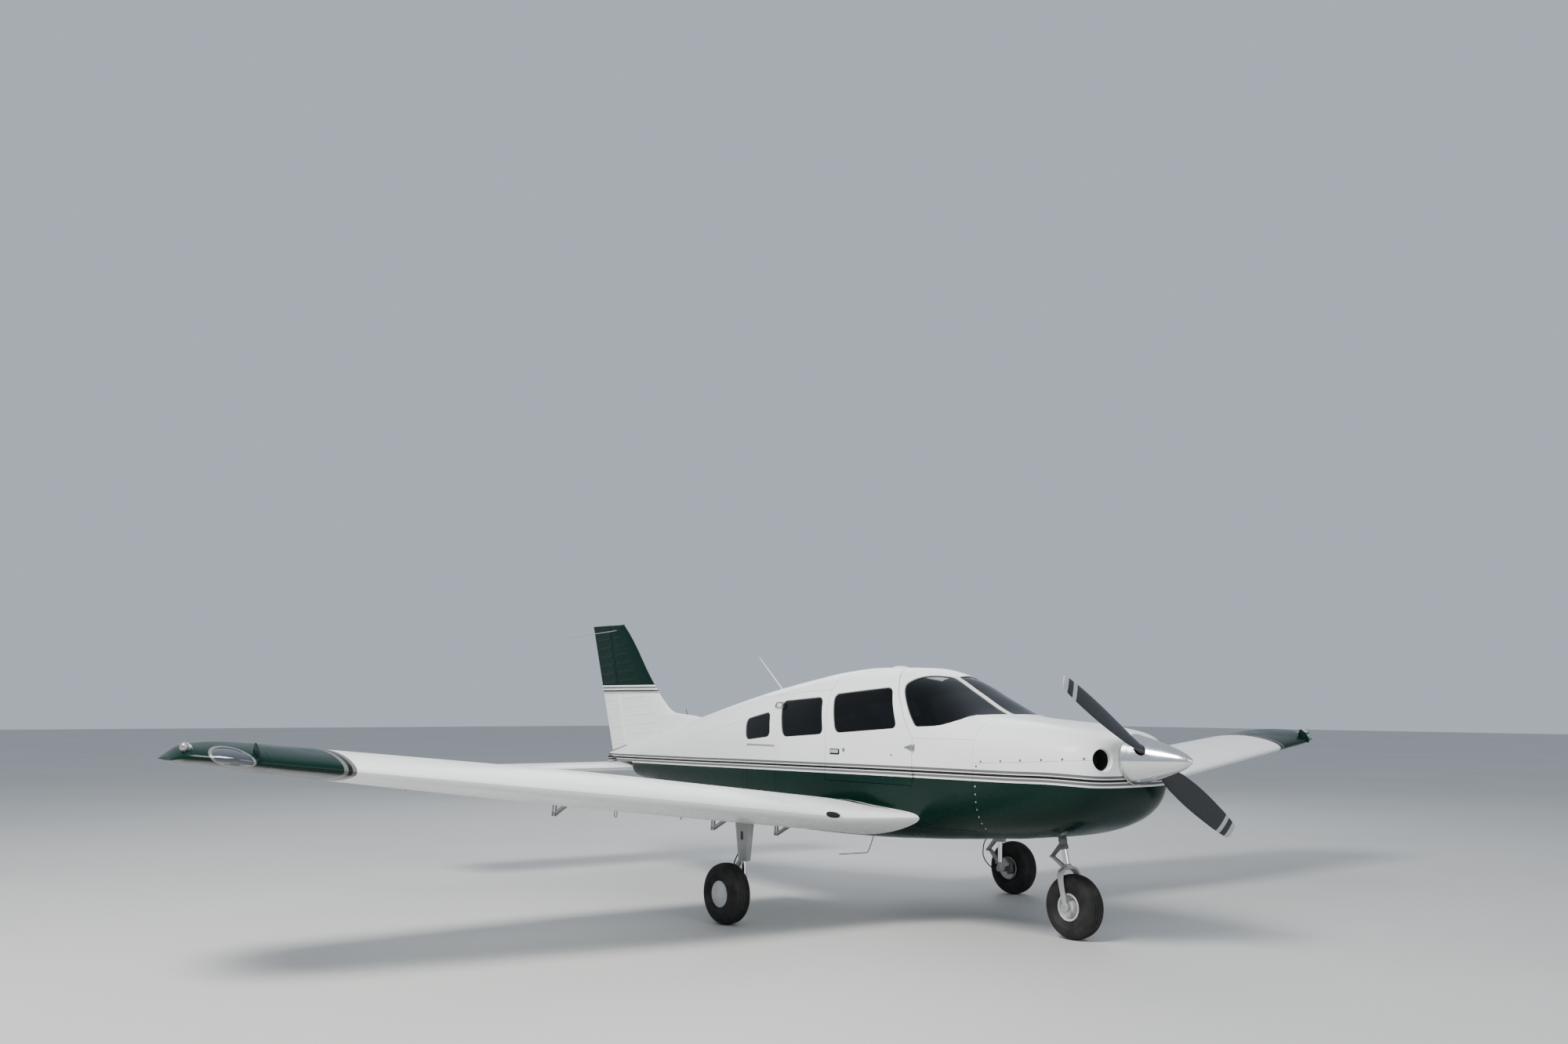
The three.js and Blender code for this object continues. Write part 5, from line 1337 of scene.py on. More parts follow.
sump_outline = rounded([(-2.90, 0.905), (-2.46, 0.905), (-2.44, 0.97), (-2.94, 0.99)], 0.03, 4)
engine_parts.append(beam(sump_outline, -0.20, 0.20, 0.015))
shaft_profile = [(-2.99, 0.052), (-3.05, 0.040), (-3.08, 0.030), (-3.216, 0.030)]
engine_parts.append(lathe(shaft_profile, (0, 0, INLET["z"]), (0, 1, 0), 32))
for side, y in CYLINDERS:
    pipe = [(0.30, y + 0.02, 1.06), (0.30, y + 0.03, 0.98), (0.26, y + 0.08, 0.93), (0.16, -2.47, 0.925)]
    pipe = [(side * out, along, up) for out, along, up in pipe]
    engine_parts.append(tube_along(smooth_line(pipe), 0.019, 12))
piece("flat_four_engine", *merged(*engine_parts), cast_grey, "airframe", "engine_iron", "engine_block")
firewall_steel = coated("firewall_steel", (0.42, 0.42, 0.41), 0.4, 0.8)
tinted(firewall_steel, (0.30, 0.30, 0.29), (0.50, 0.50, 0.49), clouds(firewall_steel, 6.0, 6.0))
roughen(firewall_steel, 90.0, 0.001)


def repaint(node, finish):
    """Gives its finish to a piece that is kept as the CAD has it."""
    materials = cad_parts[node].data.materials
    materials.clear()
    materials.append(finish)


repaint("firewall", firewall_steel)

# Propeller and spinner. Two twisted forged blades, painted dark with pale bands at the tips, in a
# hub that a polished spun-aluminium cone covers down to its back plate.
PROP = {"y": -3.335, "z": 1.208, "turn": math.radians(-59)}
# radius, chord, thickness, angle to the disc in degrees
BLADE = np.array(
    [
        (0.045, 0.062, 0.058, 60),
        (0.140, 0.088, 0.048, 52),
        (0.300, 0.142, 0.030, 38),
        (0.520, 0.158, 0.021, 28),
        (0.760, 0.142, 0.014, 21),
        (0.930, 0.108, 0.009, 18),
        (0.957, 0.092, 0.008, 17.5),
        (0.963, 0.074, 0.006, 17.5),
        (0.965, 0.056, 0.003, 17.5),
    ]
)
SPINNER = {"base": -3.214, "tip": -3.660, "radius": 0.165, "power": 0.62, "hole": 0.125}


def prop_place(points, half_turn):
    """Points given with the blade upright, turned to where the propeller stopped."""
    turn = PROP["turn"] + half_turn * math.pi
    x, y, z = np.asarray(points, float).T
    c, s = math.cos(turn), math.sin(turn)
    return np.stack([x * c + z * s, y, PROP["z"] - x * s + z * c], 1)


blade_rows = smooth_through(
    BLADE[:, 0], BLADE, np.concatenate([np.linspace(0.045, 0.95, 46), BLADE[-3:, 0]])
)
turns = round_turns(28)
blade_rings = []
for radius, chord, thick, angle in blade_rows:
    tilt = math.radians(angle)
    across = np.cos(turns) * chord / 2
    flat = min(1.0, radius / 0.3)
    up = np.sin(turns) * thick / 2 * np.where(np.sin(turns) < 0, 1.0 + 0.4 * flat, 1.0 - 0.4 * flat)
    up *= 1 + 0.35 * flat * np.cos(turns)
    y = PROP["y"] + across * math.sin(tilt) + up * math.cos(tilt)
    blade_rings.append(
        np.stack([across * math.cos(tilt) - up * math.sin(tilt), y, np.full(len(turns), radius)], 1)
    )
blade_points, blade_faces = shell(blade_rings)
blade_paint = coated("blade_paint", (0.03, 0.031, 0.032), 0.42, coat=0.1, specular=0.3)
place = object_place(blade_paint)
height = minus(blade_paint, place["Z"], PROP["z"])
flat_place = shader_node(blade_paint, "CombineXYZ", {"X": place["X"], "Y": height}).outputs["Vector"]
from_hub = shader_node(blade_paint, "VectorMath", {0: flat_place}, operation="LENGTH").outputs["Value"]
BLADE_GREY, TIP_GREY = (0.022, 0.024, 0.028), (0.40, 0.41, 0.41)
BLADE_BANDS = [(0.0, BLADE_GREY), (0.828, TIP_GREY), (0.867, BLADE_GREY), (0.917, TIP_GREY)]
blade_wear = {
    "Fac": spread(blade_paint, clouds(blade_paint, 60.0, 8.0), -0.9, 0.25),
    "Color1": bands(blade_paint, from_hub, BLADE_BANDS, 1.2),
    "Color2": (0.10, 0.10, 0.10, 1),
}
blade_mix = shader_node(blade_paint, "MixRGB", blade_wear)
feed(blade_paint, "Base Color", blade_mix.outputs["Color"])
roughen(blade_paint, 90.0, 0.0008)
hub_profile = [
    (PROP["y"] - 0.050, 0.030), (PROP["y"] - 0.046, 0.056), (PROP["y"] - 0.03, 0.062),
    (PROP["y"] + 0.115, 0.062), (PROP["y"] + 0.118, 0.050),
]
hub = lathe(hub_profile, (0, 0, PROP["z"]), (0, 1, 0), 36)
both_blades = [(prop_place(blade_points, half), blade_faces) for half in (0, 1)]
piece(
    "propeller_blades_and_hub", *merged(*both_blades, hub), blade_paint, "propeller_and_spinner",
    "black_paint", "propeller", corner=50,
)


def spinner_skin(share, girth, depth):
    share = np.clip(share / 0.5, 0, 1)
    radius = np.maximum(SPINNER["radius"] * share ** SPINNER["power"] - depth, 0.0005)
    y = SPINNER["tip"] + (SPINNER["base"] - SPINNER["tip"]) * share + depth * (1 - share)
    return np.stack([radius * np.sin(girth), y, radius * np.cos(girth)], 1)


def spinner_cutout():
    turns = round_turns(40)
    _, chord, thick, angle = smooth_through(BLADE[:, 0], BLADE, np.array([SPINNER["hole"]]))[0]
    across, up = np.cos(turns) * (chord / 2 + 0.006), np.sin(turns) * (thick / 2 + 0.008)
    c, s = math.cos(math.radians(angle)), math.sin(math.radians(angle))
    share = (PROP["y"] + across * s + up * c - SPINNER["tip"]) / (SPINNER["base"] - SPINNER["tip"])
    radius = SPINNER["radius"] * share ** SPINNER["power"]
    return np.stack([share * 0.5, np.arcsin((across * c - up * s) / radius)], 1)


spun_metal = coated("polished_spun_aluminium", (0.80, 0.81, 0.82), 0.17, 1.0)
rings_noise = clouds(spun_metal, 4.0, 8.0, (1, 60, 1))
feed(spun_metal, "Roughness", spread(spun_metal, rings_noise, 0.13, 0.25))
tinted(spun_metal, (0.70, 0.71, 0.72), (0.84, 0.85, 0.86), clouds(spun_metal, 9.0, 8.0))
roughen(spun_metal, 6.0, 0.002, 0.15, 2.0)
spinner_parts = []
spinner_share = np.concatenate([[0.0004], np.linspace(0.09, 1, 26) ** 1.5]) * 0.5
quarter = math.pi / 2
edge = [(share, quarter) for share in spinner_share]
round_base = [(0.5, girth) for girth in np.linspace(quarter, -quarter, 30)[1:-1]]
outline = edge + round_base + [(share, -quarter) for share in spinner_share[::-1]]
points, faces, _ = cut_sheet(spinner_skin, np.array(outline), [spinner_cutout()], 0, 0.003, 0.02, 0.12)
for half in (0, 1):
    spinner_parts.append((prop_place(points, half), faces))
back = lathe(
    [(-3.214, 0.063), (-3.214, 0.1655), (-3.210, 0.1655), (-3.209, 0.063), (-3.214, 0.063)],
    (0, 0, PROP["z"]), (0, 1, 0), 72,
)
piece(
    "spinner_cone", *merged(*spinner_parts, back), spun_metal, "propeller_and_spinner", "polished_metal",
    "spinner", corner=50,
)

# Tyres. Black ribbed rubber with rolled sidewalls, a little brown with dust.
TYRE_AXLES = {
    "left_main": (1.470, -0.715, 0.215),
    "right_main": (-1.470, -0.715, 0.215),
    "nose": (0.0, -2.665, 0.215),
}
tyre_half = [
    (0.000, 0.2150), (0.0085, 0.2148), (0.0095, 0.2105), (0.0140, 0.2105), (0.0150, 0.2143),
    (0.0290, 0.2122), (0.0300, 0.2080),
]
tyre_half += [
    (0.0345, 0.2075), (0.0355, 0.2108), (0.0500, 0.2065), (0.0610, 0.1990), (0.0690, 0.1880),
    (0.0745, 0.1730), (0.0768, 0.1560),
]
tyre_half += [
    (0.0770, 0.1420), (0.0775, 0.1400), (0.0760, 0.1380), (0.0735, 0.1240), (0.0680, 0.1090),
    (0.0630, 0.0990), (0.0605, 0.0930), (0.0600, 0.0800),
]
tyre_profile = [(-at, radius) for at, radius in tyre_half[::-1]] + tyre_half[1:] + [(-0.0600, 0.0800)]
rubber = coated("tyre_rubber", (0.016, 0.016, 0.016), 0.75, specular=0.3)
tinted(
    rubber, (0.011, 0.011, 0.011), (0.040, 0.037, 0.033),
    spread(rubber, clouds(rubber, 11.0, 8.0), -0.2, 0.6),
)
roughen(rubber, 240.0, 0.0012, 0.5)
for name, axle in TYRE_AXLES.items():
    points, faces = lathe(tyre_profile, axle, (1, 0, 0), 112)
    body = name.replace("_main", "") + "_wheel_and_tyre"
    piece(name + "_tyre_ribbed", points, faces, rubber, body, "tyre", name + "_tyre", corner=50)

# Wheels. Cast alloy, painted white. The main ones wear a plain domed cap outside and carry the
# brake disc inside. The nose wheel's dished web shows between the fork's arms.
wheel_white = coated("wheel_paint", (0.55, 0.56, 0.57), 0.4, coat=0.2)
tinted(wheel_white, (0.42, 0.42, 0.42), (0.62, 0.63, 0.64), clouds(wheel_white, 18.0, 8.0))
roughen(wheel_white, 160.0, 0.0006)
brake_steel = coated("brake_steel", (0.36, 0.35, 0.34), 0.33, 1.0)
roughen(brake_steel, 40.0, 0.0008, 0.4)
main_profile = [
    (0.0838, 0.0), (0.0828, 0.030), (0.0790, 0.055), (0.0720, 0.076), (0.0690, 0.0830), (0.0665, 0.0850),
    (0.0672, 0.0900),
]
main_profile += [
    (0.0640, 0.0925), (0.0610, 0.0920), (0.0604, 0.0860), (0.0604, 0.0793), (-0.0604, 0.0793),
    (-0.0604, 0.0860),
]
main_profile += [
    (-0.0640, 0.0920), (-0.0675, 0.0890), (-0.0640, 0.0800), (-0.0400, 0.0740), (-0.0360, 0.0420),
    (-0.0600, 0.0360), (-0.0620, 0.0140), (0.040, 0.0140), (0.040, 0.0),
]
nose_half = [
    (0.0100, 0.0550), (0.0120, 0.0720), (0.0450, 0.0770), (0.0640, 0.0800), (0.0678, 0.0880),
    (0.0640, 0.0925), (0.0606, 0.0915), (0.0604, 0.0793),
]
hub_half = [(0.0560, 0.0140), (0.0570, 0.0300), (0.0540, 0.0360), (0.0180, 0.0440), (0.0100, 0.0550)]
nose_half = hub_half + nose_half[1:]
nose_profile = nose_half + [(-at, r) for at, r in nose_half[::-1]] + [(0.0560, 0.0140)]
disc_profile = [(-0.0715, 0.040), (-0.0715, 0.087), (-0.0780, 0.087), (-0.0780, 0.040), (-0.0715, 0.040)]
bell_profile = [
    (-0.060, 0.040), (-0.072, 0.042), (-0.078, 0.042), (-0.0785, 0.018), (-0.060, 0.018), (-0.060, 0.040)
]
for side, side_name in SIDES:
    axle = TYRE_AXLES[side_name + "_main"]
    points, faces = lathe([(side * at, r) for at, r in main_profile], axle, (1, 0, 0), 64)
    body = side_name + "_wheel_and_tyre"
    piece(
        side_name + "_main_wheel_and_cap", points, faces, wheel_white, body, "wheel_alloy",
        side_name + "_main_wheel", corner=40,
    )
    disc = merged(
        *[
            lathe([(side * at, r) for at, r in profile], axle, (1, 0, 0), 64)
            for profile in (disc_profile, bell_profile)
        ]
    )
    piece(side_name + "_brake_disc", *disc, brake_steel, body, "bare_metal")
points, faces = lathe(nose_profile, TYRE_AXLES["nose"], (1, 0, 0), 64)
piece(
    "nose_wheel_web", points, faces, wheel_white, "nose_wheel_and_tyre", "wheel_alloy", "nose_wheel",
    corner=40,
)

# Main legs. A tapered white sheet fairing over each oleo strut, with its bright piston, the
# scissor links behind it, the axle, the brake's caliper and its black hose. The white fairing and
# links are drawn mid grey, their paint with painted shade in it, and a black plate on each fairing
# is painted shade for its sight hole.
LEG_X = 1.315
_, AXLE_Y, AXLE_Z = TYRE_AXLES["left_main"]
# height, reach ahead of and behind the axle, half thickness
FAIRING = [
    (0.900, 0.104, 0.038),
    (0.705, 0.098, 0.037),
    (0.702, 0.092, 0.034),
    (0.440, 0.054, 0.028),
    (0.434, 0.050, 0.025),
]
# White paint drawn mid grey: painted shade on the legs, links and nose fork.
gear_white_with_shade = coated("gear_white_with_painted_shade", (0.34, 0.345, 0.345), 0.42, coat=0.15)
tinted(gear_white_with_shade, (0.26, 0.26, 0.255), (0.40, 0.405, 0.40), clouds(gear_white_with_shade, 7.0, 8.0))
roughen(gear_white_with_shade, 30.0, 0.0008)
chrome = coated("hard_chrome", (0.78, 0.79, 0.80), 0.10, 1.0)
roughen(chrome, 30.0, 0.0004)
hose_rubber = coated("hose_rubber", (0.012, 0.012, 0.012), 0.5)
roughen(hose_rubber, 600.0, 0.0006)


def fairing_ring(z, reach, half):
    turns = round_turns(40)
    c, s = np.cos(turns), np.sin(turns)
    y = AXLE_Y + np.sign(c) * np.abs(c) ** 0.62 * reach
    return np.stack([LEG_X + np.sign(s) * np.abs(s) ** 0.62 * half, y, np.full(len(turns), z)], 1)


def link_arm(start, end, width0, width1, thick, x=0.0):
    """A flat tapered arm between two points given as y and z, lying in the plane of the wheel."""
    start, end = np.array(start), np.array(end)
    along = (end - start) / np.linalg.norm(end - start)
    out = np.array([-along[1], along[0]])
    shape = [start + out * width0 - along * 0.008, start - out * width0 - along * 0.008]
    shape += [end - out * width1 + along * 0.008, end + out * width1 + along * 0.008]
    return beam(rounded(shape, 0.008, 3), x - thick, x + thick, 0.002)


TORQUE_TOP, TORQUE_APEX, TORQUE_FOOT = (-0.675, 0.448), (-0.585, 0.360), (-0.690, 0.262)
for side, side_name in SIDES:
    side_piece(
        side, side_name + "_leg_fairing", shell([fairing_ring(*row) for row in FAIRING]), gear_white_with_shade,
        "airframe", "gear_steel", side_name + "_main_leg", corner=40,
    )
    piston_profile = [(0.235, 0.0205), (0.480, 0.0205)]
    side_piece(
        side, side_name + "_leg_piston", lathe(piston_profile, (LEG_X, AXLE_Y, 0), (0, 0, 1), 32), chrome,
        "airframe", "polished_metal",
    )
    foot = lathe(
        [(0.192, 0.018), (0.196, 0.027), (0.262, 0.027), (0.268, 0.022)], (LEG_X, AXLE_Y, 0), (0, 0, 1),
        32,
    )
    gland = lathe([(0.440, 0.024), (0.444, 0.0275), (0.470, 0.0275)], (LEG_X, AXLE_Y, 0), (0, 0, 1), 32)
    axle = lathe(
        [(-0.030, 0.020), (-0.026, 0.024), (0.024, 0.024), (0.026, 0.0124), (0.212, 0.0124)],
        (LEG_X, AXLE_Y, AXLE_Z), (1, 0, 0), 28,
    )
    upper_link = link_arm(TORQUE_TOP, TORQUE_APEX, 0.016, 0.010, 0.013, LEG_X - 0.012)
    lower_link = link_arm(TORQUE_APEX, TORQUE_FOOT, 0.010, 0.018, 0.013, LEG_X + 0.014)
    pins = [
        lathe([(-0.032, 0.006), (0.032, 0.006)], (LEG_X, y, z), (1, 0, 0), 16)
        for y, z in (TORQUE_APEX, TORQUE_FOOT)
    ]
    side_piece(
        side, side_name + "_leg_links_and_axle", merged(foot, gland, axle, upper_link, lower_link, *pins),
        gear_white_with_shade, "airframe", "gear_steel",
    )
    caliper_corners = [(-0.800, 0.190), (-0.747, 0.165), (-0.735, 0.225), (-0.790, 0.262)]
    caliper = beam(rounded(caliper_corners, 0.012, 3), 1.3560, 1.3860, 0.003)
    hose_line = [
        (1.297, -0.650, 0.520), (1.289, -0.600, 0.470), (1.287, -0.553, 0.400), (1.291, -0.540, 0.320),
        (1.310, -0.585, 0.235), (1.345, -0.675, 0.190), (1.368, -0.745, 0.200),
    ]
    hose = tube_along(smooth_line(hose_line, 0.012), 0.0048, 10)
    side_piece(side, side_name + "_brake_caliper", caliper, cast_grey, "airframe", "engine_iron")
    side_piece(side, side_name + "_brake_hose", hose, hose_rubber, "airframe", "tyre")
    # A black plate on the fairing stands for its sight hole: painted shade for the dark inside.
    window = beam(
        rounded([(-0.740, 0.585), (-0.712, 0.585), (-0.712, 0.645), (-0.740, 0.645)], 0.003, 2),
        LEG_X + 0.024, LEG_X + 0.0335, 0.0005,
    )
    side_piece(side, side_name + "_leg_hole_painted_shade", window, hose_rubber, "airframe", "panel_plastic")

# Nose leg. A raked oleo strut with clamps and scissor links behind it, and a forged fork that
# turns on it and holds the wheel between two tapering arms. The housing and upper link are
# drawn dark grey, and the white fork mid grey: their paint with painted shade in it.
NOSE_AXLE = np.array(TYRE_AXLES["nose"])
RAKE = math.radians(12.27)


def on_strut(points):
    """Points given as x, distance behind the strut's line, and distance up it from the axle."""
    x, aft, up = np.asarray(points, float).T
    y = NOSE_AXLE[1] + up * math.sin(RAKE) + aft * math.cos(RAKE)
    return np.stack([x, y, NOSE_AXLE[2] + up * math.cos(RAKE) - aft * math.sin(RAKE)], 1)


def strut_lathe(profile):
    points, faces = lathe(profile, (0, 0, 0), (0, 0, 1), 36)
    return on_strut(points), faces


# Dark grey: the strut's paint with painted shade in it.
nose_housing_dark_shade = coated("nose_housing_with_painted_shade", (0.11, 0.11, 0.105), 0.45, coat=0.1)
tinted(nose_housing_dark_shade, (0.07, 0.07, 0.067), (0.16, 0.155, 0.15), clouds(nose_housing_dark_shade, 20.0, 8.0))
roughen(nose_housing_dark_shade, 120.0, 0.001)
housing_profile = [
    (0.380, 0.0250), (0.382, 0.0300), (0.402, 0.0300), (0.405, 0.0275), (0.430, 0.0275), (0.433, 0.0298),
    (0.452, 0.0298), (0.455, 0.0270), (0.690, 0.0270),
]
housing = strut_lathe(housing_profile)
upper_link = link_arm((0.020, 0.415), (0.118, 0.350), 0.014, 0.009, 0.012)
strut_and_link = merged(housing, (on_strut(upper_link[0]), upper_link[1]))
piece("nose_strut_housing", *strut_and_link, nose_housing_dark_shade, "airframe", "gear_steel", "nose_leg")
piece(
    "nose_strut_piston", *strut_lathe([(0.268, 0.0215), (0.379, 0.0215)]), chrome, "steered_fork",
    "polished_metal",
)

ARM_LINE = [
    (-0.0930, 0.000), (-0.0930, 0.090), (-0.0920, 0.165), (-0.0860, 0.205), (-0.0700, 0.236),
    (-0.0400, 0.252), (0.0, 0.256),
]
arm_half = smooth_line(ARM_LINE, 0.012)
arm_full = np.vstack([arm_half, (arm_half * (-1, 1))[-2::-1]])
arm_length = np.concatenate([[0], np.cumsum(np.linalg.norm(np.diff(arm_full, axis=0), axis=1))])
fork_rings = []
for k, (x, up) in enumerate(arm_full):
    ahead = arm_full[min(k + 1, len(arm_full) - 1)] - arm_full[max(k - 1, 0)]
    ahead /= np.linalg.norm(ahead)
    out = np.array([-ahead[1], ahead[0]])
    along = min(arm_length[k], arm_length[-1] - arm_length[k])
    width = np.interp(along, [0, 0.02, 0.16, 0.24, 0.34], [0.019, 0.018, 0.0215, 0.0265, 0.027])
    thick = np.interp(along, [0, 0.16, 0.24, 0.34], [0.0075, 0.0085, 0.0105, 0.0115])
    turns = round_turns(20)
    c, s = np.cos(turns), np.sin(turns)
    aft = np.sign(c) * np.abs(c) ** 0.5 * width
    side = np.sign(s) * np.abs(s) ** 0.5 * thick
    fork_rings.append(on_strut(np.stack([x + out[0] * side, aft, up + out[1] * side], 1)))
fork_parts = [shell(fork_rings)]
for side in (1, -1):
    boss = [
        (0.080, 0.013), (0.080, 0.026), (0.083, 0.029), (0.101, 0.029), (0.1038, 0.026), (0.1038, 0.013),
        (0.080, 0.013),
    ]
    fork_parts.append(lathe([(side * at, r) for at, r in boss], NOSE_AXLE, (1, 0, 0), 32))
fork_parts.append(lathe([(-0.0985, 0.0124), (0.0985, 0.0124)], NOSE_AXLE, (1, 0, 0), 24))
fork_parts.append(
    strut_lathe([(0.244, 0.028), (0.247, 0.031), (0.274, 0.031), (0.280, 0.0225), (0.281, 0.0215)])
)
lower_link = link_arm((0.118, 0.350), (0.026, 0.262), 0.009, 0.014, 0.010)
apex_pin = lathe([(-0.026, 0.007), (0.026, 0.007)], (0, 0, 0), (1, 0, 0), 16)
fork_parts.append((on_strut(lower_link[0]), lower_link[1]))
fork_parts.append((on_strut(apex_pin[0] + (0, 0.118, 0.350)), apex_pin[1]))
piece(
    "nose_fork_forging", *merged(*fork_parts), gear_white_with_shade, "steered_fork", "gear_steel", "nose_fork",
    corner=40,
)

# Cabin floor and bulkhead. Needled grey carpet over the floor pan, and a trimmed board behind the
# rear seat.
carpet = coated("floor_carpet", (0.055, 0.057, 0.062), 0.95, specular=0.1)
tinted(carpet, (0.035, 0.036, 0.040), (0.085, 0.087, 0.092), clouds(carpet, 300.0, 3.0))
roughen(carpet, 500.0, 0.004, 0.8)
floor_side = skin(*on_side([(y, 0.703) for y in np.linspace(-2.250, 0.450, 40)], 1).T, 0.031)
floor_edge = np.vstack([floor_side, (floor_side * (-1, 1, 1))[::-1]])
floor_low = floor_edge * (1, 1, 0) + (0, 0, 0.698)
floor_top = floor_edge * (1, 1, 0) + (0, 0, 0.706)
points, faces = shell([floor_low, floor_top])
piece("cabin_carpet", points, faces, carpet, "airframe", "cabin_trim", corner=40)
bulkhead_trim = coated("bulkhead_trim", (0.20, 0.20, 0.195), 0.9, specular=0.2)
roughen(bulkhead_trim, 350.0, 0.001, 0.6)
repaint("aft_bulkhead", bulkhead_trim)

# Instrument panel. A black plastic board under a padded glareshield, with round dials, a radio
# stack and a centre pedestal below.
PANEL_FACE = -1.772
panel_black = coated("panel_plastic", (0.028, 0.028, 0.030), 0.55)
roughen(panel_black, 500.0, 0.0008, 0.5)
dial_face = coated("dial_face", (0.010, 0.010, 0.011), 0.25, coat=0.8)
roughen(dial_face, 60.0, 0.0003)
dial_mark = coated("dial_marks", (0.75, 0.75, 0.72), 0.5)
roughen(dial_mark, 200.0, 0.0003)
panel_side = on_side([(-1.80, z) for z in np.linspace(1.012, 1.390, 14)], 1)
board_edge = skin(panel_side[:, 0], panel_side[:, 1], 0.033)
board_edge = np.vstack([board_edge, (board_edge * (-1, 1, 1))[::-1]])
board = shell([board_edge * (1, 0, 1) + (0, -1.828, 0), board_edge * (1, 0, 1) + (0, PANEL_FACE, 0)])
shield_y = np.linspace(-2.060, -1.784, 10)
shield_side = skin(*on_side([(y, 1.394) for y in shield_y], 1).T, 0.045)
shield_edge = np.vstack([shield_side, (shield_side * (-1, 1, 1))[::-1]])
glare = shell([shield_edge * (1, 1, 0) + (0, 0, z) for z in (1.385, 1.389, 1.399, 1.403)])
pedestal_outline = rounded([(-1.885, 0.704), (-1.775, 0.704), (-1.775, 1.016), (-1.885, 1.016)], 0.02, 3)
pedestal = beam(pedestal_outline, -0.082, 0.082, 0.012)
piece(
    "instrument_board", *merged(board, glare, pedestal), panel_black, "airframe", "panel_plastic",
    "instrument_panel", corner=40,
)
DIALS = [(x, z, 0.041) for x in (0.155, 0.260, 0.365) for z in (1.315, 1.215)]
DIALS += [(-0.32, 1.31, 0.030), (-0.40, 1.31, 0.030), (0.445, 1.31, 0.028)]
dial_parts, mark_parts = [], []
for x, z, radius in DIALS:
    bezel = [
        (0.0, radius * 0.96), (0.004, radius), (0.007, radius * 0.95), (0.004, radius * 0.88),
        (0.0015, radius * 0.86), (0.0, radius * 0.5),
    ]
    dial_parts.append(lathe(bezel, (x, PANEL_FACE, z), (0, 1, 0), 40))
    for k in range(12):
        turn = k * math.pi / 6
        inner, outer = radius * 0.66, radius * 0.80
        ends = [
            (x + r * math.sin(turn), PANEL_FACE + 0.0022, z + r * math.cos(turn)) for r in (inner, outer)
        ]
        mark_parts.append(tube_along(ends, 0.0008, 4))
    needle = [(x, PANEL_FACE + 0.0026, z), (x + radius * 0.5, PANEL_FACE + 0.0026, z + radius * 0.4)]
    mark_parts.append(tube_along(needle, 0.0011, 4))
for row in range(4):
    z0 = 1.070 + row * 0.072
    back, front = PANEL_FACE - 0.002, PANEL_FACE + 0.006
    radio = rounded([(back, z0), (front, z0), (front, z0 + 0.058), (back, z0 + 0.058)], 0.002, 2)
    dial_parts.append(beam(radio, -0.19, -0.03, 0.002))
    for x in (-0.175, -0.045):
        dial_parts.append(
            lathe(
                [(0.0, 0.011), (0.018, 0.010), (0.019, 0.008)], (x, PANEL_FACE + 0.006, z0 + 0.020),
                (0, 1, 0), 16,
            )
        )
piece("dials_and_radios", *merged(*dial_parts), dial_face, "airframe", "panel_plastic", corner=40)
piece("dial_marks_and_needles", *merged(*mark_parts), dial_mark, "airframe", "panel_plastic")

# Control wheels. Dark moulded grips bent like a ram's horns, each on a straight tube that comes
# out of the panel.
wheel_plastic = coated("control_wheel_plastic", (0.035, 0.035, 0.037), 0.4, coat=0.2)
roughen(wheel_plastic, 350.0, 0.0008, 0.4)
WHEEL_OUT, WHEEL_Z, GRIP_Y = 0.265, 1.180, -1.6125
horn = [
    (-0.120, 1.252), (-0.1205, 1.215), (-0.112, 1.188), (-0.085, 1.176), (-0.040, 1.178), (0.0, 1.180)
]
horn_half = smooth_line(horn, 0.012)
horn_full = np.vstack([horn_half, (horn_half * (-1, 1))[-2::-1]])
for side, side_name in SIDES:
    x = side * WHEEL_OUT
    line = np.column_stack([x + horn_full[:, 0], np.full(len(horn_full), GRIP_Y), horn_full[:, 1]])
    size = np.interp(np.abs(horn_full[:, 0]), [0, 0.05, 0.11, 0.125], [0.0120, 0.0095, 0.0105, 0.0118])
    centre = lathe(
        [(0.0, 0.020), (0.004, 0.032), (0.018, 0.032), (0.023, 0.026)], (x, GRIP_Y - 0.011, WHEEL_Z),
        (0, 1, 0), 32,
    )
    column = lathe([(-1.7717, 0.0115), (-1.620, 0.0115)], (x, 0, WHEEL_Z), (0, 1, 0), 20)
    points, faces = merged(tube_along(line, size, 12), centre, column)
    piece(
        side_name + "_ram_horn_wheel", points, faces, wheel_plastic, "airframe", "panel_plastic",
        side_name + "_control_wheel",
    )

# Seats. Foam pads in grey leather on steel frames: a cushion and a reclined back in each, with a
# sewn channel across, swollen a little by their filling.
SEAT_LEAN = math.radians(14)
VOXEL = 0.008
CAP = 0.016
# name, lowest and highest corner before leaning, leans, node
PADS = [
    ("left_front_cushion", (0.055, -1.325, 0.885), (0.475, -0.915, 0.985), False, "left_front_seat"),
    ("left_front_back", (0.060, -0.935, 0.985), (0.470, -0.850, 1.475), True, None),
    ("right_front_cushion", (-0.475, -1.325, 0.885), (-0.055, -0.915, 0.985), False, "right_front_seat"),
    ("right_front_back", (-0.470, -0.935, 0.985), (-0.060, -0.850, 1.475), True, None),
    ("rear_seat_cushion", (-0.440, -0.425, 0.870), (0.440, -0.030, 0.970), False, "rear_seat"),
    ("rear_seat_back", (-0.440, -0.050, 0.965), (0.440, 0.030, 1.425), True, None),
]
leather = coated("seat_leather", (0.20, 0.195, 0.185), 0.5, specular=0.4)
tinted(leather, (0.15, 0.145, 0.14), (0.25, 0.245, 0.235), clouds(leather, 8.0, 8.0))
feed(leather, "Roughness", spread(leather, clouds(leather, 12.0, 6.0), 0.42, 0.62))
roughen(leather, 420.0, 0.0012, 0.55, 3.0)


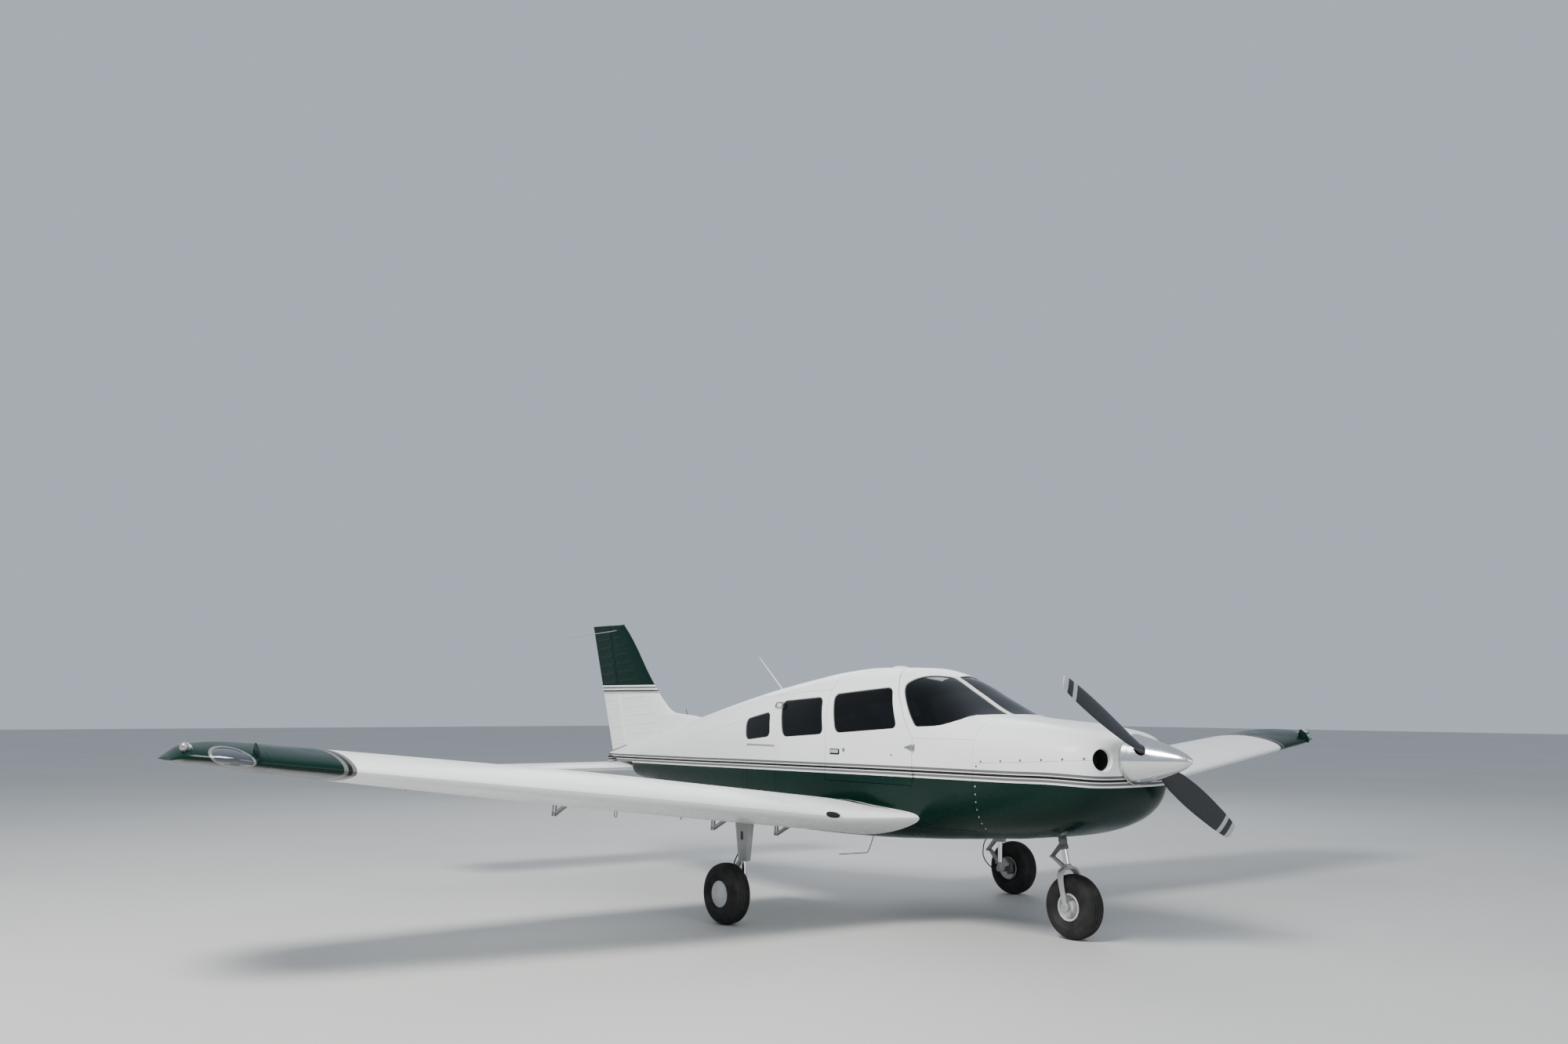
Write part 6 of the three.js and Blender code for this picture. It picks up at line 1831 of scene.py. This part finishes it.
def swollen(name, lo, hi):
    """A box of cloth, remeshed and blown up by its filling, as points and faces."""
    size, middle = np.subtract(hi, lo), np.add(hi, lo) / 2
    box = bmesh.new()
    bmesh.ops.create_cube(box, size=1.0)
    bmesh.ops.scale(box, vec=Vector(size), verts=box.verts)
    bmesh.ops.bevel(
        box, geom=box.edges[:], offset=min(size) * 0.30, segments=4, profile=0.6, affect="EDGES"
    )
    bmesh.ops.translate(box, vec=Vector(middle), verts=box.verts)
    mesh = bpy.data.meshes.new(name + "_cloth")
    box.to_mesh(mesh)
    box.free()
    cloth = bpy.data.objects.new(name + "_cloth", mesh)
    bpy.context.scene.collection.objects.link(cloth)
    remesh = cloth.modifiers.new("even", "REMESH")
    remesh.mode, remesh.voxel_size = "VOXEL", VOXEL
    graph = bpy.context.evaluated_depsgraph_get()
    even = bpy.data.meshes.new_from_object(cloth.evaluated_get(graph))
    cloth.modifiers.clear()
    cloth.data = even
    start = np.array([v.co[:] for v in even.vertices])
    sim = cloth.modifiers.new("cloth", "CLOTH")
    sim.settings.use_pressure = True
    sim.settings.uniform_pressure_force = 4.0
    sim.settings.effector_weights.gravity = 0.0
    for frame_number in range(1, 21):
        bpy.context.scene.frame_set(frame_number)
    graph = bpy.context.evaluated_depsgraph_get()
    after = np.array([v.co[:] for v in cloth.evaluated_get(graph).data.vertices])
    move = after - start
    length = np.maximum(np.linalg.norm(move, axis=1), 1e-9)
    start = start + move * np.minimum(1, CAP / length)[:, None]
    bpy.context.scene.frame_set(1)
    faces = [tuple(face.vertices) for face in even.polygons]
    bpy.data.objects.remove(cloth)
    return start, faces


for name, lo, hi, leans, node in PADS:
    points, faces = swollen(name, lo, hi)
    lo, hi = np.array(lo), np.array(hi)
    middle, size = (lo + hi) / 2, hi - lo
    away = points - middle
    across = away[:, 2] / size[2] if leans else away[:, 1] / size[1]
    outward = np.zeros(len(points))
    for channel in (-0.18, 0.18):
        outward = np.maximum(outward, np.exp(-(((across - channel) / 0.022) ** 2)))
    if size[0] > 0.6:
        outward = np.maximum(outward, np.exp(-((away[:, 0] / 0.008) ** 2)))
    thin = 1 if leans else 2
    points[:, thin] -= np.sign(away[:, thin]) * outward * 0.007
    if leans:
        waist = 1 - 0.10 * np.clip((away[:, 2] / size[2] + 0.5), 0, 1) ** 2
        points[:, 0] = middle[0] + away[:, 0] * waist if size[0] < 0.6 else points[:, 0]
        y, z = points[:, 1] - hi[1], points[:, 2] - lo[2]
        points[:, 1] = hi[1] + y * math.cos(SEAT_LEAN) + z * math.sin(SEAT_LEAN)
        points[:, 2] = lo[2] + z * math.cos(SEAT_LEAN) - y * math.sin(SEAT_LEAN)
    pad = piece(name, points, faces, leather, "airframe", "seat_cloth", node or (), corner=80)
    finer = pad.modifiers.new("finer", "SUBSURF")
    finer.levels = finer.render_levels = 1

# Seat frames. Two bent hoops of painted steel tube under each cushion, joined across at the front
# and rear, that stand on the carpet.
frame_steel = coated("seat_frame_steel", (0.05, 0.05, 0.052), 0.45, coat=0.2)
roughen(frame_steel, 120.0, 0.0006)
frame_parts = []
for x0, x1, y0, y1, top in [
    (0.10, 0.43, -1.27, -0.87, 0.880), (-0.43, -0.10, -1.27, -0.87, 0.880),
    (-0.40, 0.40, -0.36, 0.02, 0.865),
]:
    for x in (x0, x1):
        loop = [(y0, 0.708), (y0, top - 0.012), (y1, top - 0.012), (y1, 0.708)]
        frame_parts.append(
            tube_along([(x, y, z) for y, z in divided(loop, 0.05, closed=False)], 0.012, 10)
        )
    for y in (y0, y1):
        frame_parts.append(tube_along([(x0, y, top - 0.014), (x1, y, top - 0.014)], 0.011, 10))
piece("seat_frames", *merged(*frame_parts), frame_steel, "airframe", "gear_steel", corner=50)

# Aerials. A white raked whip on the roof, a short black one on the tail cone, a bent bare rod
# under the belly, and two thin whiskers behind a block on the fin's top.
aerial_white = coated("aerial_shell", (0.75, 0.76, 0.75), 0.4)
roughen(aerial_white, 90.0, 0.0005)


def middle_height(y, girth=0.0):
    """Height of the skin in the middle, on top unless a girth is given."""
    return float(skin(station_at(np.array([y])), np.array([girth]))[0, 2])


roof_z = middle_height(0.51)
whip = tube_along(
    [(0, 0.512, roof_z + 0.008), (0, 0.60, roof_z + 0.083), (0, 0.861, 1.954)], [0.0065, 0.0055, 0.0028],
    12,
)
whip_foot = lathe(
    [(-0.006, 0.024), (0.002, 0.024), (0.010, 0.016), (0.018, 0.011)], (0, 0.510, roof_z), (0, 0, 1), 32
)
piece(
    "roof_whip_aerial", *merged(whip, whip_foot), aerial_white, "airframe", "aerial_shell", "roof_aerial"
)
short_z = middle_height(1.93)
short_whip = tube_along(
    [(0, 1.930, short_z - 0.002), (0, 1.952, short_z + 0.06), (0, 1.985, 1.510)],
    [0.0055, 0.0045, 0.0022], 10,
)
short_foot = lathe([(-0.006, 0.014), (0.003, 0.014), (0.008, 0.007)], (0, 1.930, short_z), (0, 0, 1), 24)
piece("tail_whip_aerial", *merged(short_whip, short_foot), hose_rubber, "airframe", "aerial_shell")
bare_rod = coated("bare_aerial_rod", (0.22, 0.21, 0.20), 0.4, 0.9)
roughen(bare_rod, 200.0, 0.0004)
belly_z = middle_height(-0.64, math.pi)
rod_line = divided([(-0.640, belly_z + 0.004), (-0.565, 0.406), (-0.213, 0.366)], 0.02, closed=False)
rod_line = smooth_line(np.vstack([rod_line[0], rod_line[3:7], rod_line[10:]]), 0.012)
belly_rod = tube_along([(0, y, z) for y, z in rod_line], 0.0036, 10)
piece("belly_bent_aerial", *belly_rod, bare_rod, "airframe", "bare_metal", "belly_aerial")
fin_block = beam(
    rounded([(3.180, 2.262), (3.240, 2.262), (3.236, 2.276), (3.184, 2.276)], 0.004, 3), -0.034, 0.034,
    0.002,
)
whiskers = [
    tube_along(
        [(side * 0.02, 3.205, 2.269), (side * 0.18, 3.345, 2.236), (side * 0.36, 3.500, 2.200)],
        [0.0038, 0.0032, 0.0024], 10,
    )
    for side in (1, -1)
]
piece(
    "fin_whisker_aerials", *merged(fin_block, *whiskers), bare_rod, "airframe", "bare_metal", "fin_aerial"
)

# Door fittings. A grey pull handle over its dish, which is near-black as painted shade in the
# recess, a key lock, a small stop, and a triangular bracket for each hinge, all screwed through the
# skin.
fitting_metal = coated("satin_fitting_metal", (0.46, 0.46, 0.45), 0.32, 0.9)
roughen(fitting_metal, 300.0, 0.0004)


def on_skin(part, y, z):
    """A part drawn as aft, up and out, set on the right side's skin."""
    around = on_side([(y, z), (y + 0.01, z), (y, z + 0.01)], -1)
    here, aft, above = skin(around[:, 0], around[:, 1])
    aft = (aft - here) / np.linalg.norm(aft - here)
    out = np.cross(above - here, aft)
    out /= np.linalg.norm(out)
    up = np.cross(aft, out)
    points = np.asarray(part[0])
    faces = [face[::-1] for face in part[1]]
    return here + points[:, :1] * aft + points[:, 1:2] * up + points[:, 2:] * out, faces


def button(profile, y, z, facets=24):
    """A turned part set on the skin. profile holds distances out of it and radii."""
    return on_skin(lathe(profile, (0, 0, 0), (0, 0, 1), facets), y, z)


def raised_plate(corners, radius, height, edge=0.0015, base=-0.002):
    """A thin rounded plate drawn flat: its outline in the first two directions, its height last."""
    outline = rounded(corners, radius, 4)
    middle = outline.mean(0)
    rows = [(1.0, base), (1.0, height - edge), (1 - edge * 2 / np.abs(outline - middle).max(), height)]
    rings = [
        np.column_stack([middle + (outline - middle) * size, np.full(len(outline), h)])
        for size, h in rows
    ]
    return shell(rings)


def oblong(length, width):
    return [
        (-length / 2, -width / 2), (length / 2, -width / 2), (length / 2, width / 2),
        (-length / 2, width / 2),
    ]


# The dish is near-black: painted shade in its recess.
handle_dish = on_skin(raised_plate(oblong(0.118, 0.044), 0.012, 0.0015), -0.824, 1.203)
handle_bar = on_skin(raised_plate(oblong(0.090, 0.024), 0.006, 0.0130, 0.004, 0.001), -0.824, 1.205)
handle_grey = coated("cast_handle", (0.50, 0.51, 0.51), 0.38, 0.25)
roughen(handle_grey, 250.0, 0.0004)
lock = button([(-0.002, 0.0150), (0.004, 0.0150), (0.005, 0.0120), (0.003, 0.0050)], -0.933, 1.219)
piece("door_handle_dish", *handle_dish, opening_shade_black, "front_door", "bare_metal", corner=50)
piece("door_handle", *handle_bar, handle_grey, "front_door", "polished_metal", corner=50)
piece("door_key_lock", *lock, fitting_metal, "front_door", "polished_metal")
stop = button([(-0.002, 0.0060), (0.004, 0.0055), (0.005, 0.0030)], -1.465, 1.197, 16)
piece("door_stop", *stop, hose_rubber, "front_door", "panel_plastic")


def hinge_wedge(near, far, tall_near, tall_far, out):
    """Half of a three-cornered hinge cover, drawn as aft, up and out from the hinge line."""
    rings = []
    for aft, tall, height in ((near, tall_near, out), (far, tall_far, 0.004)):
        rings.append(
            [
                (aft, -tall, -0.004), (aft, tall, -0.004), (aft, tall * 0.8, height * 0.8),
                (aft, 0, height), (aft, -tall * 0.8, height * 0.8),
            ]
        )
    return shell(np.array(rings))


for name, height, tall in (("low", 1.060, 0.010), ("high", 1.255, 0.027)):
    lower_knuckle = lathe(
        [(height - 0.022, 0.0068), (height - 0.0004, 0.0068)], (*DOOR_HINGE, 0), (0, 0, 1), 20
    )
    upper_knuckle = lathe(
        [(height + 0.0004, 0.0068), (height + 0.022, 0.0068)], (*DOOR_HINGE, 0), (0, 0, 1), 20
    )
    finish = fuselage_paint if name == "low" else fitting_metal
    cover = on_skin(hinge_wedge(-0.020, -0.008, tall, tall, 0.008), DOOR_HINGE[1], height)
    piece(
        name + "_hinge_on_frame", *merged(lower_knuckle, cover), finish, "airframe", "bare_metal",
        corner=30,
    )
    arm = on_skin(hinge_wedge(0.008, tall * 3.3, tall * 0.9, 0.003, 0.015), DOOR_HINGE[1], height)
    piece(
        name + "_hinge_on_door", *merged(upper_knuckle, arm), finish, "front_door", "bare_metal",
        corner=30,
    )

# Small fittings. A grab loop high on the right side over the wing root, two low domes on the roof,
# the baggage door's round lock, and its hinge of alternate knuckles.
loop_outline = rounded([(-0.052, -0.021), (0.052, -0.021), (0.052, 0.021), (-0.052, 0.021)], 0.014, 4)
loop_flat = np.column_stack([loop_outline, np.full(len(loop_outline), 0.012)])
grab = on_skin(tube_along(loop_flat, 0.0042, 8, closed=True), -0.034, 1.545)
grab_feet = [
    on_skin(lathe([(-0.002, 0.004), (0.012, 0.004)], (at, 0, 0), (0, 0, 1), 10), -0.034, 1.545)
    for at in (-0.050, 0.050)
]
piece("grab_loop", *merged(grab, *grab_feet), cast_grey, "airframe", "polished_metal", corner=50)


def roof_dome(y, radius, height):
    z = middle_height(y)
    profile = [
        (-0.010, radius), (0.002, radius), (height * 0.6, radius * 0.82), (height * 0.92, radius * 0.5),
        (height, 0.002),
    ]
    return lathe(profile, (0, y, z), (0, 0, 1), 40)


piece(
    "roof_domes", *merged(roof_dome(-0.572, 0.022, 0.016), roof_dome(-0.950, 0.062, 0.013)), aerial_white,
    "airframe", "aerial_shell",
)
hold_lock = button([(-0.002, 0.0110), (0.003, 0.0110), (0.004, 0.0085)], 0.165, 0.860)
piece("hold_door_lock", *hold_lock, fitting_metal, "hold_door", "polished_metal")
HOLD_HINGE = np.array([(-0.52851, -0.037, 1.230), (-0.48430, 0.391, 1.230)])
HOLD_KNUCKLES = 17
knuckles = {"airframe": [], "hold_door": []}
for k in range(HOLD_KNUCKLES):
    ends = [
        HOLD_HINGE[0] + (HOLD_HINGE[1] - HOLD_HINGE[0]) * share
        for share in (k / HOLD_KNUCKLES + 0.001, (k + 1) / HOLD_KNUCKLES - 0.001)
    ]
    knuckles[("airframe", "hold_door")[k % 2]].append(tube_along(ends, 0.0034, 10))
for body, parts in knuckles.items():
    piece(body + "_hold_hinge", *merged(*parts), fitting_metal, body, "bare_metal", corner=50)

# Wing fittings. Grit walkway and white root seal, an oval air inlet in the right cuff whose mouth
# is a near-black sheet as painted shade, open triangular flap brackets, tie-down rings and drains
# under the wing, whose white paint is drawn grey with painted shade in it.
walk_grit = coated("walkway_grit", (0.022, 0.023, 0.023), 0.95, specular=0.2)
tinted(walk_grit, (0.014, 0.015, 0.015), (0.045, 0.046, 0.046), clouds(walk_grit, 240.0, 2.0))
roughen(walk_grit, 500.0, 0.003, 0.9, 2.0)
walk_shares = np.linspace(0.085, 0.70, 30)
inner_out = np.interp(walk_shares, [0.085, 0.25, 0.70], [0.592, 0.585, 0.575])
rows = []
for t in (0.0, 0.5, 1.0):
    out = inner_out + (np.interp(walk_shares, [0.085, 0.35, 0.7], [0.61, 0.80, 0.80]) - inner_out) * t
    rows.append((wing_place(out, walk_shares, 1, 0.0012), wing_place(out, walk_shares, 1, -0.001)))
walk_rings = [np.vstack([top, low[::-1]]) for top, low in rows]
points, faces = shell(walk_rings)
piece("right_walkway", mirrored(points, -1), faces, walk_grit, "airframe", "black_paint", corner=50)
for side, side_name in SIDES:
    visible = root_ring(-0.002)[: 2 * (len(NOSE_SHARES) + 4) - 1]
    side_piece(
        side, side_name + "_root_seal", tube_along(visible, 0.0022, 8), white_paint, "airframe",
        "panel_plastic",
    )

inlet_turns = round_turns(32)
NOSE_OUTWARD = np.array((0, -0.97, 0.24))


def inlet_ring(size, lift):
    """A pointed oval round the inlet's middle on the leading edge, off the wing by a distance."""
    around = 0.28 + 0.62 * size * np.sin(inlet_turns)
    pinch = np.abs(np.cos(inlet_turns)) ** 0.8 * np.sign(np.cos(inlet_turns))
    ring = wing_place(1.142 + 0.064 * size * pinch, 0.016 * around**2, np.where(around >= 0, 1, -1), 0.0)
    return mirrored(ring + NOSE_OUTWARD * lift, -1)


inlet_rings = [
    inlet_ring(*row)
    for row in ((1.14, -0.002), (1.12, 0.003), (1.04, 0.004), (1.0, 0.002), (0.98, -0.002))
]
piece("wing_air_inlet_rim", *hoop_shell(inlet_rings), white_paint, "airframe", "white_paint", corner=50)
# A near-black sheet fills the inlet's mouth: painted shade for the dark opening.
inlet_mouth = [
    inlet_ring(*row)
    for row in ((1.01, -0.002), (1.01, 0.001), (0.75, 0.0014), (0.4, 0.0016), (0.02, 0.0016))
]
piece("wing_air_inlet_mouth_shade", *shell(inlet_mouth), opening_shade_black, "airframe", "black_paint", corner=50)


def flap_bracket(out):
    """An open triangle of flat bar under the wing, just ahead of the flap's nose."""
    y, w, radius, _ = hinge_at(FLAP, max(out, FLAP["ends"][0]))
    rear = y - 0.028
    front = rear - 0.190
    corners = [(rear, w - radius * 0.7), (rear - 0.004, w - 0.158), (front, w - 0.066)]
    made = []
    for a, b in ((0, 1), (1, 2)):
        (y0, w0), (y1, w1) = corners[a], corners[b]
        along = np.array([y1 - y0, w1 - w0]) / math.hypot(y1 - y0, w1 - w0)
        across = np.array([-along[1], along[0]]) * 0.010
        ring = [np.array([y0, w0]) - along * 0.006 + across, np.array([y0, w0]) - along * 0.006 - across]
        ring += [np.array([y1, w1]) + along * 0.006 - across, np.array([y1, w1]) + along * 0.006 + across]
        for x0, x1 in ((-0.014, -0.010), (0.010, 0.014)):
            flat = rounded(ring, 0.004, 2)
            made.append(shell([raised(out + x, flat) for x in (x0, x1)]))
    (y, w), turns = corners[1], inlet_turns[::2]
    ring = np.column_stack([y + 0.006 * np.cos(turns), w + 0.006 * np.sin(turns)])
    spacer = shell([raised(out + x, ring) for x in (-0.016, 0.016)])
    return merged(*made, spacer)


# White paint drawn grey: painted shade under the wing.
under_wing_white_with_shade = coated("under_wing_white_painted_shade", (0.42, 0.42, 0.41), 0.5)
tinted(under_wing_white_with_shade, (0.30, 0.30, 0.29), (0.50, 0.50, 0.49), clouds(under_wing_white_with_shade, 25.0, 6.0))
roughen(under_wing_white_with_shade, 120.0, 0.0008)
bracket_parts = [flap_bracket(out) for out in (0.662, 1.262, 2.620)]
ring_centre = raised(2.34, wing_flat(2.34, [0.56], [-1]))[0] + (0, 0, -0.024)
turns = round_turns(24)
tie_loop = np.column_stack([np.zeros(len(turns)), 0.0175 * np.cos(turns), 0.0235 * np.sin(turns)])
tie_ring = tube_along(ring_centre + tie_loop, 0.0040, 10, closed=True)
drains = []
for out, share in ((2.05, 0.62), (1.86, 0.50), (3.9, 0.55)):
    top = raised(out, wing_flat(out, [share], [-1]))[0]
    drains.append(lathe([(-0.018, 0.004), (-0.016, 0.006), (0.004, 0.007)], top, (0, 0, 1), 14))
for side, side_name in SIDES:
    side_piece(
        side, side_name + "_under_wing_fittings", merged(*bracket_parts, tie_ring, *drains),
        under_wing_white_with_shade, "airframe", "bare_metal", corner=40,
    )

# Wing-tip lights. A tinted clear cover over each tip's leading edge in a thin grey frame, a
# glass strobe at its outer end, and a small green upright blade behind the cover.
LENS = {"out": 5.172, "half": 0.117, "share": 0.165, "up": 0.92, "tilt": 0.25, "shift": 0.12}
lens_turns = round_turns(60)


def lens_ring(size, lift):
    """A ring round the cover's middle on the leading edge, and how far it stands off the wing."""
    around = LENS["shift"] + size * (LENS["up"] * np.sin(lens_turns) + LENS["tilt"] * np.cos(lens_turns))
    out = LENS["out"] + LENS["half"] * size * np.cos(lens_turns)
    ring = wing_place(out, LENS["share"] * around**2, np.where(around >= 0, 1.0, -1.0), 0.0)
    return ring + NOSE_OUTWARD * lift


lens_rings = [
    lens_ring(*row)
    for row in ((0.86, -0.002), (0.86, 0.003), (0.7, 0.007), (0.45, 0.010), (0.2, 0.0115), (0.02, 0.012))
]
frame_rings = [
    lens_ring(*row)
    for row in ((1.0, -0.003), (0.99, 0.003), (0.93, 0.0055), (0.865, 0.0045), (0.855, -0.003))
]
lens_body = shell(lens_rings)
lens_frame = hoop_shell(frame_rings)
lens_clear = coated("lens_cover", (0.030, 0.036, 0.046), 0.03, coat=0.8)
feed(lens_clear, "Roughness", spread(lens_clear, clouds(lens_clear, 20.0, 4.0), 0.02, 0.06))
lens_rim = coated("lens_rim", (0.20, 0.21, 0.21), 0.40, 0.5)
roughen(lens_rim, 200.0, 0.0004)
strobe_glass = coated("strobe_glass", (0.34, 0.35, 0.35), 0.14, 0.55, coat=0.8)
roughen(strobe_glass, 40.0, 0.0005)
strobe_base = raised(5.372, wing_flat(5.372, [0.16], [1]))[0]
strobe = merged(
    lathe([(-0.020, 0.022), (-0.002, 0.029), (0.008, 0.029)], strobe_base, (0.75, -0.5, 0.42), 28),
    lathe(
        [(0.008, 0.024), (0.020, 0.028), (0.036, 0.026), (0.048, 0.015), (0.052, 0.002)], strobe_base,
        (0.75, -0.5, 0.42), 28,
    ),
)
# front foot, along the front up to the top, down behind it, inside the wing
TIP_BLADE = [
    (-1.222, 1.205),
    (-1.224, 1.246),
    (-1.196, 1.296),
    (-1.148, 1.331),
    (-1.130, 1.332),
    (-1.110, 1.286),
    (-1.140, 1.245),
    (-1.180, 1.222),
]
tip_blade = beam(rounded(TIP_BLADE, 0.006, 3), 5.010, 5.017, 0.001)
for side, side_name in SIDES:
    side_piece(
        side, side_name + "_lens_cover", lens_body, lens_clear, "airframe", "window_pane", corner=50
    )
    side_piece(side, side_name + "_lens_frame", lens_frame, lens_rim, "airframe", "polished_metal")
    side_piece(side, side_name + "_tip_strobe", strobe, strobe_glass, "airframe", "window_pane")
    side_piece(side, side_name + "_tip_blade", tip_blade, green_paint, "airframe", "tip_shell", corner=50)

# Fixings. Domed rivets along the laps and frames, bright screws down the cowl's rear edge on the
# green, and dark quarter-turn studs along its split line. One tree places every kind of head.
HEADS = {
    "skin_rivets": (0.0028, 0.0005, 8),
    "cowl_screws": (0.0062, 0.0016, 12),
    "cowl_studs": (0.0085, 0.0022, 14),
}


def head_tree(name, radius, height, sides, finish):
    """A node tree that stands one domed head on every point, along its own direction."""
    tree = bpy.data.node_groups.new(name, "GeometryNodeTree")
    tree.interface.new_socket("Geometry", in_out="INPUT", socket_type="NodeSocketGeometry")
    sockets = {}
    for label, value in (("Head radius", radius), ("Head height", height)):
        socket = tree.interface.new_socket(label, in_out="INPUT", socket_type="NodeSocketFloat")
        socket.default_value = value
        sockets[label] = socket.identifier
    tree.interface.new_socket("Geometry", in_out="OUTPUT", socket_type="NodeSocketGeometry")
    source, result = tree.nodes.new("NodeGroupInput"), tree.nodes.new("NodeGroupOutput")
    head = tree.nodes.new("GeometryNodeMeshCone")
    head.inputs["Vertices"].default_value = sides
    crown = tree.nodes.new("ShaderNodeMath")
    crown.operation = "MULTIPLY"
    crown.inputs[1].default_value = 0.6
    facing = tree.nodes.new("GeometryNodeInputNamedAttribute")
    facing.data_type = "FLOAT_VECTOR"
    facing.inputs["Name"].default_value = "facing"
    turn = tree.nodes.new("FunctionNodeAlignRotationToVector")
    place = tree.nodes.new("GeometryNodeInstanceOnPoints")
    real = tree.nodes.new("GeometryNodeRealizeInstances")
    coat = tree.nodes.new("GeometryNodeSetMaterial")
    coat.inputs["Material"].default_value = finish
    for output, socket in [
        (source.outputs["Head radius"], head.inputs["Radius Bottom"]),
        (source.outputs["Head radius"], crown.inputs[0]),
        (crown.outputs[0], head.inputs["Radius Top"]),
        (source.outputs["Head height"], head.inputs["Depth"]),
        (source.outputs["Geometry"], place.inputs["Points"]),
        (head.outputs["Mesh"], place.inputs["Instance"]),
        (facing.outputs["Attribute"], turn.inputs["Vector"]),
        (turn.outputs["Rotation"], place.inputs["Rotation"]),
        (place.outputs["Instances"], real.inputs["Geometry"]),
        (real.outputs["Geometry"], coat.inputs["Geometry"]),
        (coat.outputs["Geometry"], result.inputs["Geometry"]),
    ]:
        tree.links.new(output, socket)
    return tree, sockets


def heads_on(name, kind, places, finish, body):
    """Heads of one kind at places with their outward directions, as one plain mesh."""
    radius, height, sides = HEADS[kind]
    points, outward = (np.vstack(columns) for columns in zip(*places))
    mesh = bpy.data.meshes.new(name + "_places")
    mesh.from_pydata([tuple(point) for point in points], [], [])
    facing = mesh.attributes.new("facing", "FLOAT_VECTOR", "POINT")
    facing.data.foreach_set("vector", outward.astype(np.float32).ravel())
    holder = bpy.data.objects.new(name + "_places", mesh)
    bpy.context.scene.collection.objects.link(holder)
    tree, sockets = head_tree(name + "_tree", radius, height, sides, finish)
    modifier = holder.modifiers.new("heads", "NODES")
    modifier.node_group = tree
    modifier[sockets["Head radius"]] = radius
    modifier[sockets["Head height"]] = height
    graph = bpy.context.evaluated_depsgraph_get()
    made_mesh = bpy.data.meshes.new_from_object(holder.evaluated_get(graph))
    bpy.data.objects.remove(holder)
    made_mesh.materials.clear()
    made_mesh.materials.append(finish)
    made = bpy.data.objects.new(name, made_mesh)
    bpy.context.scene.collection.objects.link(made)
    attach(made, body)


def evenly(run, pitch):
    """Places a pitch apart along a run on the fuselage, with the outward directions there."""
    points = skin(run[:, 0], run[:, 1])
    at = np.concatenate([[0], np.cumsum(np.linalg.norm(np.diff(points, axis=0), axis=1))])
    wanted = np.arange(pitch / 2, at[-1], pitch)
    station, girth = np.interp(wanted, at, run[:, 0]), np.interp(wanted, at, run[:, 1])
    here = skin(station, girth)
    ahead, around = skin(station + 0.002, girth) - here, skin(station, girth + 0.002) - here
    outward = np.cross(around, ahead)
    outward /= np.linalg.norm(outward, axis=1)[:, None]
    away = here * (1, 0, 1) - (0, 0, 1.1)
    return here, outward * np.sign((outward * away).sum(1))[:, None]


def hoop(y, z0, z1, side):
    """A run round the skin at one place, between two heights."""
    return on_side([(y, z) for z in np.linspace(z0, z1, 40)], side)


# y, lowest height, highest height
RIVET_HOOPS = [
    (0.455, 0.62, 1.60),
    (0.487, 0.62, 1.60),
    (1.250, 0.72, 1.50),
    (1.900, 0.80, 1.35),
    (2.560, 0.87, 1.22),
    (-2.255, 0.66, 1.30),
]
STUD_PLACES = (-2.351, -2.528, -2.691, -2.855, -3.005, -3.128)
rivet_places, screw_places, stud_places = [], [], []
for side in (1, -1):
    rivet_runs = [
        *[hoop(*row, side) for row in RIVET_HOOPS],
        on_side(smooth_line(TAIL_LAP, 0.03)[:-8] + (0, 0.014), side),
        on_side(smooth_line(TAIL_LAP, 0.03)[:-8] - (0, 0.014), side),
        level_run(-1.66, -2.25, DECK_LINE - 0.014, side),
        level_run(-1.70, -2.25, DECK_LINE + 0.016, side),
        on_side(seam_below[2:] + (-0.016, 0), side),
        on_side([(y, roof_seam_height(y) - 0.014) for y in np.linspace(-1.30, 0.44, 50)], side),
    ]
    rivet_places += [evenly(run, 0.030) for run in rivet_runs]
    screw_places.append(evenly(hoop(-2.296, 1.035, 0.70, side), 0.052))
    for y in STUD_PLACES:
        stud_places.append(evenly(split_run(y - 0.005, y + 0.005, 0.011, side), 0.010))
    stud_places.append(evenly(split_run(-2.315, -2.305, -0.021, side), 0.010))
heads_on("fuselage_rivets", "skin_rivets", rivet_places, fuselage_paint, "airframe")
heads_on("cowl_rear_screws", "cowl_screws", screw_places, fitting_metal, "airframe")
heads_on("cowl_split_studs", "cowl_studs", stud_places, cast_grey, "airframe")
